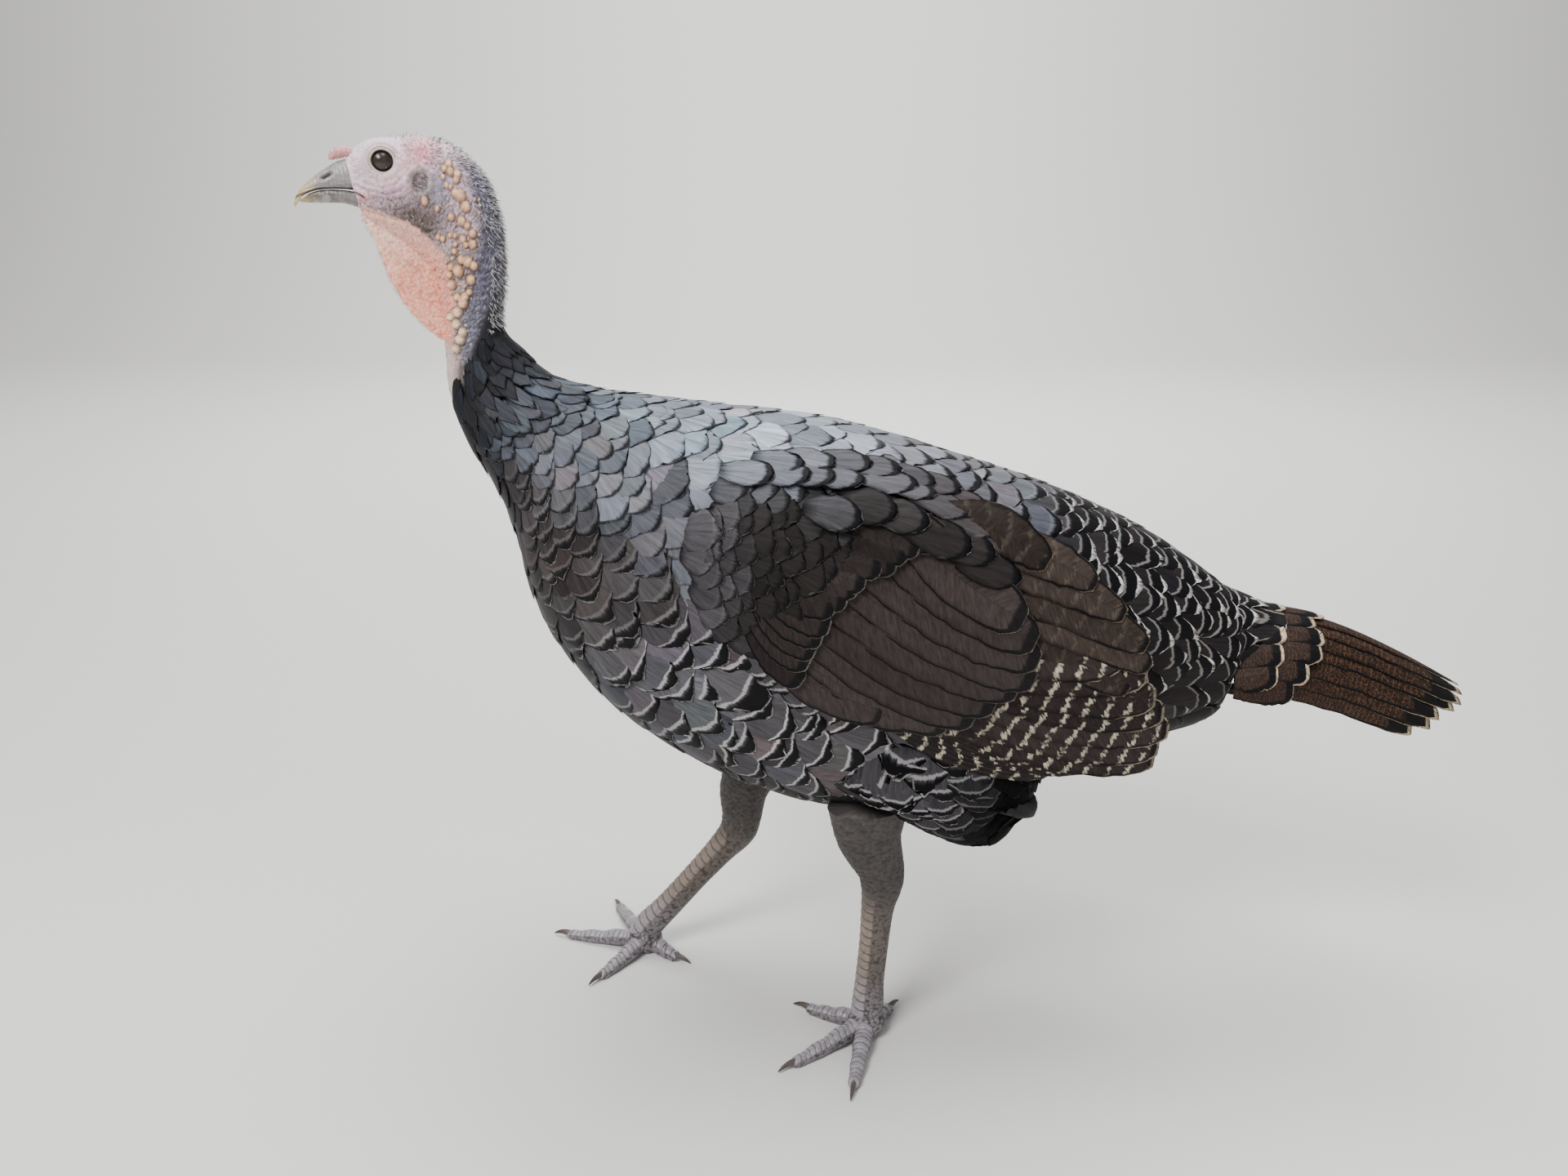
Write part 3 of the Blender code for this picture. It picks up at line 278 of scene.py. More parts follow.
def smooth(low, high, value):
    """A step from 0 at `low` to 1 at `high`, as 3t squared less 2t cubed."""
    t = np.clip((value - low) / (high - low), 0, 1)
    return t * t * (3 - 2 * t)


def blend(first, second, share):
    """The first value at a share of 0 and the second at 1, in proportion between."""
    return np.asarray(first) * (1 - share) + np.asarray(second) * share


def hump(value, middle, breadth):
    """1 where a value is at its middle, falling to 0 beyond its breadth: e to the power of
    minus the square of the distance over the breadth."""
    return np.exp(-(((value - middle) / breadth) ** 2))


def unit(vectors):
    """The vectors divided by their length."""
    return vectors / np.maximum(np.linalg.norm(vectors, axis=-1, keepdims=True), 1e-12)


def dot(a, b):
    """The sum of products along the last axis, kept as an axis."""
    return (a * b).sum(-1, keepdims=True)


def swell(points, size, seed, layers=3):
    """Smooth noise from -1 to 1: sines along random directions, at waves of `size` and finer."""
    draw = np.random.default_rng(seed)
    total = np.zeros(points.shape[:-1])
    for layer in range(layers):
        for _ in range(6):
            way = unit(draw.normal(size=3))
            phase = draw.uniform(0, 2 * pi)
            total += np.sin(points @ way * (2 * pi / size * 1.9**layer) + phase) / 1.7**layer
    return total / 4.2


def grains(points, size, seed):
    """Distance to the nearest of scattered points, one in each cube of side `size`, as a share
    of that side, and a random number that belongs to that nearest point."""
    cells = np.floor(points / size)
    inside = points / size - cells
    best = np.full(points.shape[:-1], 9.0)
    label = np.zeros(points.shape[:-1])
    for offset in np.ndindex(3, 3, 3):
        step = np.array(offset) - 1.0
        key = (cells + step) @ np.array((127.1, 311.7, 74.7)) + seed
        at = np.stack([np.modf(np.abs(np.sin(key * k)) * 43758.5453)[0] for k in (1.0, 1.7, 2.3)], -1)
        apart = np.linalg.norm(step + at - inside, axis=-1)
        nearer = apart < best
        best = np.where(nearer, apart, best)
        label = np.where(nearer, at[..., 0], label)
    return best, label


def wrapped(angle):
    """Angles from 0 to a full turn, given as minus to plus half a turn."""
    return np.where(angle > pi, angle - 2 * pi, angle)


def full_circle(count):
    """Angles of `count` even steps round a circle, without its last point."""
    return np.linspace(0, 2 * pi, count, endpoint=False)


def off_line(at, line):
    """How far 2-D points lie from a line of points, and how far along it, as a share."""
    line = np.asarray(line, float)
    best = np.full(at.shape[:-1], 1e9)
    share = np.zeros(at.shape[:-1])
    for i in range(len(line) - 1):
        way = line[i + 1] - line[i]
        t = np.clip(((at - line[i]) @ way) / (way @ way), 0, 1)
        apart = np.linalg.norm(at - line[i] - t[..., None] * way, axis=-1)
        nearer = apart < best
        best = np.where(nearer, apart, best)
        share = np.where(nearer, (i + t) / (len(line) - 1), share)
    return best, share


# the bird's surfaces


def plane_point(ahead, height, turn_deg=TURN_DEG):
    """A point of the upright plane through the neck's axis, turned to the left about it."""
    turn = np.radians(turn_deg)
    ahead = np.asarray(ahead, float)
    x = NECK_AXIS_X - ahead * np.cos(turn)
    y = -ahead * np.sin(turn)
    return np.stack(np.broadcast_arrays(x, y, height), axis=-1)


def plane_side(turn_deg=TURN_DEG):
    """The unit vector out of that plane, towards the bird's left."""
    turn = np.radians(turn_deg)
    flat = np.zeros_like(np.asarray(turn, float))
    return np.stack([np.sin(turn), -np.cos(turn), flat], axis=-1)


def head_place(points):
    """Ahead, height and distance to the left, in millimetres, as the turned head has them."""
    turn = radians(TURN_DEG)
    from_axis = points - np.array((NECK_AXIS_X, 0, 0))
    ahead = from_axis @ np.array((-np.cos(turn), -np.sin(turn), 0))
    return np.stack([ahead, points[..., 2]], -1) / MM, (from_axis @ plane_side()) / MM


def body_point(station, angle):
    """The loft's surface: an oval round the middle of each section, from its upper point at
    angle 0 by its left side at a quarter turn, with the width's sine raised to a power."""
    station, angle = np.broadcast_arrays(np.asarray(station, float), angle)
    rows = spline(STATIONS, station)
    top = plane_point(rows[..., 0] * MM, rows[..., 1] * MM, rows[..., 5])
    bottom = plane_point(rows[..., 2] * MM, rows[..., 3] * MM, rows[..., 5])
    middle = (top + bottom) / 2
    power = 1 - 0.14 * np.clip((station - COLLAR) / (SHOULDER + 3 - COLLAR), 0, 1)
    across = np.sin(angle)
    spread = np.sign(across) * np.abs(across) ** power * rows[..., 4] * MM
    return middle + np.cos(angle)[..., None] * (top - middle) + spread[..., None] * plane_side(rows[..., 5])


def slopes(surface, u, v, step_u, step_v):
    """A surface's two tangents, by differences a small step to either side."""
    along = (surface(u + step_u, v) - surface(u - step_u, v)) / (2 * step_u)
    round_ = (surface(u, v + step_v) - surface(u, v - step_v)) / (2 * step_v)
    return along, round_


def tube_frame(rows, where, across=(0.0, 1.0, 0.0)):
    """A tube's middle, front and side directions at places counted in rows."""
    rows = np.asarray(rows, float)
    here = spline(rows, where)
    after, before = (
        spline(rows[:, :3], np.clip(where + step, 0, len(rows) - 1)) for step in (0.02, -0.02)
    )
    along = unit(after - before)
    side = unit(across - dot(along, np.asarray(across)) * along)
    return here, np.cross(side, along), side


def tube_point(rows, where, angle, across=(0.0, 1.0, 0.0), ends=None):
    """A tube through rows of (x, y, z, half depth, half width): the path's point plus the
    cosine of the angle towards the front and its sine towards the side."""
    where, angle = np.broadcast_arrays(np.asarray(where, float), angle)
    here, front, side = tube_frame(rows, where, across)
    close = 1.0 if ends is None else ends(where / (len(rows) - 1))
    deep = (here[..., 3] * close * np.cos(angle))[..., None]
    wide = (here[..., 4] * close * np.sin(angle))[..., None]
    return here[..., :3] + deep * front + wide * side


def thigh_point(word):
    """The feathered thigh as a tube that is rounded off at both ends."""
    rows = np.array(THIGHS[word], float) * MM

    def close(share):
        """The tube's breadth as a share: a circle's edge drawn out to the sixth power."""
        return np.sqrt(np.clip(1 - np.abs(share * 2 - 1) ** 6, 0.05, 1))

    return lambda where, angle: tube_point(rows, where, angle, ends=close)


class SideTable:
    """The body's left side read by (x, z): y and normal, averaged from the nearest points of
    its surface onto a grid and read between the grid's points in proportion."""

    step = 4 * MM
    low = np.array((-170.0, 150.0)) * MM
    count = (112, 92)

    def __init__(self):
        stations, angles = np.linspace(SHOULDER, RUMP, 90), np.linspace(0, pi, 81)
        station, angle = np.meshgrid(stations, angles, indexing="ij")
        points = body_point(station, angle)
        along, around = slopes(body_point, station, angle, 0.02, 0.01)
        normals = unit(np.cross(along, around))
        normals *= np.sign((normals * (points - points.mean((0, 1)))).sum())
        points, normals = points.reshape(-1, 3), normals.reshape(-1, 3)
        columns, heights = (self.low[k] + self.step * np.arange(self.count[k]) for k in (0, 1))
        x, z = np.meshgrid(columns, heights, indexing="ij")
        wanted = np.stack([x.ravel(), z.ravel()], 1)
        found = []
        for part in np.array_split(wanted, 24):
            apart = np.linalg.norm(points[None, :, [0, 2]] - part[:, None], axis=2)
            nearest = np.argpartition(apart, 6, axis=1)[:, :6]
            weight = 1 / (np.take_along_axis(apart, nearest, axis=1) + 0.4 * MM) ** 2
            weight /= weight.sum(1)[:, None]
            row = np.concatenate([points[nearest, 1:2], normals[nearest]], -1)
            found.append((row * weight[..., None]).sum(1))
        self.table = np.concatenate(found).reshape(*self.count, 4)

    def read(self, x, z):
        """The row (y, normal) at (x, z), in proportion between the grid's four points."""
        place = (np.stack([x, z], -1) - self.low) / self.step
        place = np.clip(place, 0, np.array(self.count) - 1.001)
        i, j = place[..., 0].astype(int), place[..., 1].astype(int)
        s, t = (place[..., 0] - i)[..., None], (place[..., 1] - j)[..., None]
        grid = self.table
        near = blend(grid[i, j], grid[i + 1, j], s)
        far = blend(grid[i, j + 1], grid[i + 1, j + 1], s)
        return blend(near, far, t)


SIDE = SideTable()


def wing_surface(side, lift=0.0):
    """The folded wing's surface by (x, z): the body's side, which it follows only in part
    behind and below the place where it comes free, lifted along the normal."""

    def at(x, z):
        """The wing's point at (x, z)."""
        x, z = np.broadcast_arrays(x, z)
        back = np.maximum(x - WING_FREE_FROM[0], 0) * (1 - WING_FOLLOWS)
        down = np.maximum(WING_FREE_FROM[1] - z, 0) * (1 - WING_FOLLOWS)
        row = SIDE.read(x - back, z + down)
        base = np.stack([x, row[..., 0], z], -1)
        base = base + unit(row[..., 1:]) * np.asarray(lift)[..., None]
        return base * np.array((1.0, -side, 1.0))

    return at


def tail_surface(at, angle, inwards=0.0):
    """The folded tail: a round roof hung from its ridge, `at` along the ridge from 0 to 1."""
    at, angle = np.broadcast_arrays(np.asarray(at, float), angle)
    ridge = spline(np.array(TAIL_RIDGE) * MM, at * (len(TAIL_RIDGE) - 1))
    radius = TAIL_ROUND[1] + (TAIL_ROUND[0] - TAIL_ROUND[1]) * np.clip(1 - at, 0, 1) ** 3
    reach = radius - inwards
    y = -reach * np.sin(angle) * TAIL_NARROW
    return np.stack([ridge[..., 0], y, ridge[..., 1] - radius + reach * np.cos(angle)], -1)


# meshes


def build(name, shape, material, replaces=(), maps=None, tints=None):
    """Makes a mesh from (points, quads, tris) in the bird's frame, puts it in the row's frame
    and dresses it.

    `maps` are UV maps and `tints` colour attributes, both given for each point."""
    points, quads, tris = shape
    loops = np.concatenate([quads.ravel(), tris.ravel()]).astype(np.int32)
    starts = np.concatenate([np.arange(len(quads)) * 4, len(quads) * 4 + np.arange(len(tris)) * 3])
    mesh = bpy.data.meshes.new(name)
    mesh.vertices.add(len(points))
    mesh.vertices.foreach_set("co", (points - BOX_MIDDLE).astype(np.float32).ravel())
    mesh.loops.add(len(loops))
    mesh.loops.foreach_set("vertex_index", loops)
    mesh.polygons.add(len(starts))
    mesh.polygons.foreach_set("loop_start", starts.astype(np.int32))
    mesh.update(calc_edges=True)
    mesh.validate()
    if len(mesh.loops) != len(loops):
        raise RuntimeError(name + " has faces that fold onto one another")
    for key, values in (maps or {}).items():
        layer = mesh.uv_layers.new(name=key)
        layer.data.foreach_set("uv", values[loops].astype(np.float32).ravel())
    for key, values in (tints or {}).items():
        layer = mesh.attributes.new(key, "FLOAT_COLOR", "POINT")
        layer.data.foreach_set("color", values.astype(np.float32).ravel())
    mesh.shade_smooth()
    mesh.materials.append(bpy.data.materials[material])
    obj = bpy.data.objects.new(name, mesh)
    bpy.context.scene.collection.objects.link(obj)
    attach(obj, "root")
    if replaces:
        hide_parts(*replaces)


NO_TRIS = np.zeros((0, 3), int)


def volume(points, quads, tris):
    """Six times the volume inside a closed mesh, as the sum over its triangles."""
    parts = [quads[:, [0, 1, 2]], quads[:, [0, 2, 3]], tris]
    a, b, c = np.moveaxis(points[np.concatenate(parts)], 1, 0)
    return (a * np.cross(b, c)).sum()


def tube_faces(rings, count):
    """Faces of a closed tube of rings, with a point at each end's middle as the last two."""
    i, j = np.meshgrid(np.arange(rings - 1), np.arange(count), indexing="ij")
    k = (j + 1) % count
    quads = np.stack([i * count + j, i * count + k, (i + 1) * count + k, (i + 1) * count + j], -1)
    j = np.arange(count)
    k = (j + 1) % count
    last = (rings - 1) * count
    first_cap = np.stack([k, j, np.full(count, rings * count)], -1)
    last_cap = np.stack([last + j, last + k, np.full(count, rings * count + 1)], -1)
    return quads.reshape(-1, 4), np.concatenate([first_cap, last_cap])


def closed_tube(grid):
    """Points, quads and end triangles of a tube given as rings x count x 3, faces outwards."""
    rings, count = grid.shape[:2]
    points = np.concatenate([grid.reshape(-1, 3), grid[:1].mean(1), grid[-1:].mean(1)])
    quads, tris = tube_faces(rings, count)
    if volume(points - points.mean(0), quads, tris) < 0:
        quads, tris = quads[:, ::-1], tris[:, ::-1]
    return points, quads, tris


def with_ends(values):
    """Values of a tube's grid with those of its two end points added."""
    flat = values.reshape(-1, values.shape[-1])
    return np.concatenate([flat, values[:1].mean(1), values[-1:].mean(1)])


def join(parts):
    """Several (points, quads, tris) put together as one."""
    start, points, quads, tris = 0, [], [], []
    for p, q, t in parts:
        points.append(p)
        quads.append(q + start)
        tris.append(t + start)
        start += len(p)
    return np.concatenate(points), np.concatenate(quads), np.concatenate(tris)


def merged(tables):
    """Several dicts of arrays with the same keys, joined as one."""
    return {key: np.concatenate([table[key] for table in tables]) for key in tables[0]}


def with_alpha(colour, alpha):
    """RGB with a fourth value beside it."""
    alpha = np.broadcast_to(alpha, colour.shape[:-1])
    return np.concatenate([colour, alpha[..., None]], -1)


def tube_tint(colour, roughness):
    """A closed tube's colours, with the roughness as alpha, and those of its two end points."""
    return with_ends(with_alpha(colour, roughness))


# feathers

# Lines of points from a vane's root to its tip, and rows across it, as shares.
VANE_LINES = np.array((0.0, 0.3, 0.56, 0.77, 0.91, 1.0))
VANE_ROWS = np.array((-1.0, -0.74, -0.4, 0.0, 0.4, 0.74, 1.0))
# How thick a vane is in its middle and at its rim. Then how far it is bowed down at its sides
# and how far they are drawn back, both as shares of its half width.
VANE_THICK, RIM_THICK = 0.2 * MM, 0.05 * MM
VANE_CUP, VANE_SAG = 0.05, 0.42


# Side of a small feather's patch in the baking map.
PATCH = 0.003


def vane_width(share, blunt):
    """A vane's half width as a share: it opens from the root and rounds off to the tip."""
    rounded = np.clip((share - 0.6) / 0.4, 0, 1) ** 2.4 * blunt
    return np.clip(0.42 + 1.3 * share, 0, 1) * (1 - rounded)


def lay_feathers(surface, steps, u, v, size, heading, lifts, sign, seed, blunt=0.5, ragged=0.045):
    """Closed vanes lying on a surface, one for each root (u, v).

    A vane's place is its root plus `along` times the lie and `across` times the side, both
    turned into steps of u and v by the surface's tangents, then lifted along the normal. The
    lift grows from root to tip, and the vane is bowed across its width. Its lines are drawn
    back towards their ends, which rounds the tip."""
    draw = np.random.default_rng(seed)
    length, width = (given[:, None, None] for given in size)
    low, high = (given[:, None, None] for given in lifts)
    pu, pv = slopes(surface, u, v, *steps)
    normal = unit(np.cross(pu, pv)) * sign
    ahead = unit(pu)
    turn = heading[:, None]
    lie = ahead * np.cos(turn) + np.cross(normal, ahead) * np.sin(turn)
    side = np.cross(normal, lie)
    uu, vv, uv = dot(pu, pu)[:, 0], dot(pv, pv)[:, 0], dot(pu, pv)[:, 0]
    det = uu * vv - uv * uv

    def into(vector):
        """A direction as steps of u and v, by the two products with the tangents."""
        a, b = dot(vector, pu)[:, 0], dot(vector, pv)[:, 0]
        steps_uv = (a * vv - b * uv) / det, (b * uu - a * uv) / det
        return (step[:, None, None] for step in steps_uv)

    lie_u, lie_v = into(lie)
    side_u, side_v = into(side)
    share = VANE_LINES[None, :, None]
    row = VANE_ROWS[None, None, :]
    n = len(u)
    shape = (n, len(VANE_LINES), len(VANE_ROWS))
    half = vane_width(share, np.broadcast_to(blunt, (n,))[:, None, None]) * width
    half = half * (1 + ragged * draw.normal(size=(n, len(VANE_LINES), 1)))
    across = row * half
    back = VANE_SAG * width * np.abs(row) ** 2 * share
    along = share * length - back + ragged * width * draw.normal(size=shape) * share
    at_u = u[:, None, None] + (lie_u * along + side_u * across)
    at_v = v[:, None, None] + (lie_v * along + side_v * across)
    base = surface(at_u, at_v)
    tu, tv = slopes(surface, at_u, at_v, *steps)
    up = unit(np.cross(tu, tv)) * sign
    rise = low + (high - low) * share**0.8 - VANE_CUP * half * row**2
    middle = base + up * rise[..., None]
    body = (1 - row**2) * np.clip(share * 6, 0, 1) * np.clip((1 - share) * 8, 0, 1) * VANE_THICK
    rim = np.minimum(
        (1 - share) * length + 0 * row,
        (1 - np.abs(row)) * half + (1 - share) * 0.45 * length,
    )
    return {
        "top": middle + up * (body[..., None] + RIM_THICK),
        "bottom": middle - up * (body[..., None] * 0.4),
        "across": np.broadcast_to(across, shape) / MM,
        "along": np.broadcast_to(share * length, shape) / MM,
        "rim": np.broadcast_to(rim, shape) / MM,
    }


def vane_faces(lines, rows):
    """Faces of one closed vane: an upper grid and a lower one that share their border."""
    upper = np.arange(lines * rows).reshape(lines, rows)
    lower = upper.copy()
    inner = (lines - 2, rows - 2)
    lower[1:-1, 1:-1] = lines * rows + np.arange(inner[0] * inner[1]).reshape(inner)

    def cells(grid):
        """The grid's cells as quads."""
        corners = [grid[:-1, :-1], grid[1:, :-1], grid[1:, 1:], grid[:-1, 1:]]
        return np.stack(corners, -1).reshape(-1, 4)

    return np.concatenate([cells(upper), cells(lower)[:, ::-1]])


def spread_over(values, shape):
    """One value for each feather, given to every point of it."""
    return np.broadcast_to(values[:, None, None, :], (*shape, values.shape[-1]))


def feather_mesh(name, sheets, marks, roots, material, slot, replaces=()):
    """Joins vanes as one mesh: grids of upper and lower points, with the feather's colours.

    In the baking map a small feather is a patch at its root's place on the skin, and long
    feathers, which come without roots, lie side by side as strips."""
    shape = sheets["top"].shape[:3]
    n, lines, rows = shape
    template = vane_faces(lines, rows)
    points_each = lines * rows + (lines - 2) * (rows - 2)

    def both(upper, lower=None):
        """The upper grid's values, then those inside the border of the lower one."""
        lower = upper if lower is None else lower
        inner = lower[:, 1:-1, 1:-1].reshape(n, -1, lower.shape[-1])
        every = np.concatenate([upper.reshape(n, lines * rows, -1), inner], 1)
        return every.reshape(-1, upper.shape[-1])

    quads = (template[None] + (np.arange(n) * points_each)[:, None, None]).reshape(-1, 4)
    points = both(sheets["top"], sheets["bottom"])
    a, b, c = (sheets["top"][:, i, j] for i, j in ((1, 1), (2, 1), (1, 2)))
    facing = (np.cross(b - a, c - a) * (sheets["top"] - sheets["bottom"])[:, 1, 1]).sum()
    if facing < 0:
        quads = quads[:, ::-1]
    vane = np.stack([sheets["across"], sheets["along"]], -1)
    rim = np.stack([sheets["rim"], np.zeros(shape)], -1)
    widest = np.maximum(np.abs(sheets["across"]).max((1, 2), keepdims=True), 1e-6)
    longest = np.maximum(sheets["along"].max((1, 2), keepdims=True), 1e-6)
    unit_place = np.stack([sheets["across"] / widest / 2, sheets["along"] / longest - 0.5], -1)
    if roots is None:
        strip = (np.arange(n)[:, None, None] + 0.5 + 0.88 * unit_place[..., 0]) / n
        bake = np.stack([strip, 0.5 + 0.98 * unit_place[..., 1]], -1)
    else:
        bake = np.clip(roots[:, None, None, :] + unit_place * PATCH, 0.0005, 0.9995)
    tints = {key: both(spread_over(values, shape)) for key, values in marks.items()}
    maps = {"Vane": both(vane), "Rim": both(rim), "OFBake": both(bake)}
    build(name, (points, quads, NO_TRIS), material, replaces, maps, tints)


def zone_marks(station, angle, seed):
    """Colours and markings of feathers by their place on the body: the mean of the zones,
    each weighted by a bell round its centre, with a little variation from feather to feather."""
    draw = np.random.default_rng(seed)
    n = len(station)
    degrees = np.abs(np.degrees(angle))
    away = [((station - z[0]) / z[2]) ** 2 + ((degrees - z[1]) / z[3]) ** 2 for z in ZONES]
    weights = (np.exp(-np.stack(away, -1) * 1.4) + 1e-9) ** 1.5
    weights /= weights.sum(-1, keepdims=True)
    mixed = weights @ np.array([(*z[4], *z[5], *z[6:]) for z in ZONES])
    tone = (1 + 0.25 * draw.normal(size=n)).clip(0.5, 1.7)[:, None]
    # Random hue casts for each feather, red-bronze against green-blue, stand in for painted iridescent
    # sheen.
    casts = np.array(((0.035, 0.0, -0.04), (-0.02, 0.03, 0.015)))
    tone = tone * (1 + draw.normal(size=(n, 2)) @ casts)
    random = draw.uniform(size=n)
    wide = 1 + 0.15 * draw.normal(size=n)
    ground = mixed[:, :3] * tone
    fringe = mixed[:, 3:6] * (1 + 0.1 * draw.normal(size=(n, 1)))
    fringe_mm, band_mm, band, arcs, flecks, gloss = mixed[:, 6:].T
    return mark_table(ground, fringe, fringe_mm * wide, band_mm * wide, band, arcs, flecks, gloss, random)


def mark_table(ground, fringe, fringe_mm, band_mm, band, bars, flecks, gloss, random):
    """The four colour attributes that the feathers' materials read, one row for each feather."""
    return {
        "ground": np.concatenate([ground, bars[:, None]], 1),
        "fringe": np.concatenate([fringe, random[:, None]], 1),
        "bands": np.stack([fringe_mm, band_mm, band, gloss], 1),
        "flecks": np.stack([flecks] * 3 + [random], 1),
    }


def plain_marks(count, ground, fringe, values, seed, vary=0.1):
    """The same markings for a set of like feathers, with a little variation in tone. The six
    values are the fringe's and the band's breadth, the band's strength, bars, flecks, gloss."""
    draw = np.random.default_rng(seed)
    tone = (1 + vary * draw.normal(size=(count, 1))).clip(0.5, 1.6)
    random = draw.uniform(size=count)
    ground = np.broadcast_to(np.asarray(ground, float), (count, 3)) * tone
    fringe = np.broadcast_to(np.asarray(fringe, float), (count, 3)) * (0.7 + 0.3 * tone)

    values = (np.broadcast_to(np.asarray(value, float), (count,)) for value in values)
    return mark_table(ground, fringe, *values, random)


# materials


class Nodes:
    """Short calls for building a node tree."""

    def __init__(self, tree):
        self.tree = tree

    def add(self, kind, **values):
        """A new node whose properties, or else inputs, are set by name."""
        made = self.tree.nodes.new(kind)
        for key, value in values.items():
            if hasattr(made, key):
                setattr(made, key, value)
            else:
                made.inputs[key].default_value = value
        return made

    def feed(self, source, target):
        """Gives an input a number, a colour or what another node puts out."""
        if isinstance(source, (int, float)):
            target.default_value = source
        elif isinstance(source, tuple):
            target.default_value = (*source, 1.0)
        else:
            self.tree.links.new(source, target)

    def fed(self, made, *values):
        """A node's first output, after its first inputs are given their values."""
        for index, value in enumerate(values):
            self.feed(value, made.inputs[index])
        return made.outputs[0]

    def math(self, how, *values, clamp=False):
        """A number worked out from others."""
        return self.fed(self.add("ShaderNodeMath", operation=how, use_clamp=clamp), *values)

    def times(self, first, *others):
        """The product of some numbers."""
        for other in others:
            first = self.math("MULTIPLY", first, other)
        return first

    def rest(self, share):
        """What a share leaves of 1."""
        return self.math("SUBTRACT", 1.0, share)

    def vary(self, value, noise, amount):
        """A number with a noise, less its mean of 0.5, added in some amount."""
        return self.math("MULTIPLY_ADD", self.math("SUBTRACT", noise, 0.5), amount, value)

    def mix(self, share, first, second):
        """Two colours mixed by a share."""
        made = self.add("ShaderNodeMix", data_type="RGBA")
        for index, value in ((0, share), (6, first), (7, second)):
            self.feed(value, made.inputs[index])
        return made.outputs[2]

    def scaled(self, colour, factor):
        """A colour times a number."""
        made = self.add("ShaderNodeVectorMath", operation="SCALE")
        self.feed(factor, made.inputs["Scale"])
        return self.fed(made, colour)

    def step(self, value, low, high):
        """A smooth step from 0 at `low` to 1 at `high`."""
        made = self.add("ShaderNodeMapRange", interpolation_type="SMOOTHSTEP")
        return self.fed(made, value, low, high)

    def place(self, *parts):
        """A point from three numbers, each times a factor."""
        return self.fed(self.add("ShaderNodeCombineXYZ"), *(self.times(*part) for part in parts))

    def parts(self, source, kind="ShaderNodeSeparateXYZ"):
        """The three numbers of a point or a colour."""
        made = self.add(kind)
        self.feed(source, made.inputs[0])
        return made.outputs

    def noise(self, vector, scale, detail=2.0, rough=0.5):
        """Noise from 0 to 1, with a mean of 0.5."""
        made = self.add("ShaderNodeTexNoise", Detail=detail, Roughness=rough)
        self.feed(scale, made.inputs["Scale"])
        return self.fed(made, vector)

    def attribute(self, name):
        """A colour attribute's colour and alpha."""
        return self.add("ShaderNodeAttribute", attribute_name=name).outputs


# What both groups put out.
GROUP_OUTPUTS = (("Colour", "Color"), ("Roughness", "Float"), ("Relief", "Float"))


def new_group(name, inputs):
    """A node group with the given (name, type, default) inputs: its nodes' maker, what it is
    given and what it puts out."""
    group = bpy.data.node_groups.new(name, "ShaderNodeTree")
    for label, kind, default in inputs:
        socket = group.interface.new_socket(
            name=label, in_out="INPUT", socket_type="NodeSocket" + kind)
        socket.default_value = default
    for label, kind in GROUP_OUTPUTS:
        group.interface.new_socket(name=label, in_out="OUTPUT", socket_type="NodeSocket" + kind)
    n = Nodes(group)
    return n, n.add("NodeGroupInput").outputs, n.add("NodeGroupOutput").inputs


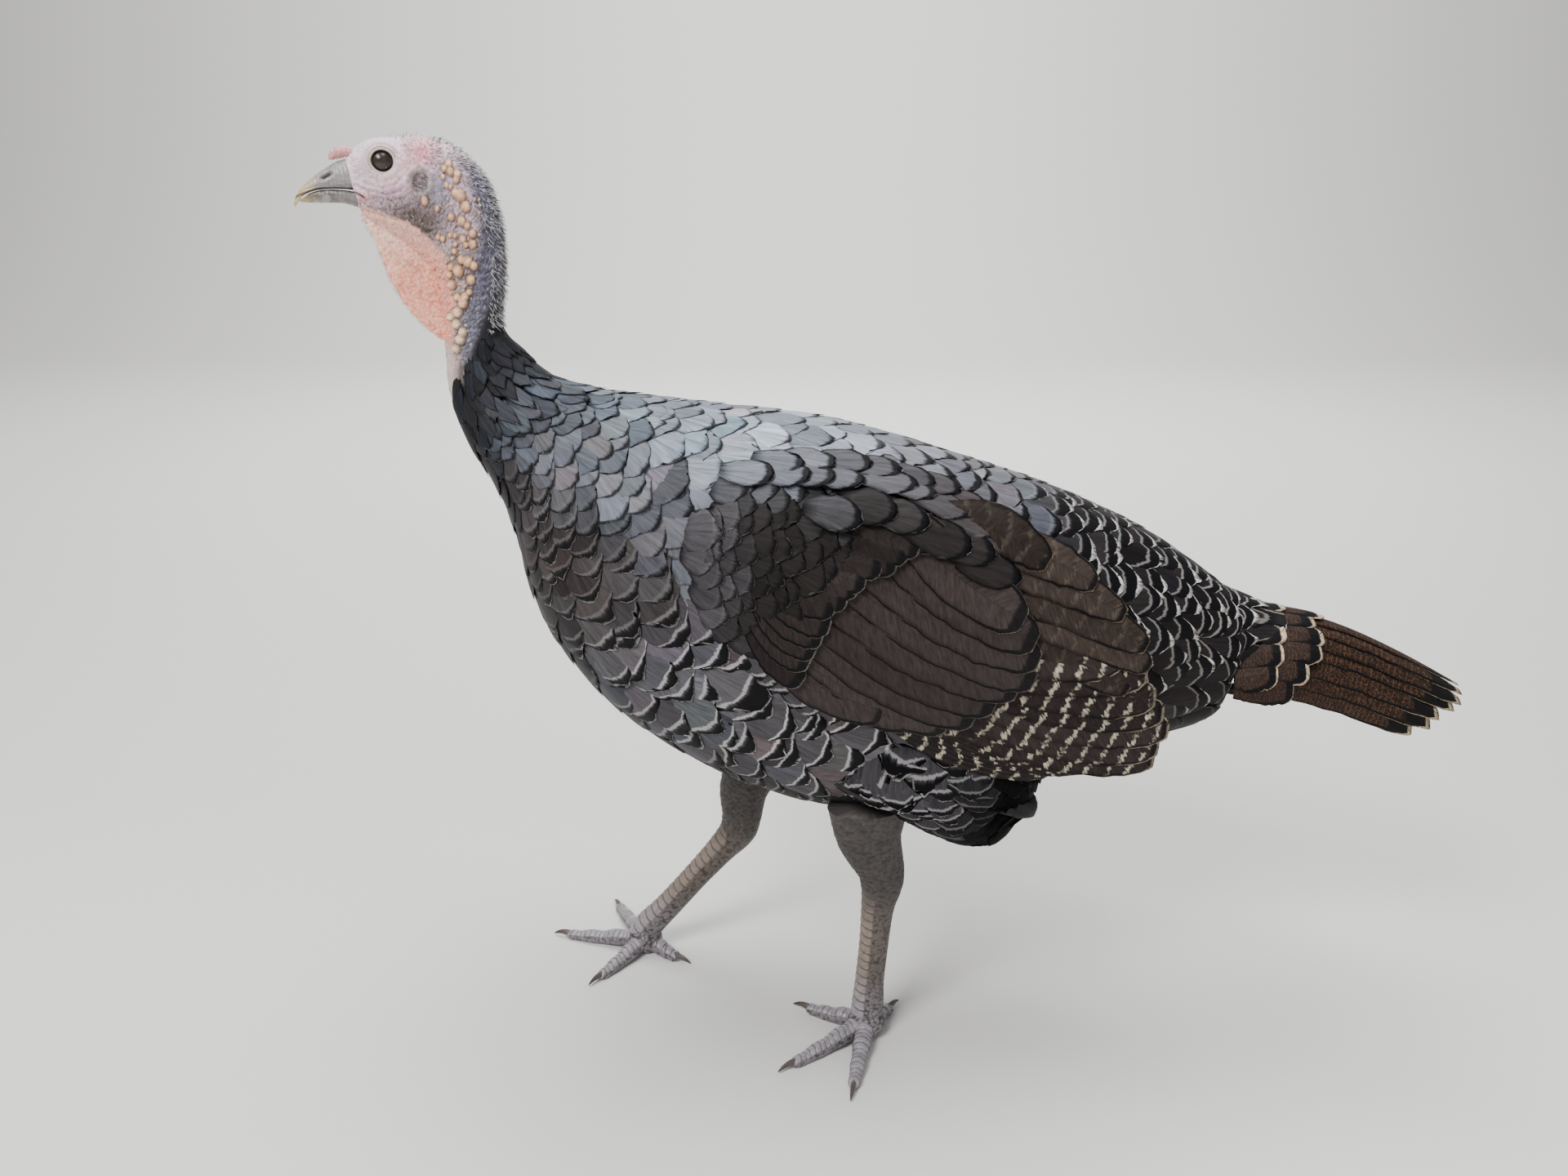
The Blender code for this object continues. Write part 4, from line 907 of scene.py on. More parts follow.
def marking_group():
    """Feather markings. Barbs are fine noise drawn out along lines that slant from the shaft,
    or on body feathers fan out from the root. A fringe, a dark band and a paler arc inside it
    follow the vane's edge, roughened by the barbs. Broken bars cross the vane from a random
    start, and flecks are broken noise."""
    n, given, out = new_group("feather markings", (
        ("Bar spacing", "Float", 9.0),
        ("Bar colour", "Color", (0.3, 0.26, 0.2, 1)),
        ("Fleck colour", "Color", (0.2, 0.12, 0.07, 1)),
        ("Shaft", "Float", 0.4),
        ("Arcs", "Float", 0.0),
    ))
    across, along, _ = n.parts(n.add("ShaderNodeUVMap", uv_map="Vane").outputs[0])
    edge = n.parts(n.add("ShaderNodeUVMap", uv_map="Rim").outputs[0])[0]
    ground, fringe, bands, flecks = map(n.attribute, ("ground", "fringe", "bands", "flecks"))
    fringe_mm, band_mm, band_strength = n.parts(bands["Color"], "ShaderNodeSeparateColor")
    gloss, bars, chance, arcs = bands["Alpha"], ground["Alpha"], fringe["Alpha"], given["Arcs"]

    # barbs, as noise by (across the barbs, along a barb, feather)
    from_shaft = n.math("ABSOLUTE", across)
    slant = n.math("MULTIPLY_ADD", from_shaft, -0.85, along)
    fan = n.times(n.math("DIVIDE", across, n.math("ADD", along, 9.0)), 30.0)
    line = n.math("MULTIPLY_ADD", n.math("SUBTRACT", fan, slant), arcs, slant)
    drawn = n.math("MULTIPLY_ADD", n.math("SUBTRACT", along, across), arcs, across)
    fine_barbs = n.noise(n.place((line, 1.7), (drawn, 0.16), (chance, 60.0)), 1.0, 3.0, 0.6)
    strand = n.noise(n.place((line, 0.62), (drawn, 0.06), (chance, 75.0)), 1.0, 2.0, 0.6)
    barbs = n.vary(fine_barbs, strand, 0.9)
    wander = n.noise(n.place((line, 0.35), (across, 0.2), (chance, 90.0)), 1.0)

    # fringe, band and arc, by the distance inside the rim
    rough_edge = n.vary(n.vary(edge, barbs, 2.4), wander, 1.2)
    outside = n.math("SUBTRACT", rough_edge, fringe_mm)
    in_fringe = n.times(
        n.rest(n.step(outside, -0.9, 0.6)), n.step(wander, 0.18, 0.38), n.step(barbs, 0.2, 0.5))
    off_arc = n.math("SUBTRACT", outside, n.math("ADD", band_mm, 1.5))
    arc = n.times(n.rest(n.step(n.math("ABSOLUTE", off_arc), 0.5, 1.5)), bars, arcs)
    in_band = n.times(
        n.rest(n.step(n.math("SUBTRACT", outside, band_mm), -1.8, 1.2)), band_strength)

    # bars and flecks
    bowed = n.math("MULTIPLY_ADD", from_shaft, 0.25, along)
    wave = n.math("DIVIDE", bowed, given["Bar spacing"])
    wave = n.math("MULTIPLY_ADD", wander, 0.6, n.math("MULTIPLY_ADD", chance, 3.0, wave))
    wave = n.math("SINE", n.times(wave, 2 * pi))
    kept = n.noise(n.place((along, 0.12), (across, 0.2), (chance, 45.0)), 1.0)
    barred = n.times(
        n.step(n.math("MULTIPLY_ADD", barbs, 1.1, wave), 1.12, 1.6), n.step(kept, 0.34, 0.52),
        bars, n.rest(arcs))
    speckle = n.noise(n.place((along, 0.9), (across, 0.6), (chance, 30.0)), 1.0, 3.0, 0.7)
    flecked = n.times(n.step(speckle, 0.52, 0.66), n.math("POWER", flecks["Color"], 2.0), 0.8)

    # colours laid over one another
    body = n.mix(flecked, ground["Color"], given["Fleck colour"])
    body = n.mix(barred, body, given["Bar colour"])
    # The body colour's tone follows the barbs and a broad noise along each feather. That broad brightening
    # and darkening varies at random and stands in for painted sheen.
    tone = n.math("MULTIPLY_ADD", barbs, 0.9, n.times(wander, 1.1))
    body = n.mix(in_band, n.scaled(body, tone), (0.005, 0.005, 0.006))
    body = n.mix(n.times(arc, 0.55), body, fringe["Color"])
    pale = n.scaled(fringe["Color"], n.math("MULTIPLY_ADD", barbs, 2.8, -0.5, clamp=True))
    body = n.mix(in_fringe, body, pale)
    on_shaft = n.times(n.rest(n.step(from_shaft, 0.15, 0.5)), given["Shaft"])
    body = n.mix(n.times(on_shaft, 0.5), body, (0.02, 0.015, 0.012))
    n.feed(body, out["Colour"])
    rough = n.math("MULTIPLY_ADD", gloss, -0.16, 0.52)
    n.feed(n.math("MULTIPLY_ADD", barbs, 0.12, rough), out["Roughness"])
    n.feed(n.math("ADD", barbs, n.times(on_shaft, 0.8)), out["Relief"])


def flesh_group():
    """Flesh: the piece's own tint, mottled by two noises, with pores as relief."""
    n, given, out = new_group("flesh", (("Grain", "Float", 900.0), ("Mottle", "Float", 0.25)))
    where = n.add("ShaderNodeTexCoord").outputs["Object"]
    tint = n.attribute("tint")
    fine = n.noise(where, given["Grain"], 4.0)
    tone = n.vary(n.vary(1.0, fine, given["Mottle"]), n.noise(where, 160.0, 3.0), 0.35)
    n.feed(n.scaled(tint["Color"], tone), out["Colour"])
    n.feed(n.math("MULTIPLY_ADD", fine, 0.25, tint["Alpha"]), out["Roughness"])
    n.feed(fine, out["Relief"])


def new_material(name, constants):
    """A material, its nodes' maker and its shader, whose unlinked sockets are given."""
    made = bpy.data.materials.new(name)
    made.use_nodes = True
    shader = next(node for node in made.node_tree.nodes if node.type == "BSDF_PRINCIPLED")
    for key, value in constants.items():
        shader.inputs[key].default_value = value
    return made, Nodes(made.node_tree), shader


def group_material(name, group, values, constants, strength, distance):
    """A material whose colour, roughness and relief come from a node group."""
    _, n, shader = new_material(name, constants)
    inside = n.add("ShaderNodeGroup", node_tree=bpy.data.node_groups[group])
    for key, value in values.items():
        inside.inputs[key].default_value = value
    n.feed(inside.outputs["Colour"], shader.inputs["Base Color"])
    n.feed(inside.outputs["Roughness"], shader.inputs["Roughness"])
    bump = n.add("ShaderNodeBump", Strength=strength, Distance=distance)
    n.feed(inside.outputs["Relief"], bump.inputs["Height"])
    n.feed(bump.outputs[0], shader.inputs["Normal"])


# Feathers: name, spacing of bars in millimetres, colours of bars and flecks, shine, how much
# the shaft shows, relief, and 1 for body feathers with arcs and fanned barbs instead of bars.
FEATHER_LOOKS = (
    ("body feathers", 7.0, paint(150, 148, 146), paint(120, 84, 60), 0.07, 0.4, 0.35, 1.0),
    ("wing feathers", 13.0, paint(184, 174, 156), paint(88, 66, 52), 0.07, 0.8, 0.22, 0.0),
    ("tail feathers", 3.6, paint(84, 60, 42), paint(120, 84, 60), 0.09, 0.9, 0.3, 0.0),
    ("down", 9.0, paint(60, 58, 56), paint(50, 46, 42), 0.02, 0.0, 0.4, 1.0),
)
# Flesh and horn: name, scale of the pores, mottling, relief, light let in, wet coat and the
# roughness of that coat.
FLESH_LOOKS = (
    ("bare skin", 1500.0, 0.3, 0.25, 0.12, 0.0, 0.3),
    ("dewlap skin", 1300.0, 0.3, 0.3, 0.2, 0.0, 0.3),
    ("horn", 700.0, 0.15, 0.08, 0.0, 0.15, 0.3),
    ("scaly skin", 1600.0, 0.35, 0.2, 0.0, 0.1, 0.3),
    ("eye", 400.0, 0.05, 0.0, 0.0, 1.0, 0.02),
    ("bristle", 400.0, 0.1, 0.0, 0.0, 0.0, 0.3),
)


def feather_material(name, spacing, bars, flecks, shine, shaft, relief, arcs):
    """Feathers: the shared markings with this row's values."""
    values = {
        "Bar spacing": spacing, "Bar colour": (*bars, 1.0), "Fleck colour": (*flecks, 1.0),
        "Shaft": shaft, "Arcs": arcs,
    }
    constants = {"Specular IOR Level": shine}
    group_material(name, "feather markings", values, constants, relief, 0.4 * MM)


def flesh_material(name, grain, mottle, relief, subsurface, coat, coat_rough):
    """Flesh or horn: the shared flesh with this row's values."""
    constants = {"Coat Weight": coat, "Coat Roughness": coat_rough}
    if subsurface:
        constants |= {
            "Subsurface Weight": subsurface, "Subsurface Radius": (1.0, 0.35, 0.2),
            "Subsurface Scale": 2.0 * MM,
        }
    values = {"Grain": grain, "Mottle": mottle}
    group_material(name, "flesh", values, constants, relief, 0.5 * MM)


# the head and neck's skin

CREASES = (
    ((60, 613), (50, 610), (42, 612), (34, 620)),
    ((58, 609), (48, 606), (40, 608), (33, 614)),
    ((56, 605), (46, 602.5), (38, 604), (32, 608)),
    ((66, 612), (60, 609), (57, 606)),
    ((60, 600), (48, 597), (38, 598), (28, 604)),
)
JAW_LINE = ((67, 599), (56, 595.5), (44, 592), (34, 587), (24, 584))
NAPE_BAND = (
    (4, 632), (-4, 622), (-9, 608), (-12, 592), (-10, 575), (-4, 560), (0, 545), (5, 530),
    (8, 515), (10, 502),
)
# The nape's outline as heights, then how far ahead of the neck's axis it lies at each.
NAPE_LINE = ((500, 560, 592, 622, 632), (8, -4, -12, -4, 4))
EAR_LINE = ((27.2, 614.6), (28.2, 611.6))

# Caruncles seen on the side: (ahead, height, radius), from the crown down to the collar.
BULB_ROWS = (
    (10.0, 624.1, 1.9), (13.0, 621.0, 1.5), (9.3, 619.5, 1.9), (5.4, 618.0, 2.1), (6.2, 614.6, 1.6),
    (4.6, 605.5, 2.7), (7.6, 607.0, 2.0), (1.9, 599.0, 2.5), (11.0, 593.0, 1.8), (5.0, 590.6, 2.2),
    (2.0, 588.0, 1.8), (-1.0, 583.0, 2.0), (5.0, 580.0, 1.8), (9.7, 582.0, 1.3), (-0.6, 576.6, 2.1),
    (3.6, 576.4, 1.5), (9.8, 576.8, 1.3), (19.7, 581.4, 1.4), (17.0, 580.2, 1.5), (12.6, 582.0, 1.2),
    (7.0, 567.4, 2.0), (3.2, 566.2, 2.6), (-0.2, 563.6, 2.1), (9.3, 560.7, 2.7), (13.4, 563.0, 1.7),
    (10.6, 572.6, 1.5), (13.8, 552.0, 2.2), (2.2, 555.2, 2.3), (3.6, 547.6, 1.5), (6.3, 544.8, 2.0),
    (11.0, 544.4, 1.8), (8.0, 541.0, 2.6), (12.8, 527.6, 2.2), (9.6, 522.6, 2.1), (11.4, 518.0, 2.3),
    (14.6, 558.2, 1.5), (26.0, 602.4, 1.9), (19.0, 598.0, 1.4), (12.4, 611.4, 1.3), (14.0, 616.4, 1.3),
    (10.0, 610.6, 1.2), (11.4, 535.0, 2.4), (16.0, 532.0, 1.9), (14.5, 512.0, 2.0),
)


def bulb_table():
    """Caruncles as (ahead, height, radius, kind): those in the table, with their like on the far
    side, and small ones scattered ahead of them where there is room."""
    draw = np.random.default_rng(5)
    rows = [(row[0], row[1], row[2] * 1.2, 1 if row[1] < 540 else 0) for row in BULB_ROWS]
    tries = 0
    while len(rows) < len(BULB_ROWS) + 46 and tries < 2000:
        tries += 1
        at = spline(NAPE_BAND, draw.uniform(0.25, 0.95) * (len(NAPE_BAND) - 1))
        at = at + np.array((draw.uniform(2, 24), draw.normal()))
        radius = draw.uniform(0.6, 1.15)
        if all(np.hypot(*(at - r[:2])) > 1.25 * (radius + r[2]) for r in rows):
            rows.append((at[0], at[1], radius, 2))
    return np.array(rows)


BULBS = bulb_table()


def turned(at, centre, degrees):
    """2-D points as seen from a centre, along two axes that are turned by some degrees."""
    turn = radians(degrees)
    x, y = np.moveaxis(at - np.array(centre), -1, 0)
    return x * np.cos(turn) + y * np.sin(turn), -x * np.sin(turn) + y * np.cos(turn)


def dewlap_ground(up, looks):
    """The hanging fold's colour: its own below, mixed with a pale one in step with height
    towards the jaw."""
    pale = smooth(552, 594, up)[..., None] * 0.6
    return blend(looks.dewlap_colour, paint(250, 214, 198), pale)


def flesh_tint(at, out, looks):
    """The bare skin's colours by (ahead, height): one ground colour, then patches, each laid
    over the last by a bell or a band round a named place. Also tells where the dewlap is."""
    ahead, up = at[..., 0], at[..., 1]
    flat = np.stack([ahead, up, 0 * up], -1)
    tint = np.broadcast_to(np.array(looks.face_colour), (*at.shape[:-1], 3))

    def lay(colour, mask):
        """Lays a colour over the others by a mask."""
        nonlocal tint
        tint = blend(tint, colour, np.clip(mask, 0, 1)[..., None])

    def bell(centre, reach, tilt=0.0, power=2.0):
        """1 at a centre, falling to 0 beyond an oval reach, with steeper sides as the power
        grows: e to the power of minus the distance to that power."""
        a, b = turned(at, centre, tilt)
        apart = (a / reach[0]) ** 2 + (b / reach[1]) ** 2
        return np.exp(-(apart ** (power / 2)))

    lay(paint(206, 204, 214), bell((58, 634), (12, 6)))
    lay(paint(170, 160, 174), bell((61, 619), (7, 9)) * 0.55)
    lay(paint(176, 180, 196), bell((40, 640), (14, 4)) * 0.7)
    lay(paint(128, 132, 158), bell((17, 610), (10, 15), 10) * 0.9)
    lay(paint(138, 130, 130), bell((27, 599), (17, 10), 20) * 0.75)
    lay(paint(116, 102, 96), smooth(600, 588, up) * smooth(16, 26, ahead) * 0.85)
    red_cells, _ = grains(flat, 2.1, 3.0)
    patch = bell((25, 631), (11, 9.5), -25, 3.0)
    lay(paint(206, 112, 122), patch * 0.85)
    lay(paint(238, 192, 192), patch * smooth(0.55, 0.2, red_cells))
    lay(paint(204, 140, 176), bell((42, 609), (10, 3.6), -10) * 0.55)
    lay(paint(214, 150, 160), bell((33, 620), (8, 3), 55) * 0.7)
    ear, _ = off_line(at, EAR_LINE)
    lay(paint(150, 140, 136), smooth(9.0, 7.0, ear) * 0.85)
    # The ear's hollow is darkened towards its middle: painted shade.
    lay(paint(88, 82, 80), smooth(5.6, 3.6, ear) * 0.8)
    lay(paint(226, 160, 150), bell((60.5, 604.5), (4.5, 3.5)) * 0.8)
    veins = swell(np.stack([ahead, up, 0.3 * np.abs(out)], -1), 7.0, 33)
    lay(paint(168, 132, 160), hump(veins, 0.15, 0.14) * 0.35)
    lay(paint(220, 176, 178), hump(veins, -0.45, 0.16) * 0.35)
    eye = np.linalg.norm(at - np.array(EYE_AT), axis=-1)
    lay(paint(190, 172, 172), smooth(11.5, 9.0, eye) * 0.7)
    lay(paint(222, 178, 176), hump(eye, 11.6, 1.2) * smooth(626, 618, up) * 0.7)
    # A darker purple line laid along each crease's groove: painted shade.
    for line in CREASES:
        away, _ = off_line(at, line)
        lay(paint(168, 112, 140), hump(away, 0, 0.7) * 0.5)
    # A dark brown band along the jaw's groove: painted shade.
    jaw, _ = off_line(at, JAW_LINE)
    lay(paint(104, 84, 78), hump(jaw, 0, 1.8) * 0.75)
    # A near-black line along the gape's groove: painted shade.
    mouth, _ = off_line(at, ((72, 608.8), (66, 607.2), (60.8, 604.6)))
    lay(paint(60, 38, 36), hump(mouth, 0, 0.8) * 0.9)

    nape, _ = off_line(at, NAPE_BAND)
    off_nape = ahead - np.interp(up, *NAPE_LINE)
    behind = np.maximum(smooth(8, 1, nape), smooth(4, -2, off_nape)) * smooth(636, 620, up)
    front = smooth(0, 9, nape) * (1 - smooth(6, -4, off_nape))
    lay(paint(78, 80, 98), behind * 0.92)
    fold_from = np.interp(up, (515, 541, 570, 581, 590, 601), (16, 12.5, 16.5, 26, 36, 66))
    folded = smooth(-1.5, 1.0, ahead - fold_from + 1.2 * swell(flat, 6.0, 5))
    throat = smooth(586, 566, up) * front
    lay(paint(198, 172, 160), throat * 0.8)
    low_neck = smooth(552, 530, up) * smooth(4, 12, nape) * (1 - smooth(6, -4, off_nape))
    lay(paint(214, 198, 190), low_neck * 0.8)
    lay(paint(84, 84, 92), smooth(560, 530, up) * smooth(10, 0, ahead) * 0.9)
    near_bulbs = smooth(13, 3, nape) * smooth(626, 610, up) * smooth(500, 520, up)
    lay(paint(104, 102, 122), near_bulbs * 0.7)
    lay(paint(92, 77, 71), bell((32, 593), (25, 9.5), 18) * 0.92)
    spots, label = grains(flat, 1.5, 8.0)
    speckled = smooth(606, 590, up) * smooth(0.35, 0.15, spots)
    lay(paint(232, 220, 208), speckled * 0.7 * (label > 0.45))
    between = smooth(0.35, 0.7, spots) * (1 - folded)
    lay(paint(108, 96, 98), throat * between * 0.6)
    dewlap = folded * smooth(603, 598, up)
    lay(dewlap_ground(up, looks), dewlap * smooth(508, 520, up) * 0.9)
    return tint, dewlap


def flesh_height(points, at, out):
    """How far the skin stands off the loft, in metres: folds, creases, lids' bed, ear cup,
    lips, granules and caruncles, each a bell, a band or a dome round a named place. Then which
    kind of caruncle is there, how deep in a crevice the place lies, which the skin's colour
    darkens as painted shade, and how near a caruncle's crest, where it is painted lighter."""
    out = np.abs(out)
    ahead, up = at[..., 0], at[..., 1]

    # eye, ear, creases, jaw and mouth
    height = 0.22 * MM * swell(points, 9 * MM, 2)
    eye = np.linalg.norm(at - np.array(EYE_AT), axis=-1)
    sideways = smooth(7.5, 11.0, out)
    height -= 6.0 * MM * smooth(7.0, 4.6, eye) * sideways
    height += 0.9 * MM * hump(eye, 9.4, 1.9) * sideways
    height += 0.16 * MM * np.sin(eye * 2 * pi / 1.5) * hump(eye, 10.2, 2.4) * sideways
    height += 1.1 * MM * hump(ahead, 47, 13) * hump(up, 635.5, 3.2)
    height -= 1.2 * MM * hump(ahead, 63, 5) * hump(up, 617, 5)
    ear, _ = off_line(at, EAR_LINE)
    height += (0.9 * hump(ear, 6.6, 1.6) - 1.6 * smooth(5.4, 2.2, ear)) * MM * sideways
    for line in CREASES:
        away, share = off_line(at, line)
        strong = np.sin(pi * np.clip(share, 0.02, 0.98)) ** 0.5
        height += (0.35 * hump(away, 1.5, 0.9) - 0.55 * hump(away, 0, 0.55)) * strong * MM
    jaw, _ = off_line(at, JAW_LINE)
    height += (0.7 * hump(jaw, 2.4, 1.4) - 0.9 * hump(jaw, 0, 0.9)) * MM
    mouth, _ = off_line(at, ((74, 609.6), (66, 607.0), (60.5, 604.4)))
    height += (0.9 * hump(mouth, 1.7, 1.0) - 1.9 * hump(mouth, 0, 0.6)) * MM
    height += 1.3 * MM * hump(np.linalg.norm(at - np.array((60.0, 604.2)), axis=-1), 0, 2.4)

    # granules and folds
    red = np.exp(-((((ahead - 25) / 12) ** 2 + ((up - 631) / 9.5) ** 2) ** 1.5))
    coarse, _ = grains(points, 2.1 * MM, 3.0)
    height += 0.55 * MM * red * smooth(0.75, 0.1, coarse)
    low = smooth(612, 596, up) + 0.25
    fine, _ = grains(points, 1.7 * MM, 8.0)
    height += 0.42 * MM * np.clip(low, 0, 1) * smooth(0.7, 0.1, fine) * (1 - red)
    finer, _ = grains(points, 0.95 * MM, 4.0)
    height += 0.24 * MM * smooth(0.7, 0.15, finer)
    flattened = swell(points * np.array((1.0, 1.0, 2.2)), 6 * MM, 31)
    height += 0.3 * MM * flattened * smooth(640, 625, up)
    folds = np.sin(up * 2 * pi / 5.2 + 2.2 * swell(points, 22 * MM, 4))
    height += 0.3 * MM * folds * smooth(592, 570, up)

    # caruncles
    bulb, moat, crest, colour = (np.zeros(at.shape[:-1]) for _ in range(4))
    reach = smooth(3.0, 6.0, out)
    for bulb_ahead, bulb_up, radius, kind in BULBS:
        apart = np.hypot(ahead - bulb_ahead, (up - bulb_up) * 0.85) / radius
        inside = np.clip(1 - apart**2, 0, 1)
        bulb = np.maximum(bulb, np.sqrt(inside) * radius * 0.95 * MM * reach)
        crest = np.maximum(crest, inside)
        moat = np.maximum(moat, hump(apart, 1.1, 0.22) * reach)
        colour = np.maximum(colour, (kind + 1.0) * (apart < 1.04) * (reach > 0.4))
    off_bulb = bulb <= 0
    # How deep the skin lies between granules or in a caruncle's moat. The skin's colour is darkened there
    # as painted shade.
    crevice = smooth(0.35, 0.75, fine) * 0.55 * np.clip(low + red, 0, 1)
    crevice = crevice + smooth(0.35, 0.75, finer) * (0.22 + 0.3 * np.clip(low, 0, 1))
    crevice = np.maximum(crevice, moat) * off_bulb
    wrinkled = 1 + 0.12 * swell(points, 2.2 * MM, 9)
    height = height + bulb * wrinkled - 0.3 * MM * moat * off_bulb
    return height, colour, crevice, crest


def skin_spots(station, angle):
    """Places in the skin's baking map."""
    return np.stack([station / TAIL_ROOT, (angle % (2 * pi)) / (2 * pi)], -1) * 0.98 + 0.01


def coat_depth(station, depth):
    """How deep the skin lies under the coat's tips: nothing on the bare head and upper neck."""
    return depth * smooth(13.6, 19.5, station)


def skin_piece(looks, coat):
    """One skin from the bill's root to the tail's root: the loft, less the coat's depth, plus
    the flesh's height along the normal."""
    rows = np.concatenate([
        np.linspace(0, NECK_BASE, 240)[:-1],
        np.linspace(NECK_BASE, COLLAR, 130)[:-1],
        np.linspace(COLLAR, TAIL_ROOT, 70),
    ])
    station, angle = np.meshgrid(rows, full_circle(208), indexing="ij")
    points = body_point(station, angle)
    along, around = slopes(body_point, station, angle, 0.01, 0.01)
    normal = unit(np.cross(along, around))
    normal *= np.sign((normal * (points - points.mean(1, keepdims=True))).sum())
    at, out = head_place(points)
    start = coat_start(angle) + 0.25 * swell(points, 9 * MM, 21)
    bare = smooth(start + 1.3, start + 0.1, station)
    height, colour, crevice, crest = flesh_height(points, at, out)
    off_loft = height * bare * smooth(0.0, 0.6, station) - coat_depth(station, coat.depth)
    points = points + normal * off_loft[..., None]
    tint, dewlap = flesh_tint(at, out, looks)
    # Darker in the crevices between granules and in the moats round the caruncles: painted shade.
    tint = tint * (1.22 - 0.12 * dewlap - (0.86 - 0.5 * dewlap) * crevice)[..., None]
    kinds = looks.caruncle_colour, paint(226, 190, 158), paint(220, 184, 164)
    # Each caruncle is painted darker at its base and lighter towards its crest, with a pale painted
    # highlight on top: painted shade and highlight.
    for kind, bulb in enumerate(kinds, 1):
        shade = (0.5 + 0.75 * crest + 0.16 * swell(points, 5 * MM, 40 + kind))[..., None]
        bulb = blend(np.array(bulb) * shade, paint(246, 226, 204), crest[..., None] ** 2 * 0.3)
        tint = np.where(((colour == kind) & (bare > 0.5))[..., None], bulb, tint)
    marks = zone_marks(station.ravel(), wrapped(angle).ravel(), 4)
    # Under the coat the skin takes the feathers' own colours, darkened to 0.4 as painted shade beneath the
    # feathers.
    under = marks["ground"][:, :3].reshape(*station.shape, 3) * 0.4
    tint = blend(tint, under, (1 - bare)[..., None])
    build(
        "skin", closed_tube(points), "bare skin",
        ("head", "neck_upper", "neck_lower", "torso"), tints={"tint": tube_tint(tint, 0.42)})


# bill, eyes, dewlap and snood


def plane_loft(rows, steps, count, widest):
    """A closed loft on the head's middle plane: ovals from upper to lower point, each widest at
    a given share of the way down."""
    here = spline(np.array(rows, float), np.linspace(0, len(rows) - 1, steps))
    top = plane_point(here[:, 0] * MM, here[:, 1] * MM)[:, None]
    bottom = plane_point(here[:, 2] * MM, here[:, 3] * MM)[:, None]
    angle = full_circle(count)[None, :, None]
    middle = top + widest * (bottom - top)
    up = np.cos(angle)
    rise = np.where(up > 0, up * (top - middle), -up * (bottom - middle))
    return middle + rise + np.sin(angle) * here[:, None, 4:5] * MM * plane_side()


def outward(grid):
    """Unit normals of a grid of rings, turned away from each ring's middle."""
    along = np.gradient(grid, axis=0)
    around = np.roll(grid, -1, 1) - np.roll(grid, 1, 1)
    normal = unit(np.cross(along, around))
    away = grid - grid.mean(1, keepdims=True)
    return normal * np.sign((normal * away).sum())


def bill_piece(looks):
    """Upper and lower bill: ovals along two curves, with a nostril's slit under its flap, a
    groove along the cutting edge and growth lines, as bells and bands on the surface."""
    parts, tints = [], []
    for rows, widest in ((UPPER_BILL, 0.8), (LOWER_BILL, 0.22)):
        grid = plane_loft(rows, 120, 96, widest)
        at, out = head_place(grid)
        ahead = at[..., 0]
        a, b = turned(at, (81.6, 617.0), -30)
        height = np.zeros(at.shape[:-1])
        upper = rows is UPPER_BILL
        if upper:
            height -= 1.8 * MM * np.exp(-((a / 3.6) ** 4 + ((b + 0.2) / 0.95) ** 4))
            height += 0.6 * MM * hump(a, 0, 4.4) * hump(b, 1.5, 1.0)
            height += 0.35 * MM * hump(ahead, 72, 4)
            height += 0.5 * MM * hump(a, 1, 6.0) * hump(b, -3.2, 1.6)
        edge = 609.4 - np.maximum(ahead - 84, 0) ** 1.5 * 0.07
        near = np.abs(at[..., 1] - edge)
        height -= 0.3 * MM * hump(near, 1.8, 0.6)
        height += 0.10 * MM * np.sin(ahead * 2 * pi / 2.3 + out) * smooth(96, 86, ahead)
        height += 0.12 * MM * swell(grid, 5 * MM, 11)
        height *= smooth(0.2, 1.6, near)
        grid = grid + outward(grid) * height[..., None]
        tip = smooth(84, 97, ahead + swell(grid, 9 * MM, 12) * 2.0)[..., None]
        tint = blend(looks.horn_colour, looks.bill_tip_colour, tip)
        streak = hump(swell(grid * np.array((0.3, 0.3, 1.6)), 6 * MM, 13), 0.1, 0.22)
        tint = tint * (1 + 0.22 * (streak[..., None] - 0.5))
        if not upper:
            stain = smooth(-0.3, 0.5, swell(grid, 10 * MM, 14))[..., None]
            tint = tint * (0.78 - 0.3 * stain * np.array((0.8, 1.0, 1.1)))
        pale = smooth(0.2, 0.9, swell(grid, 14 * MM, 15))[..., None] * 0.35 * (1 - tip)
        tint = blend(tint, paint(206, 204, 208), pale)
        # A dark line along the groove of the cutting edge and in the nostril's slit: painted shade.
        dark = hump(near, 0.1, 0.75) * 0.85
        if upper:
            slit = np.exp(-((a / 3.4) ** 4 + ((b + 0.2) / 0.9) ** 4))
            dark = np.maximum(dark, 0.95 * slit)
        tint = blend(tint, paint(48, 38, 34), dark[..., None])
        parts.append(closed_tube(grid))
        tints.append(tube_tint(tint, 0.28))
    build("bill", join(parts), "horn", ("beak_upper", "beak_lower"),
          tints={"tint": np.concatenate(tints)})


def eye_frame(word):
    """The eyeball's middle, and the directions ahead, up and out of the turned head."""
    turn = radians(TURN_DEG)
    ahead, up = np.array((-np.cos(turn), -np.sin(turn), 0)), np.array((0, 0, 1))
    out = plane_side() * -SIDE_OF[word]
    return plane_point(EYE_AT[0] * MM, EYE_AT[1] * MM) + out * EYE_SIDE, ahead, up, out


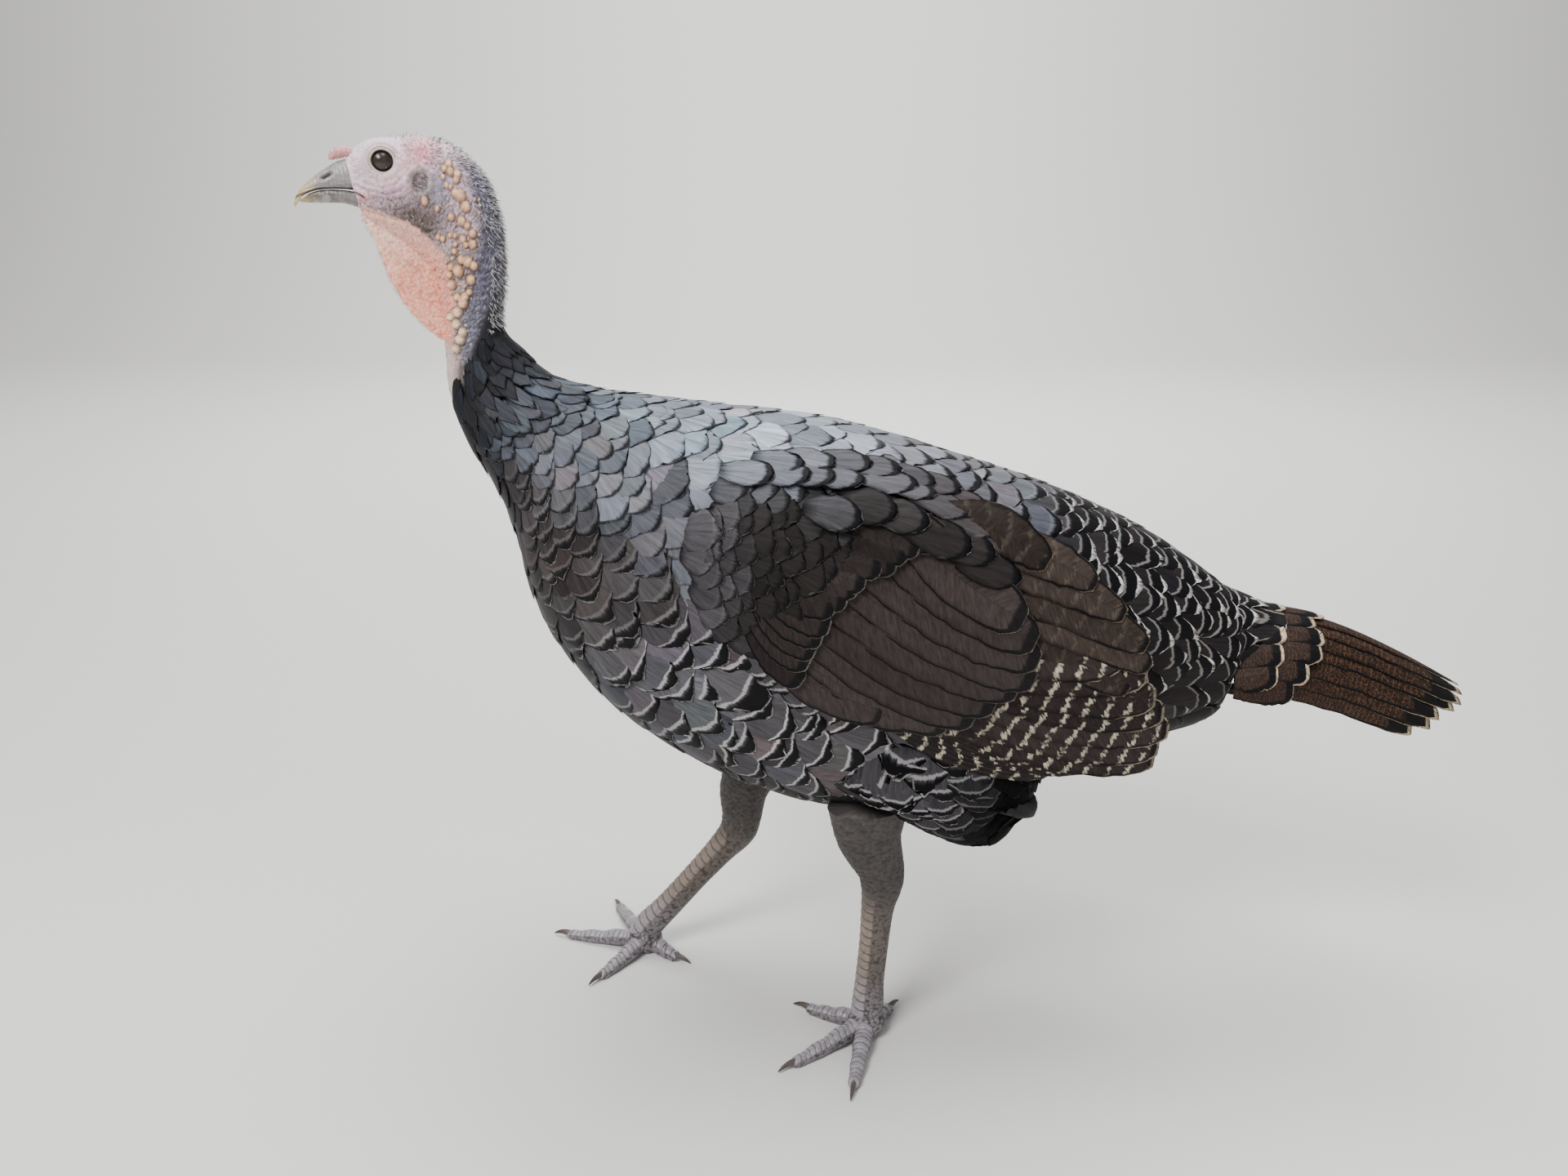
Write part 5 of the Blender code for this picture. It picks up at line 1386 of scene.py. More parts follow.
def eye_piece(word, looks):
    """An eyeball with its pole outwards: a sphere with a low dome of cornea on it. Its tint runs
    outwards from the pupil through a streaked iris to its dark rim."""
    centre, ahead, up, out = eye_frame(word)
    polar = np.linspace(0.02, pi - 0.02, 72)[:, None]
    angle = full_circle(96)[None, :]
    radius = EYE_RADIUS * (1 + 0.035 * np.exp(-((polar / 0.42) ** 4)))
    ways = np.cos(polar)[..., None] * out + (np.sin(polar) * np.cos(angle))[..., None] * ahead
    ways = ways + (np.sin(polar) * np.sin(angle))[..., None] * up
    grid = centre + radius[..., None] * ways
    streaks = 0.75 + 0.35 * np.sin(angle * 38 + 2 * np.sin(angle * 7)) * np.cos(angle * 13 + 1)
    bright = streaks * (0.7 + 0.8 * smooth(0.6, 0.85, polar))
    iris = bright * smooth(0.50, 0.56, polar) * smooth(1.04, 0.94, polar)
    tint = np.array(looks.iris_colour) * iris[..., None] + np.array(paint(14, 11, 10))
    build("eyeball_" + word, closed_tube(grid), "eye", ("eye_" + word,),
          tints={"tint": tube_tint(tint, 0.05)})


# The lids' section as (away from the eye's middle, out of the head), from the eyeball outwards
# over the lid's edge, into the face and back.
LID_PROFILE = (
    (5.4, 4.6), (6.0, 4.9), (6.25, 5.3), (6.35, 5.9), (6.7, 6.35), (7.3, 6.4), (7.9, 6.1),
    (8.4, 6.15), (8.9, 5.8), (9.5, 5.7), (10.2, 5.2), (11.0, 4.7), (11.6, 3.9), (11.4, 2.6),
    (8.0, 1.6), (5.6, 3.2),
)


def lid_piece(word, looks):
    """The lids as one ring round the eye: a profile that starts on the eyeball, rolls over its
    edge and runs down into the face, wrinkled along and across, and drawn in at both corners."""
    centre, ahead, up, out = eye_frame(word)
    steps, count = 54, 180
    angle = full_circle(count)[None, :]
    sine, cosine = np.sin(angle), np.cos(angle)
    here = spline(LID_PROFILE, np.linspace(0, len(LID_PROFILE) - 1, steps)) * MM
    reach, rise = here[:, :1] + 0 * angle, here[:, 1:] + 0 * angle
    opening = 1 - 0.05 * np.abs(sine) ** 1.5 + 0.07 * np.abs(cosine) ** 8
    outer = smooth(6.6 * MM, 8.5 * MM, reach)
    reach = reach * blend(opening, 1.0, outer)
    reach_mm = reach / MM
    wrinkle = np.sin(angle * 34 + 3 * np.sin(angle * 3)) * 0.10
    wrinkle = wrinkle + np.sin(reach_mm * 2 * pi / 0.95 + np.sin(angle * 5)) * 0.10
    rise = rise + wrinkle * MM * smooth(6.4 * MM, 7.4 * MM, reach)
    rise = rise + 0.6 * MM * hump(sine, 1, 0.5) * hump(reach_mm, 8.0, 1.6)
    around = cosine[..., None] * ahead + sine[..., None] * up
    grid = centre + out * rise[..., None] + reach[..., None] * around
    to_face = smooth(7.7, 8.7, reach_mm)[..., None]
    shade = blend(paint(214, 200, 184), np.array(looks.face_colour) * 0.86, to_face)
    # Painted shade: the lid's rim where it meets the eyeball is darkened, with a dark line in the crease
    # round the lid and a fainter one further out, strongest above and below. The tint is lighter on the
    # wrinkles' ridges and darker in their troughs.
    dark = smooth(6.6, 6.2, reach_mm) * 0.95 + 0.6 * hump(reach_mm, 8.15, 0.32)
    dark = dark + 0.4 * hump(reach_mm, 9.9, 0.4) * (0.35 + 0.65 * np.abs(sine))
    shade = blend(shade, paint(52, 40, 36), dark[..., None]) * (1 + 1.2 * wrinkle[..., None])
    index = np.arange(steps * count).reshape(steps, count)
    following = np.roll(index, -1, 0)
    corners = [index, np.roll(index, -1, 1), np.roll(following, -1, 1), following]
    quads = np.stack(corners, -1).reshape(-1, 4)
    points = grid.reshape(-1, 3)
    if volume(points - points.mean(0), quads, NO_TRIS) < 0:
        quads = quads[:, ::-1]
    build("lids_" + word, (points, quads, NO_TRIS), "bare skin",
          tints={"tint": with_alpha(shade, 0.4).reshape(-1, 4)})


def dewlap_piece(looks):
    """The fold under the throat: a thin oval loft from its hanging line to its free edge, set
    with granules and crossed by soft waves."""
    rows = np.array(DEWLAP, float)
    rows[:, 2] -= 6.0
    grid = plane_loft(rows, 230, 150, 0.62)
    up = head_place(grid)[0][..., 1]
    normal = outward(grid)
    edge = np.abs(np.sin(full_circle(150)))[None, :]
    fine, label = grains(grid, 1.9 * MM, 5.0)
    finer, _ = grains(grid, 1.0 * MM, 6.0)
    height = 0.62 * smooth(0.75, 0.1, fine) + 0.22 * smooth(0.7, 0.1, finer)
    waves = np.sin(up * 2 * pi / 9 + 1.6 * swell(grid, 20 * MM, 8))
    height = height * (0.4 + 0.6 * edge) + 0.35 * waves * (1 - edge) + 0.5 * swell(grid, 13 * MM, 9)
    lumps = swell(grid * np.array((1.0, 1.0, 1.5)), 5.5 * MM, 12, 2)
    height = height + 0.6 * lumps * (0.3 + 0.7 * (1 - edge))
    grid = grid + normal * (height - 0.4)[..., None] * MM
    sway = 0.9 * MM * np.sin(up * 2 * pi / 24 + 0.6) * (1 - edge)
    grid = grid + plane_side() * sway[..., None]
    # Painted shade: the tint is lighter on the granules' tops and on the lumps and darker between them.
    tone = 0.84 + 0.6 * smooth(0.85, 0.2, fine) + 0.14 * swell(grid, 12 * MM, 7)
    cast = tone[..., None] + lumps[..., None] * np.array((0.08, 0.17, 0.19))
    tint = dewlap_ground(up, looks) * cast
    pale = (label > 0.8) * smooth(0.5, 0.2, fine) * 0.4
    tint = np.minimum(blend(tint, paint(246, 224, 214), pale[..., None]), 1.0)
    build("dewlap_skin", closed_tube(grid), "dewlap skin", ("dewlap",),
          tints={"tint": tube_tint(tint, 0.36)})


def snood_piece():
    """The short snood over the bill's root: a tube along a curve, ringed by fine folds."""
    rows = np.array(SNOOD, float) * MM
    here = spline(rows, np.linspace(0, len(rows) - 1, 70))
    path = plane_point(here[:, 0], here[:, 1])
    along = unit(np.gradient(path, axis=0))
    side = np.broadcast_to(plane_side(), path.shape)
    up = np.cross(side, along)
    angle = full_circle(48)[None, :, None]
    share = np.linspace(0, 1, 70)[:, None, None]
    radius = here[:, 2][:, None, None] * (1 + 0.07 * np.sin(share * 2 * pi * 9 + np.sin(angle * 3)))
    radius = radius * np.sqrt(np.clip(1 - np.clip(share - 0.8, 0, 1) ** 2 * 24.9, 0.02, 1))
    grid = path[:, None] + radius * (np.cos(angle) * up[:, None] + np.sin(angle) * side[:, None])
    coarse, _ = grains(grid, 1.6 * MM, 2.0)
    grid = grid + outward(grid) * (0.25 * MM * smooth(0.7, 0.1, coarse))[..., None]
    # Lighter on the granules' tops and darker between them: painted shade.
    tint = np.array(paint(222, 158, 160)) * (0.85 + 0.3 * smooth(0.8, 0.1, coarse))[..., None]
    build("snood_skin", closed_tube(grid), "dewlap skin", ("snood",),
          tints={"tint": tube_tint(tint, 0.38)})


def bristles(roots, ways, lengths, thick, curl, colours, bake):
    """Fine bristles: three-sided cones whose axis leaves the root along `ways` and bends by
    `curl` in proportion to the square of the distance from the root."""
    n = len(roots)
    share = np.array((0.0, 0.4, 0.75))
    side = unit(np.cross(ways, np.array((0.31, 0.67, 0.42))))
    third = np.cross(ways, side)
    axis = roots[:, None] + ways[:, None] * (share * lengths[:, None])[..., None]
    axis = axis + curl[:, None] * (share**2 * lengths[:, None])[..., None]
    tip = roots + ways * lengths[:, None] + curl * lengths[:, None]
    turn = full_circle(3)[None, :, None]
    ring = np.cos(turn) * side[:, None] + np.sin(turn) * third[:, None]
    radius = thick[:, None] * (1 - share * 0.7)
    tube = axis[:, :, None] + ring[:, None] * radius[:, :, None, None]
    points = np.concatenate([tube.reshape(n, 9, 3), tip[:, None], roots[:, None]], 1)
    pairs = [(j, (j + 1) % 3) for j in range(3)]
    quads = np.array([(i + j, i + k, i + 3 + k, i + 3 + j) for i in (0, 3) for j, k in pairs])
    tris = np.array([tri for j, k in pairs for tri in ((6 + j, 6 + k, 9), (k, j, 10))])
    if volume(points[0] - points[0].mean(0), quads, tris) < 0:
        quads, tris = quads[:, ::-1], tris[:, ::-1]
    each = points.shape[1]
    start = (np.arange(n) * each)[:, None, None]
    tint = np.repeat(with_alpha(colours, 0.5), each, axis=0)
    spread = np.stack([np.cos(np.arange(each)), np.sin(np.arange(each))], 1) * 0.0014
    spot = np.repeat(bake, each, axis=0) + np.tile(spread, (n, 1))
    shape = points.reshape(-1, 3), (quads + start).reshape(-1, 4), (tris + start).reshape(-1, 3)
    build("bristles", shape, "bristle", maps={"OFBake": spot}, tints={"tint": tint})


# Bristles: number, stations, degrees from the nape, share of their length, share of pale ones.
BRISTLES = (
    (2900, (5.4, 14.4), (0, 60), 0.8, 0.62),
    (420, (3.4, 7.0), (0, 40), 0.5, 0.6),
    (170, (5.0, 6.6), (62, 96), 0.38, 0.3),
    (380, (2.0, 14.5), (70, 175), 0.42, 0.6),
)
DEWLAP_BRISTLES = 240


def bristle_piece(looks):
    """Bristles over crown, nape, ear and throat, growing off the skin back and down the neck,
    and off the dewlap's hanging line."""
    draw = np.random.default_rng(17)
    found = []
    for count, stations, turns, size, pale in BRISTLES:
        station = draw.uniform(*stations, count)
        angle = radians(1) * draw.uniform(*turns, count) * draw.choice((-1, 1), count)
        here = body_point(station, angle)
        pu, pv = slopes(body_point, station, angle, 0.02, 0.02)
        normal = -unit(np.cross(pu, pv))
        tilt = draw.uniform(0.7, 1.5, count)[:, None]
        way = unit(normal * tilt + unit(pu) * 0.8 + 0.25 * draw.normal(size=(count, 3)))
        length = looks.bristle_length * size * draw.uniform(0.6, 1.25, count)
        light = (draw.uniform(size=count) < pale)[:, None]
        tint = np.where(light, np.array(paint(224, 222, 222)), np.array(paint(30, 28, 30)))
        found.append((here - normal * 0.3 * MM, way, length, tint, skin_spots(station, angle)))
    rows, count = np.array(DEWLAP, float), DEWLAP_BRISTLES
    share = draw.uniform(0.3, len(rows) - 1.6, count)
    here = spline(rows, share)
    top, bottom = (plane_point(here[:, k] * MM, here[:, k + 1] * MM) for k in (0, 2))
    start = top + plane_side() * (draw.normal(size=(count, 1)) * 1.2 * MM)
    away = unit(top - bottom)
    way = unit(away + np.array((0, 0, -0.6)) + 0.3 * draw.normal(size=(count, 3)))
    length = looks.bristle_length * 0.5 * draw.uniform(0.5, 1.2, count)
    tint = np.broadcast_to(np.array(paint(226, 222, 218)), (count, 3))
    spots = np.stack([0.3 + share * 0.03, np.full(count, 0.5)], 1)
    found.append((start - away * 0.6 * MM, way, length, tint, spots))
    roots, ways, lengths, tints, spots = map(np.concatenate, zip(*found))
    n = len(roots)
    thick = 0.2 * MM * draw.uniform(0.7, 1.3, n)
    curl = 0.25 * unit(draw.normal(size=(n, 3)) + np.array((0, 0, -1.0)))
    bristles(roots, ways, lengths, thick, curl, tints, spots)


# legs and feet


def scute_height(run, angle, reach, pitch, proud):
    """Plates across the front of a tube: each rises towards its lower edge and drops there,
    and ends at an angle of `reach` to either side."""
    share = np.modf(np.abs(run / pitch) + 0.002)[0]
    shape = (0.35 + 0.65 * share) * smooth(1.0, 0.86, share) * smooth(0.0, 0.16, share)
    return proud * shape * smooth(reach, reach * 0.86, np.abs(angle))


def scaly(grid, run, angle, reach, pitch, proud, seed):
    """Plates in front, and small many-sided scales raised round scattered points elsewhere."""
    turn = wrapped(angle)
    plates = scute_height(run + 0.12 * pitch * np.cos(turn * 3), turn, reach, pitch, proud)
    cells, label = grains(grid * np.array((1.0, 1.0, 0.85)), 2.1 * MM, seed)
    beads = smooth(0.85, 0.4, cells)
    outside = smooth(reach * 0.92, reach * 1.02, np.abs(turn))
    height = plates + beads * proud * 0.5 * outside
    groove = (1 - smooth(0.0, 0.55, plates / proud)) * (1 - outside) + (1 - beads) * outside
    return height, groove, label, outside


def toe_way(word, heading):
    """The direction of a toe on the floor."""
    turn = radians(heading)
    return np.array((-np.cos(turn), np.sin(turn) * SIDE_OF[word], 0.0))


def toe_tube(word, heading, length):
    """A toe: a tube with three pads along its length, arched near its root, flat on the floor."""
    share = np.linspace(0, 1, 110)
    way = toe_way(word, heading)
    radius = (7.2 + (4.0 - 7.2) * share) * (1 + 0.06 * np.cos(share * 6 * pi))
    radius = radius * np.sqrt(np.clip(1 - np.clip((share - 0.93) / 0.08, 0, 1) ** 2, 0.12, 1)) * MM
    reach = 6 + (length - 6) * share
    path = np.array((*FOOT_AT[word], 0.0)) * MM + way * (reach * MM)[:, None]
    path[:, 2] = radius - 1.1 * MM + 5 * MM * (1 - share) ** 2
    along = unit(np.gradient(path, axis=0))
    across = np.cross(way, (0.0, 0.0, 1.0))
    side = unit(across - dot(along, across) * along)
    front = np.cross(side, along)
    angle = full_circle(52)[None, :]
    ring = 0.95 * np.cos(angle)[..., None] * front[:, None] + np.sin(angle)[..., None] * side[:, None]
    grid = path[:, None] + radius[:, None, None] * ring
    run = (reach * MM)[:, None] + 0 * angle
    scales = scaly(grid, run, angle + 0 * run, radians(66), 4.4 * MM, 0.75 * MM, 4.0)
    height, groove, label, outside = scales
    grid = grid + outward(grid) * height[..., None]
    grid[..., 2] = np.maximum(grid[..., 2], 0.0)
    return grid, leg_tint(groove, label, outside, grid[..., 2] / MM)


def leg_tint(groove, label, outside, height_mm):
    """Leg skin: brown-grey plates with pale faces that show wear, painted shade in the
    grooves, and a lilac cast lower.
    """
    low = smooth(70, 10, height_mm)[..., None]
    plate = blend(paint(126, 112, 102), paint(152, 146, 152), low)
    bead = blend(paint(88, 77, 70), paint(124, 117, 121), low)
    tint = blend(plate, bead, outside[..., None]) * (0.82 + 0.34 * label[..., None])
    # Grooves between plates and scales are darkened: painted shade.
    return tint * (1 - 0.8 * groove[..., None])


def leg_piece(word):
    """Shank, foot and toes: tubes with plates in front and small scales round them."""
    rows = np.array(LEGS[word], float) * MM
    where = np.linspace(0, len(rows) - 1, 400)[:, None]
    angle = full_circle(84)[None, :]
    grid = tube_point(rows, where, angle)
    path = spline(rows[:, :3], where[:, 0])
    gone = np.concatenate([[0], np.cumsum(np.linalg.norm(np.diff(path, axis=0), axis=1))])
    # Distance down the leg, counted so that it is 1 m at the foot.
    run = 1.0 - (gone[-1] - gone[:, None]) + 0 * angle
    scaled = smooth(-0.4, 0.9, where) + 0 * angle
    reach = np.maximum(radians(78) * smooth(2.3, 3.6, where), 0.02) + 0 * angle
    scales = scaly(grid, run, angle + 0 * run, reach, 7.4 * MM, 1.0 * MM, 3.0)
    height, groove, label, outside = scales
    joint = hump(where, 3.2, 0.45)
    behind = np.where(angle > pi, 2 * pi - angle, angle) - pi
    back_plates = scute_height(run + 4 * MM, behind, radians(26), 4.2 * MM, 0.6 * MM)
    back_plates = back_plates * smooth(2.6, 3.8, where)
    height = np.maximum(height * scaled * (1 - 0.4 * joint), back_plates * scaled)
    grid = grid + outward(grid) * height[..., None]
    tint = leg_tint(groove * scaled, label, outside, grid[..., 2] / MM)
    # Painted shade under the body: towards its top the shank darkens to a near-black brown, each scale
    # keeping a random tone and its grooves darker still.
    painted_body_shade = smooth(92, 146, grid[..., 2] / MM)[..., None] * 0.92
    wear_and_groove_shade = (0.7 + 0.9 * label[..., None]) * (1 - 0.75 * groove[..., None])
    tint = blend(tint, np.array(paint(48, 43, 41)) * wear_and_groove_shade, painted_body_shade)
    parts, tints = [closed_tube(grid)], [tube_tint(tint, 0.34 + 0.25 * painted_body_shade[..., 0])]

    hub = np.array((*FOOT_AT[word], 11.5)) * MM
    polar = np.linspace(0.03, pi - 0.03, 60)[:, None]
    flat = np.sin(polar)
    ways = np.stack([flat * np.cos(angle), flat * np.sin(angle), np.cos(polar) + 0 * angle], -1)
    ball = hub + ways * np.array((14.0, 12.5, 12.2)) * MM
    cells, label = grains(ball, 3.0 * MM, 6.0)
    ball = ball + ways * (0.4 * MM * smooth(0.62, 0.3, cells))[..., None]
    ball[..., 2] = np.maximum(ball[..., 2], 0.0)
    tint = leg_tint(smooth(0.4, 0.62, cells), label, np.ones(cells.shape), ball[..., 2] / MM)
    parts.append(closed_tube(ball))
    tints.append(tube_tint(tint, 0.42))
    for _, heading, length in TOES[word]:
        toe, tint = toe_tube(word, heading, length)
        parts.append(closed_tube(toe))
        tints.append(tube_tint(tint, 0.24))
    build("leg_" + word, join(parts), "scaly skin", ("shank_" + word, "foot_" + word),
          tints={"tint": np.concatenate(tints)})


def claw_piece(word):
    """Claws: cones bent down to the floor, flatter beneath, ridged along the top."""
    parts, tints = [], []
    share = np.linspace(0, 1, 40)
    thick = 3.3 * MM * (1 - share) ** 0.75 + 0.3 * MM
    angle = full_circle(28)[None, :]
    flat = np.where(np.cos(angle) < 0, 0.7, 1.05)
    for _, heading, length in TOES[word]:
        way = toe_way(word, heading)
        start = np.array((*FOOT_AT[word], 0.0)) * MM + way * (length - 1.5) * MM
        path = start + way * (15.2 * MM * share)[:, None]
        high = 3.4 * MM + 1.9 * MM * np.sin(pi * share * 0.8) - 2.6 * MM * share**1.7
        path[:, 2] = np.maximum(high, thick * 0.8 + 0.1 * MM)
        along = unit(np.gradient(path, axis=0))
        side = np.cross(way, (0.0, 0.0, 1.0))[None] + 0 * along
        front = np.cross(side, along)
        ring = (np.cos(angle) * flat)[..., None] * front[:, None]
        ring = ring + (0.72 * np.sin(angle))[..., None] * side[:, None]
        grid = path[:, None] + thick[:, None, None] * ring
        grid[..., 2] = np.maximum(grid[..., 2], 0.0)
        tone = (1 + 0.25 * np.sin(share * 40))[:, None] + 0 * angle
        base = blend(paint(96, 84, 78), paint(52, 42, 38), share[:, None, None])
        parts.append(closed_tube(grid))
        tints.append(tube_tint(base * tone[..., None], 0.3))
    nodes = ["claw_" + word + "_" + name for name, *_ in TOES[word]]
    build("claws_" + word, join(parts), "horn", nodes, tints={"tint": np.concatenate(tints)})


# thighs, wings and tail


def plain_tube(name, grid, colour, roughness, node):
    """A closed tube of skin in one colour, which the feathers hide."""
    tint = np.broadcast_to(np.array(colour), grid.shape)
    build(name, closed_tube(grid), "bare skin", (node,), tints={"tint": tube_tint(tint, roughness)})


def thigh_piece(word, coat):
    """The thigh's skin, and feathers all round it whose tips reach its outline."""
    surface = thigh_point(word)
    rows = len(THIGHS[word]) - 1
    where, angle = np.meshgrid(np.linspace(0, rows, 60), full_circle(72), indexing="ij")
    grid = surface(where, angle)
    inner = grid - outward(grid) * coat.depth * 0.8
    plain_tube("thigh_skin_" + word, inner, paint(34, 32, 32), 0.8, "thigh_" + word)
    draw = np.random.default_rng(coat.seed + 40 + len(word))
    count = 17
    rings = []
    for i, at in enumerate(np.arange(0.05, rows - 0.2, 0.24)):
        turn = (np.arange(count) + 0.5 * (i % 2) + 0.15 * draw.normal(size=count)) / count * 2 * pi
        rings.append(np.stack([np.full(count, at) + 0.09 * draw.normal(size=count), turn], 1))
    u, v = np.concatenate(rings).T
    u = np.clip(u, 0.06, rows - 0.1)
    n = len(u)
    length = np.interp(u, (0, rows * 0.6, rows), (38, 34, 18)) * MM * (1 + 0.08 * draw.normal(size=n))
    back = 0.5 - 0.5 * np.cos(v)
    low = np.full(n, -2.6 * MM)
    high = -0.4 * MM + 1.2 * MM * draw.uniform(-1, 1, n) * (0.1 + 0.9 * back)
    heading = draw.normal(size=n) * 0.12 - 0.4 * np.sin(v)
    sheets = lay_feathers(
        surface, (0.02, 0.01), u, v, (length, length * 0.5), heading, (low, high),
        surface_sign(surface, u, v, grid), coat.seed + 41, blunt=0.6, ragged=0.06)
    down = np.maximum(smooth(0.3, 0.8, back), smooth(0.5, 0.85, u / rows))
    ground = blend(paint(62, 60, 63), paint(15, 14, 14), down[:, None])
    values = 1 - down, 6.5, 1 - 0.6 * down, 0.8 * (1 - down), 0.05, 0.4 - 0.35 * down
    marks = plain_marks(n, ground, paint(186, 184, 182), values, 42, 0.2)
    spots = np.stack([u / rows, v / (2 * pi) % 1], 1) * 0.96 + 0.02
    feather_mesh("thigh_feathers_" + word, sheets, marks, spots, "down", "body_plumage")


def surface_sign(surface, u, v, grid):
    """1 or -1, so that the surface's tangents give normals away from the grid's middle."""
    pu, pv = slopes(surface, u, v, 0.02, 0.01)
    away = surface(u, v) - grid.reshape(-1, 3).mean(0)
    return float(np.sign((np.cross(pu, pv) * away).sum()))


def wing_lift(x, z):
    """The folded wing's thickness over the body: a low edge and a rounded swelling within its
    outline, by the sines of the shares down and along it. Also tells what lies inside it."""
    edges = spline(np.array(WING_EDGES, float) * MM, np.linspace(0, len(WING_EDGES) - 1, 60))
    share = (x - edges[0, 0]) / (edges[-1, 0] - edges[0, 0])
    along = np.clip(share, 0, 1)
    top = np.interp(x, edges[:, 0], edges[:, 1])
    bottom = np.interp(x, edges[:, 0], edges[:, 3])
    deep = (top - z) / np.maximum(top - bottom, 1 * MM)
    down = np.clip(deep, 0, 1)
    round_ = np.clip(np.sin(pi * down), 0, 1) ** 0.45 * np.sin(pi * (along * 0.75 + 0.12)) ** 0.6
    fade = smooth(edges[-1, 0] + 30 * MM, edges[-1, 0] - 20 * MM, x)
    inside = (share > 0) & (deep > 0) & (deep < 1)
    return 2.4 * MM + WING_RISE * round_ * fade, inside


def soft_lift(x, z, reach=8 * MM):
    """The wing's thickness with its edges eased: the mean of nine places round each point,
    where places off the wing count as the body's own surface."""
    total = 0.0
    for step in np.ndindex(3, 3):
        lift, inside = wing_lift(x + (step[0] - 1) * reach, z + (step[1] - 1) * reach)
        total = total + np.where(inside, lift, 0.2 * MM)
    return total / 9


# Lines of points from a long feather's root to its tip, and rows across it, as shares.
LONG_LINES = 1 - (1 - np.linspace(0, 1, 22)) ** 1.35
LONG_ROWS = np.array((-1.0, -0.7, -0.36, -0.07, 0.0, 0.07, 0.36, 0.7, 1.0))


def long_width(share):
    """A flight feather's half width as a share: opening from the root, rounded at the tip."""
    return np.clip(0.5 + 1.1 * share, 0, 1) * np.sqrt(np.clip(1 - (share * 0.985) ** 9, 0, 1))


# How thick a long feather is in its middle, and how high its shaft stands.
LONG_THICK, SHAFT_HIGH = 0.55 * MM, 0.5 * MM


def long_feathers(place, half, length, seed, side_rim, fade=0.3, cup=0.05, thick=LONG_THICK):
    """Flight feathers: `place` gives points and normals for shares along and offsets across;
    each vane is a thin lens across its width, with its shaft as a ridge along the middle."""
    draw = np.random.default_rng(seed)
    half, length = half[:, None, None], length[:, None, None]
    n = len(half)
    share = LONG_LINES[None, :, None]
    row = LONG_ROWS[None, None, :]
    wave = 1 + 0.035 * draw.normal(size=(n, len(LONG_LINES), 1)) * smooth(0, 0.3, share)
    offset = half * long_width(share) * row * wave
    share = np.broadcast_to(share, offset.shape)
    middle, up = place(share, offset)
    body = (1 - row**2) * np.clip(share * 8, 0, 1) * np.clip((1 - share) * 12, 0, 1) * thick
    ridge = SHAFT_HIGH * (np.abs(row) < 0.03) * np.clip((1 - share) * 1.4, 0, 1)
    sag = -cup * half * row**2
    left = (1 - share) * length
    rim = np.minimum(left, (1 - np.abs(row)) * half * side_rim + (1 - share) * left * fade)
    return {
        "top": middle + up * (body * 0.5 + ridge + sag + RIM_THICK)[..., None],
        "bottom": middle - up * (body * 0.5 - sag)[..., None],
        "across": offset / MM,
        "along": share * length / MM,
        "rim": rim / MM,
    }


def wing_place(side, roots, tips, bow, low, high, tilt):
    """Places a wing's feathers: centre lines bowed between root and tip in side view, lifted
    from the wing's surface more and more to the tip, and tilted across their width."""
    along = tips - roots
    flat = np.stack([-along[:, 1], along[:, 0]], 1) / np.linalg.norm(along, axis=1)[:, None]
    along, flat, roots = along[:, None, None], flat[:, None, None], roots[:, None, None]
    low, high = low[:, None, None], high[:, None, None]

    def place(share, offset):
        """Points and normals of vanes by the share along and the offset across."""
        s = share[..., None]
        centre = roots + along * s + flat * (4 * bow * s * (1 - s))
        slope = along + flat * (4 * bow * (1 - 2 * s))
        at = centre + unit(np.stack([-slope[..., 1], slope[..., 0]], -1)) * offset[..., None]
        rise = low + (high - low) * share**0.6 + tilt * offset
        points, over = (wing_surface(side, rise + up)(at[..., 0], at[..., 1]) for up in (0.0, 1 * MM))
        return points, unit(over - points)

    return place


# Tiers of the wing, lowest first: name, number, line of roots, line of tips as (x, z), bow,
# half width, lift at root and tip, how each rises over the last, tilt.
WING_TIERS = (
    ("primaries", 6, ((-18, 288), (-8, 300)), ((92, 247), (136, 252)), -9, 9.5, (2.2, 2.4), 0.8, -0.04),
    ("secondaries", 7, ((-4, 302), (20, 350)), ((156, 256), (162, 276), (152, 302), (130, 332)),
     -7, 16.0, (6.6, 8.6), 0.45, -0.12),
    ("tertials", 6, ((8, 352), (-6, 408)), ((132, 308), (144, 324), (136, 341), (110, 364), (78, 384)),
     9, 11.5, (8.6, 12.0), 0.6, -0.06),
    ("greater_coverts", 10, ((-96, 338), (-74, 372), (-18, 412)),
     ((-18, 298), (14, 288), (44, 295), (64, 310), (72, 330), (62, 352)),
     -4, 15.5, (8.2, 13.2), 0.36, -0.035),
    ("median_coverts", 15, ((-104, 350), (-86, 390), (-40, 428)),
     ((-72, 320), (-60, 350), (-40, 374), (-14, 390), (14, 396)), -2, 9.5, (8.6, 14.8), 0.26, -0.05),
)
# How fast the distance to the rim grows from a feather's side, how fast it grows towards the
# root, and how far the vane is bowed across its width.
WING_RIMS = {
    "primaries": (0.8, 0.3, 0.05),
    "secondaries": (1.6, 0.3, 0.05),
    "tertials": (2.0, 0.3, 0.05),
    "greater_coverts": (9.0, 0.02, 0.015),
    "median_coverts": (3.4, 0.03, 0.02),
}
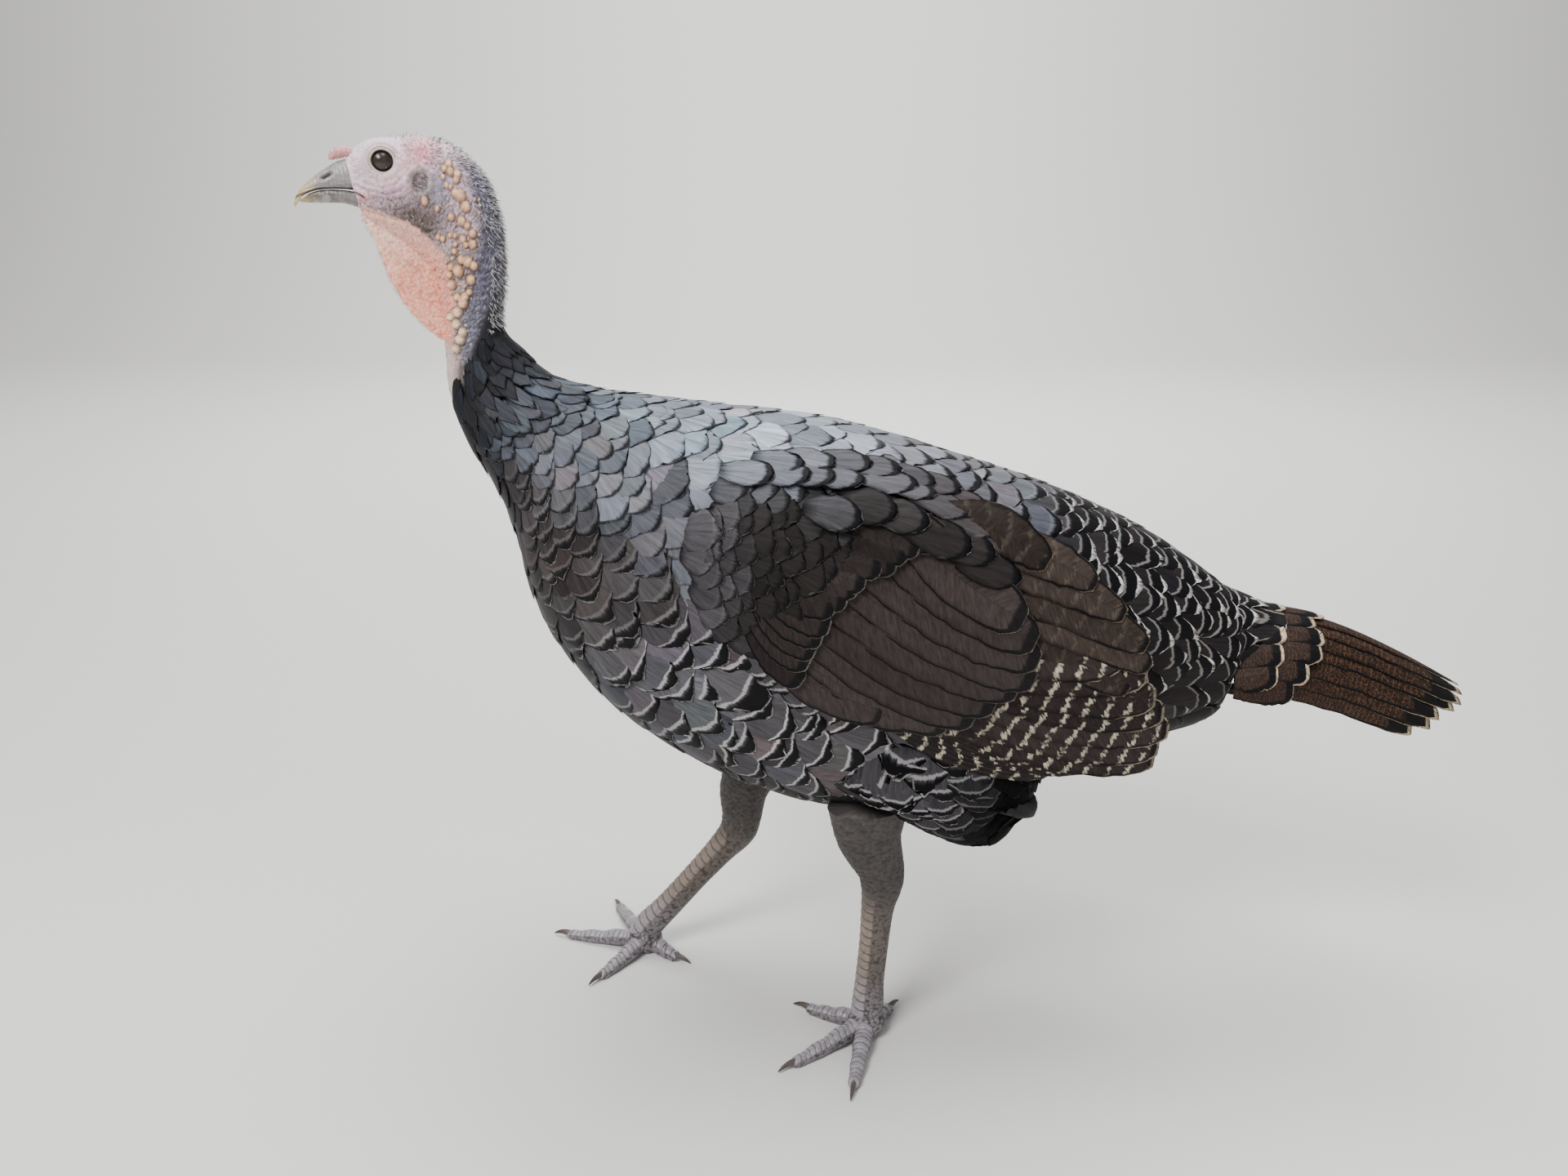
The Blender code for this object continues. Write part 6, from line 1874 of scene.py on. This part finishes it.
# Ground, fringe, the six values of the markings, seed and variation of each tier.
DARK = np.array(paint(45, 39, 38))
WING_LOOKS = {
    "primaries": (DARK * 0.8, paint(214, 208, 196), (0.3, 0.5, 0.2, 1.0, 0.1, 0.4), 71, 0.1),
    "secondaries": (DARK, paint(170, 156, 136), (1.8, 3.4, 0.9, 0.9, 0.45, 0.4), 72, 0.2),
    "tertials": (
        paint(54, 46, 42), paint(160, 138, 112), (0.7, 3.8, 0.95, 0.05, 0.4, 0.5), 73, 0.25),
    "greater_coverts": (
        DARK * 1.4, paint(150, 140, 130), (0.6, 7.5, 0.85, 0.0, 0.06, 0.85), 74, 0.2),
    "median_coverts": (
        DARK * 0.85, paint(150, 140, 130), (0.7, 6.0, 0.95, 0.0, 0.06, 0.6), 75, 0.2),
}


def wing_piece(word):
    """One folded wing: its fleshy pad under the feathers, and five tiers of long feathers."""
    side = SIDE_OF[word]
    draw = np.random.default_rng(60 + len(word))
    edges = spline(np.array(WING_EDGES, float) * MM, np.linspace(0, len(WING_EDGES) - 1, 46))
    down = np.concatenate([np.linspace(0, 1, 30), np.linspace(1, 0, 30)[1:-1]])[None, :]
    x = edges[:, [0]] + (edges[:, [2]] - edges[:, [0]]) * down
    z = edges[:, [1]] + (edges[:, [3]] - edges[:, [1]]) * down
    outer = np.arange(58)[None, :] < 30
    grid = wing_surface(side, np.where(outer, soft_lift(x, z) - 3.5 * MM, -6 * MM))(x, z)
    plain_tube("wing_pad_" + word, grid, paint(44, 38, 36), 0.7, "wing_" + word)
    sheets, marks = [], []
    for name, count, roots, tips, bow, half, lifts, step, tilt in WING_TIERS:
        share = np.linspace(0, 1, count)
        roots, tips = np.array(roots) * MM, np.array(tips) * MM
        tip = spline(tips, share * (len(tips) - 1)) + draw.normal(size=(count, 2)) * 1.4 * MM
        root = spline(roots, share * (len(roots) - 1))
        rise = step * np.arange(count) * MM
        low, high = (lift * MM + rise for lift in lifts)
        place = wing_place(side, root, tip, bow * MM, low, high, tilt)
        width = half * MM * draw.uniform(0.94, 1.06, count)
        length = np.linalg.norm(tip - root, axis=1)
        sheets.append(long_feathers(place, width, length, count, *WING_RIMS[name]))
        marks.append(plain_marks(count, *WING_LOOKS[name]))
    name = "flight_feathers_" + word
    feather_mesh(name, merged(sheets), merged(marks), None, "wing feathers", "flight_feathers")


# Roots of the long banded feathers over the wing's upper edge as (x, z): a lower row from the
# rear, then the upper ones from the rear, most of them in pairs.
SHOULDER_FEATHERS = (
    (20, 386), (4, 396), (-16, 405), (-36, 412), (-56, 418), (-76, 424),
    (40, 396), (28, 414), (22, 404), (12, 424), (8, 412), (-10, 431), (-10, 423), (-28, 438),
    (-28, 428), (-47, 443), (-46, 432), (-66, 447), (-66, 437), (-88, 450), (-86, 440),
    (-108, 450), (-106, 441), (-126, 444),
)
# Colours and markings of small coverts: the wing's own, then those that take after the back,
# the breast and the flank.
COVERT_LOOKS = np.array((
    (*paint(34, 31, 30), *paint(116, 108, 100), 0.5, 3.4, 0.9, 0.0, 0.03, 0.45),
    (*paint(96, 98, 105), *paint(130, 130, 136), 0.3, 5.0, 0.95, 0.0, 0.05, 0.9),
    (*paint(66, 64, 67), *paint(150, 148, 148), 0.5, 3.0, 0.85, 0.1, 0.15, 0.6),
    (*paint(66, 64, 67), *paint(196, 194, 192), 0.9, 5.4, 1.0, 0.9, 0.1, 0.5),
))
# The small coverts' last place behind at some heights, and the wing's roof along its length.
COVERTS_END = ((278, 300, 318, 361, 392, 422, 445, 470), (-54, -70, -92, -94, -80, -30, 22, 40))
WING_ROOF = ((-168, -80, -30, 8, 38, 60), (440, 448, 442, 430, 416, 398))


def roof_line(x):
    """The height of the wing's roof at x, in metres."""
    return np.interp(x / MM, *WING_ROOF) * MM


def small_coverts(side, draw):
    """Rows of small coverts over the wing's pad and a little over its edges, where they take
    the colours of the back above, the breast ahead and the flank below."""
    x, z = np.meshgrid(np.arange(-168, 60, 9.0), np.arange(278, 470, 13.0), indexing="ij")
    z = z + 6.5 * (np.arange(x.shape[0]) % 2)[:, None]
    u = (x.ravel() + draw.normal(size=x.size) * 1.3) * MM
    v = (z.ravel() + draw.normal(size=x.size) * 1.3) * MM
    last = np.interp(v / MM, *COVERTS_END) * MM
    inside = (soft_lift(u, v, 12 * MM) > 0.9 * MM) & (u < last) & (v < roof_line(u))
    u, v = u[inside], v[inside]
    n = len(u)
    x, z = u / MM, v / MM
    size = np.interp(x, (-150, -100, -40, 40), (24, 27, 31, 34)) * MM * (1 + 0.06 * draw.normal(size=n))
    steep = np.interp(z, (290, 330, 380, 440), (0.05, 0.35, 0.45, 0.16))
    heading = side * (steep + draw.normal(size=n) * 0.08)

    def surface(a, b):
        """The wing with its thickness, by (x, z)."""
        return wing_surface(side, soft_lift(a, b))(a, b)

    low = np.full(n, -1.8 * MM)
    high = np.interp(x, (-150, -60, 20), (0.5, 0.9, 1.8)) * MM + draw.uniform(0, 0.4, n) * MM
    high = high - 1.2 * MM * smooth(-14 * MM, 0, v - roof_line(u))
    sheets = lay_feathers(
        surface, (1 * MM, 1 * MM), u, v, (size, size * 0.52), heading, (low, high), -side, 81)
    wander = draw.normal(size=n) * 5
    top = smooth(412, 442, z + 0.10 * (x + 60) + wander)
    flank = smooth(350, 326, z + wander)
    front = smooth(-116, -140, x + wander) * (1 - top) * (1 - flank)
    middle = np.clip(1 - top - flank - front, 0, 1)
    share = np.stack([middle, top, front, flank], 1)
    share /= share.sum(1, keepdims=True)
    mixed = share @ COVERT_LOOKS
    marks = plain_marks(n, mixed[:, :3], mixed[:, 3:6], mixed[:, 6:].T, 82, 0.12)
    return sheets, marks, np.stack([x, z], 1)


def shoulder_feathers(side, draw):
    """Long banded feathers over the wing's roof, darker in the row below it. Behind the
    shoulder, those under the roof's line are raised further off the wing."""
    root = np.array(SHOULDER_FEATHERS, float)
    count = len(root)
    u, v = (root + draw.normal(size=root.shape) * 1.5).T * MM
    size = np.interp(root[:, 0], (-150, 30), (34, 44)) * MM * (1 + 0.06 * draw.normal(size=count))
    heading = side * (0.30 + draw.normal(size=count) * 0.06)
    lift = np.linspace(1.6, 2.8, count) * MM

    def surface(a, b):
        """The wing with its thickness and the space under these feathers, by (x, z)."""
        space = 5.6 * MM * smooth(-84 * MM, -48 * MM, a) * smooth(4 * MM, 17 * MM, roof_line(a) - b)
        return wing_surface(side, soft_lift(a, b) + space)(a, b)

    sheets = lay_feathers(
        surface, (1 * MM, 1 * MM), u, v, (size, size * 0.29), heading, (lift - 2.4 * MM, lift),
        -side, 83, blunt=0.4)
    under_roof = roof_line(root[:, 0] * MM) / MM - root[:, 1]
    back = np.interp(root[:, 0], (-120, 10), (0, 1))[:, None]
    ground = blend(paint(104, 107, 115), paint(64, 59, 59), back)
    ground = blend(ground, paint(42, 38, 37), 0.9 * smooth(18, 26, under_roof)[:, None])
    values = 0.5, 6.0, 1.0, 0.0, 0.05, 0.9
    return sheets, plain_marks(count, ground, paint(176, 176, 180), values, 84, 0.14), root


def covert_piece(word):
    """The wing's small coverts and the banded shoulder feathers over its roof."""
    draw = np.random.default_rng(80 + len(word))
    both = [maker(SIDE_OF[word], draw) for maker in (small_coverts, shoulder_feathers)]
    sheets, marks, roots = zip(*both)
    spots = (np.concatenate(roots) + np.array((180, -270))) / np.array((240, 200)) * 0.96 + 0.02
    name = "wing_coverts_" + word
    feather_mesh(name, merged(sheets), merged(marks), spots, "body feathers", "flight_feathers")


# Tiers of the tail: number to a side, degrees from one to the next, their shift in radians,
# depth under the roof in millimetres, how much deeper each next one lies and how much those on
# the right, start along the ridge, end of the middle one, how far the outer ones fall short and
# by what power, half width, length and kind.
TAIL_TIERS = (
    (6, 12, 0.0, 1.6, 1.6, 0.48, 0.03, 1.0, 0.19, 1.5, 15.0, 172.0, "tail"),
    (5, 15, 0.01, -1.2, 0.5, 0.2, -0.02, 0.5, 0.15, 1.0, 14.0, 92.0, "covert"),
    (4, 17, -0.02, -3.0, 0.5, 0.2, -0.05, 0.34, 0.088, 1.0, 13.0, 66.0, "covert"),
    (3, 26, 0.0, 17.0, 1.1, 0.0, 0.0, 0.40, 0.06, 1.0, 12.0, 70.0, "under"),
)
# Ground, fringe and the values of the markings, where a covert's fringe is drawn for each one.
TAIL_LOOKS = {
    "tail": (paint(36, 28, 25), paint(196, 178, 146), (3.0, 15.0, 0.95, 0.75, 0.8, 0.35), 32),
    "covert": (paint(40, 33, 31), paint(214, 190, 162), (None, 9.0, 1.0, 0.5, 0.7, 0.3), 33),
    "under": (paint(40, 34, 32), paint(206, 190, 170), (1.6, 6.0, 0.9, 0.5, 0.4, 0.2), 34),
}


def tail_place(turn, bend, inwards, start, end):
    """Places the tail's feathers along its ridge, each turned about it and bent sideways by the
    square of the share along."""
    turn, bend, inwards, end = (given[:, None, None] for given in (turn, bend, inwards, end))

    def place(share, offset):
        """Points and normals of vanes by the share along and the offset across."""
        at = start + (end - start) * share
        around = turn + bend * share**2 + offset / TAIL_ROUND[1]
        depth = inwards * MM + 0 * share
        points = tail_surface(at, around, depth)
        return points, unit(tail_surface(at, around, depth - 1 * MM) - points)

    return place


def tail_piece():
    """Thirteen tail feathers roofed over one another under the ridge, two tiers of long coverts
    over their roots and one below."""
    draw = np.random.default_rng(31)
    sheets, marks = [], []
    for (count, apart, shift, depth, deeper, deeper_right, start, end, short, power, half,
         length, kind) in TAIL_TIERS:
        k = np.arange(-count, count + 1)
        n, steps = len(k), np.abs(k)
        inwards = depth + deeper * steps + deeper_right * (k < 0)
        turn = k * radians(apart) + shift + draw.normal(size=n) * radians(0.6)
        end = end - short * (steps / count) ** power
        end = end + draw.normal(size=n) * (0.022 if kind == "covert" else 0.01)
        place = tail_place(turn, draw.normal(size=n) * radians(1.2), inwards, start, end)
        width = half * MM * draw.uniform(0.95, 1.05, n)
        rim = 9.0 if kind == "tail" else 2.4
        sheets.append(long_feathers(place, width, np.full(n, length * MM), n, rim, thick=0.6 * MM))
        ground, fringe, values, seed = TAIL_LOOKS[kind]
        if kind == "covert":
            values = draw.uniform(4.0, 13.0, n) * (1.15 - 0.8 * np.abs(turn)), *values[1:]
        marks.append(plain_marks(n, ground, fringe, values, seed))
    feather_mesh("tail_feathers", merged(sheets), merged(marks), None, "tail feathers",
                 "flight_feathers", ("tail",))


# the feather coat

# Stations, then length and half width of the body feathers there in millimetres.
FEATHER_SIZES = (
    (13, 15, 17, 19, 21, 23, 25, 27, 29, 31, 34),
    (12, 18, 25, 29, 32, 34, 39, 50, 54, 52, 46),
    (2.6, 4.0, 7.4, 13.5, 18.0, 18.5, 17.5, 18.0, 18.0, 17.0, 15.0),
)


def feather_size(station, angle):
    """Length and half width of body feathers, read between stations; larger on the flanks."""
    length, width = (np.interp(station, FEATHER_SIZES[0], row) for row in FEATHER_SIZES[1:])
    down = np.abs(angle)
    low = smooth(pi * 0.35, pi * 0.6, down) * smooth(20, 23, station)
    flank = hump(down, radians(118), radians(34)) * smooth(20.5, 22.5, station) * smooth(29, 26, station)
    front = smooth(radians(70), radians(110), down) * smooth(22, 20, station)
    return length * (1 + 0.2 * low) * MM, width * (1 + 0.12 * low + 0.26 * flank - 0.18 * front) * MM


def coat_start(angle):
    """The station where feathers begin: high on the nape, lower down the front of the neck."""
    down = np.abs(wrapped(angle))
    side = 2.0 * smooth(radians(50), radians(120), down)
    return 12.7 + side + 1.7 * smooth(radians(125), radians(165), down)


def coat_roots(first, last, exposure, seed):
    """Roots in rings: each ring a feather's visible length behind the last, its feathers apart
    by 0.7 of their own width, and every second ring shifted by half of that."""
    draw = np.random.default_rng(seed)
    stations, angles = [], []
    at, ring = first, 0
    while at < last:
        turn = np.linspace(0, 2 * pi, 145)
        around = body_point(np.full(145, at), turn)
        length, width = feather_size(np.full(144, at), wrapped((turn[1:] + turn[:-1]) / 2))
        parts = np.linalg.norm(np.diff(around, axis=0), axis=1) / (width * 2 * 0.70)
        whole = np.concatenate([[0], np.cumsum(parts)])
        count = max(int(whole[-1]), 10)
        place = (np.arange(count) + 0.5 * (ring % 2) + draw.normal(size=count) * 0.14) / count % 1
        stations.append(at + draw.normal(size=count) * 0.06)
        angles.append(wrapped(np.interp(place * whole[-1], whole, turn)))
        side = slopes(body_point, np.array([at]), np.array([pi / 2]), 0.02, 0.02)[0]
        at += exposure * length[36] / np.linalg.norm(side)
        ring += 1
    return np.concatenate(stations), np.concatenate(angles)


def coat_pieces(coat):
    """The small feathers of the whole body, in four pieces by station and angle."""
    station, angle = coat_roots(12.2, 33.2, coat.exposure, coat.seed)
    grown = station > coat_start(angle)
    station, angle = station[grown], angle[grown]
    draw = np.random.default_rng(coat.seed + 1)
    length, width = feather_size(station, angle)
    n = len(station)
    length = length * (1 + 0.07 * draw.normal(size=n))
    width = width * (1 + 0.06 * draw.normal(size=n))
    behind_edge = station - coat_start(angle)
    low = np.maximum(-coat_depth(station, coat.depth) * 0.9, -2.3 * MM) - 0.2 * MM
    low = low - 0.8 * MM * smooth(1.4, 0.0, behind_edge)
    high = -0.3 * MM - np.abs(draw.normal(size=n)) * 0.35 * MM
    ruffle = smooth(19.5, 15.5, station) * draw.uniform(0.0, 1.0, n) * smooth(0.3, 2.4, behind_edge)
    high = high + ruffle * 1.8 * MM - 1.5 * MM * smooth(1.4, 0.0, behind_edge)
    heading = draw.normal(size=n) * (0.10 + 0.26 * smooth(18.5, 15, station))
    blunt = 0.5 + 0.42 * smooth(19.0, 15.5, station)
    sheets = lay_feathers(
        body_point, (0.02, 0.01), station, angle, (length, width), heading, (low, high),
        -1.0, coat.seed + 2, blunt)
    marks = zone_marks(station, angle, coat.seed + 3)
    roots = skin_spots(station, angle)
    collar, rear, upper = station < 18, station >= 22.5, np.abs(angle) <= radians(75)
    parts = (
        ("collar_feathers", collar), ("front_feathers", ~collar & ~rear),
        ("flank_feathers", rear & ~upper), ("back_feathers", rear & upper),
    )
    for name, chosen in parts:
        some = [{key: value[chosen] for key, value in table.items()} for table in (sheets, marks)]
        feather_mesh(name, *some, roots[chosen], "body feathers", "body_plumage")


# settings


class HeadLooks(PropertyGroup):
    """Colours and sizes of the bare head."""

    face_colour: FloatVectorProperty(
        name="Face", description="Ground colour of the bare face", subtype="COLOR",
        default=paint(244, 214, 224), min=0, max=1)
    caruncle_colour: FloatVectorProperty(
        name="Caruncles", description="Colour of the fleshy bulbs down the nape", subtype="COLOR",
        default=paint(226, 172, 128), min=0, max=1)
    dewlap_colour: FloatVectorProperty(
        name="Dewlap", description="Colour of the fold under the throat", subtype="COLOR",
        default=paint(248, 160, 136), min=0, max=1)
    iris_colour: FloatVectorProperty(
        name="Iris", description="Colour of the eye's iris", subtype="COLOR",
        default=paint(150, 104, 72), min=0, max=1)
    horn_colour: FloatVectorProperty(
        name="Horn", description="Colour of the bill's base", subtype="COLOR",
        default=paint(146, 140, 140), min=0, max=1)
    bill_tip_colour: FloatVectorProperty(
        name="Bill tip", description="Colour of the bill's tip", subtype="COLOR",
        default=paint(196, 176, 128), min=0, max=1)
    bristle_length: FloatProperty(
        name="Bristles", description="Length of the bristles on the nape", subtype="DISTANCE",
        unit="LENGTH", default=5 * MM, min=1 * MM, max=15 * MM)


class CoatLooks(PropertyGroup):
    """Sizes of the feather coat."""

    depth: FloatProperty(
        name="Coat depth", description="How far the skin lies under the feather tips",
        subtype="DISTANCE", unit="LENGTH", default=7 * MM, min=1 * MM, max=15 * MM)
    exposure: FloatProperty(
        name="Row spacing", description="Visible part of each feather, as a share of its length",
        default=0.34, min=0.2, max=0.6)
    seed: IntProperty(name="Seed", description="Start of every random draw", default=7, min=0)


class StageLooks(PropertyGroup):
    """Floor and light."""

    floor_colour: FloatVectorProperty(
        name="Floor", description="Colour of the floor and backdrop", subtype="COLOR",
        default=(0.80, 0.79, 0.77), min=0, max=1)
    key_power: FloatProperty(
        name="Key light", description="Power of the main light in watts", default=26.0, min=0)


# operators


class TURKEY_OT_materials(Operator):
    """Makes the materials that the pieces share"""

    bl_idname = "turkey.materials"
    bl_label = "Materials"

    def execute(self, context):
        marking_group()
        flesh_group()
        for row in FLESH_LOOKS:
            flesh_material(*row)
        for row in FEATHER_LOOKS:
            feather_material(*row)
        return {"FINISHED"}


class TURKEY_OT_skin(Operator):
    """Makes the one skin of head, neck and body"""

    bl_idname = "turkey.skin"
    bl_label = "Skin"

    def execute(self, context):
        skin_piece(context.scene.turkey_head, context.scene.turkey_coat)
        return {"FINISHED"}


class TURKEY_OT_coat(Operator):
    """Lays the small feathers of collar, breast, back, flanks and belly"""

    bl_idname = "turkey.coat"
    bl_label = "Body feathers"

    def execute(self, context):
        coat_pieces(context.scene.turkey_coat)
        return {"FINISHED"}


class TURKEY_OT_head(Operator):
    """Makes the bill, eyes, lids, dewlap, snood and bristles"""

    bl_idname = "turkey.head"
    bl_label = "Head"

    def execute(self, context):
        looks = context.scene.turkey_head
        bill_piece(looks)
        for word in SIDE_OF:
            eye_piece(word, looks)
            lid_piece(word, looks)
        dewlap_piece(looks)
        snood_piece()
        bristle_piece(looks)
        return {"FINISHED"}


class TURKEY_OT_legs(Operator):
    """Makes the thighs, scaly legs, feet and claws"""

    bl_idname = "turkey.legs"
    bl_label = "Legs"

    def execute(self, context):
        for word in SIDE_OF:
            thigh_piece(word, context.scene.turkey_coat)
            leg_piece(word)
            claw_piece(word)
        return {"FINISHED"}


class TURKEY_OT_wings(Operator):
    """Makes both folded wings"""

    bl_idname = "turkey.wings"
    bl_label = "Wings"

    def execute(self, context):
        for word in SIDE_OF:
            wing_piece(word)
            covert_piece(word)
        return {"FINISHED"}


class TURKEY_OT_tail(Operator):
    """Makes the closed tail and its coverts"""

    bl_idname = "turkey.tail"
    bl_label = "Tail"

    def execute(self, context):
        tail_piece()
        return {"FINISHED"}


class TURKEY_OT_stage(Operator):
    """Makes the floor, backdrop, lights and camera"""

    bl_idname = "turkey.stage"
    bl_label = "Stage"

    def execute(self, context):
        looks = context.scene.turkey_stage
        scene = context.scene
        across = np.linspace(-7, 7, 29)
        arc = np.linspace(0, pi / 2, 17)
        deep = np.concatenate([np.linspace(-5, 4.0, 19), 4.0 + 2.0 * np.sin(arc[1:]), [6.0] * 8])
        high = np.concatenate([np.zeros(19), 2.0 - 2.0 * np.cos(arc[1:]), np.linspace(2.5, 7, 8)])
        points = np.stack(np.broadcast_arrays(across, deep[:, None], high[:, None]), -1)
        index = np.arange(len(deep) * len(across)).reshape(len(deep), len(across))
        corners = [index[:-1, :-1], index[:-1, 1:], index[1:, 1:], index[1:, :-1]]
        quads = np.stack(corners, -1).reshape(-1, 4)
        mesh = bpy.data.meshes.new("floor")
        mesh.from_pydata(points.reshape(-1, 3).tolist(), [], quads.tolist())
        mesh.shade_smooth()
        constants = {"Roughness": 0.8, "Specular IOR Level": 0.2, "Base Color": (*looks.floor_colour, 1.0)}
        mesh.materials.append(new_material("floor", constants)[0])
        floor = bpy.data.objects.new("floor", mesh)
        scene.collection.objects.link(floor)
        lights = (
            ("key", (-1.2, -1.7, 2.3), (0.0, 0.0, 0.35), 0.9, looks.key_power * 2.7),
            ("fill", (1.6, -2.2, 1.2), (0.05, 0.0, 0.3), 2.2, looks.key_power * 0.25),
            ("top", (0.1, 0.2, 2.6), (0.0, 0.0, 0.3), 1.8, looks.key_power * 2.9),
            ("backdrop", (0.0, 2.2, 3.2), (0.0, 5.6, 1.2), 3.0, looks.key_power * 9.0),
        )
        for name, at, towards, size, power in lights:
            data = bpy.data.lights.new(name, "AREA")
            data.energy = power
            data.size = size
            lamp = bpy.data.objects.new(name, data)
            lamp.location = at
            way = np.array(towards) - np.array(at)
            tip = np.arctan2(np.hypot(way[0], way[1]), -way[2])
            lamp.rotation_euler = (tip, 0.0, np.arctan2(way[1], way[0]) - pi / 2)
            scene.collection.objects.link(lamp)
        world = bpy.data.worlds.new("soft light")
        world.use_nodes = True
        background = world.node_tree.nodes["Background"].inputs
        background["Color"].default_value = (0.97, 0.98, 1.0, 1)
        background["Strength"].default_value = 0.33
        scene.world = world
        data = bpy.data.cameras.new("camera")
        data.lens = 27.06
        data.sensor_width = 36.0
        camera = bpy.data.objects.new("camera", data)
        camera.location = (-0.0932, -0.8011, 0.60)
        camera.rotation_euler = (radians(72), 0, 0)
        scene.collection.objects.link(camera)
        scene.camera = camera
        return {"FINISHED"}


class TURKEY_PT_panel(Panel):
    """Lists the steps and their settings"""

    bl_idname = "TURKEY_PT_panel"
    bl_label = "Turkey"
    bl_space_type = "VIEW_3D"
    bl_region_type = "UI"
    bl_category = "Turkey"

    def draw(self, context):
        """Shows each group of settings in a box, then a button for every step."""
        scene = context.scene
        for group in (scene.turkey_head, scene.turkey_coat, scene.turkey_stage):
            box = self.layout.box()
            for key in group.__annotations__:
                box.prop(group, key)
        for step in STEPS:
            self.layout.operator(step.bl_idname)


STEPS = (
    TURKEY_OT_materials, TURKEY_OT_skin, TURKEY_OT_head, TURKEY_OT_coat, TURKEY_OT_legs,
    TURKEY_OT_wings, TURKEY_OT_tail, TURKEY_OT_stage,
)
GROUPS = (HeadLooks, CoatLooks, StageLooks)


def register():
    """Adds the classes, and the settings to the scene."""
    for item in (*GROUPS, *STEPS, TURKEY_PT_panel):
        bpy.utils.register_class(item)
    bpy.types.Scene.turkey_head = PointerProperty(type=HeadLooks)
    bpy.types.Scene.turkey_coat = PointerProperty(type=CoatLooks)
    bpy.types.Scene.turkey_stage = PointerProperty(type=StageLooks)


def unregister():
    """Takes away what `register` adds."""
    del bpy.types.Scene.turkey_head
    del bpy.types.Scene.turkey_coat
    del bpy.types.Scene.turkey_stage
    for item in (TURKEY_PT_panel, *reversed(STEPS), *reversed(GROUPS)):
        bpy.utils.unregister_class(item)


def main():
    """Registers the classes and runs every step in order."""
    register()
    for step in STEPS:
        area, name = step.bl_idname.split(".")
        getattr(getattr(bpy.ops, area), name)()
    bpy.context.view_layer.update()


if __name__ == "__main__":
    main()
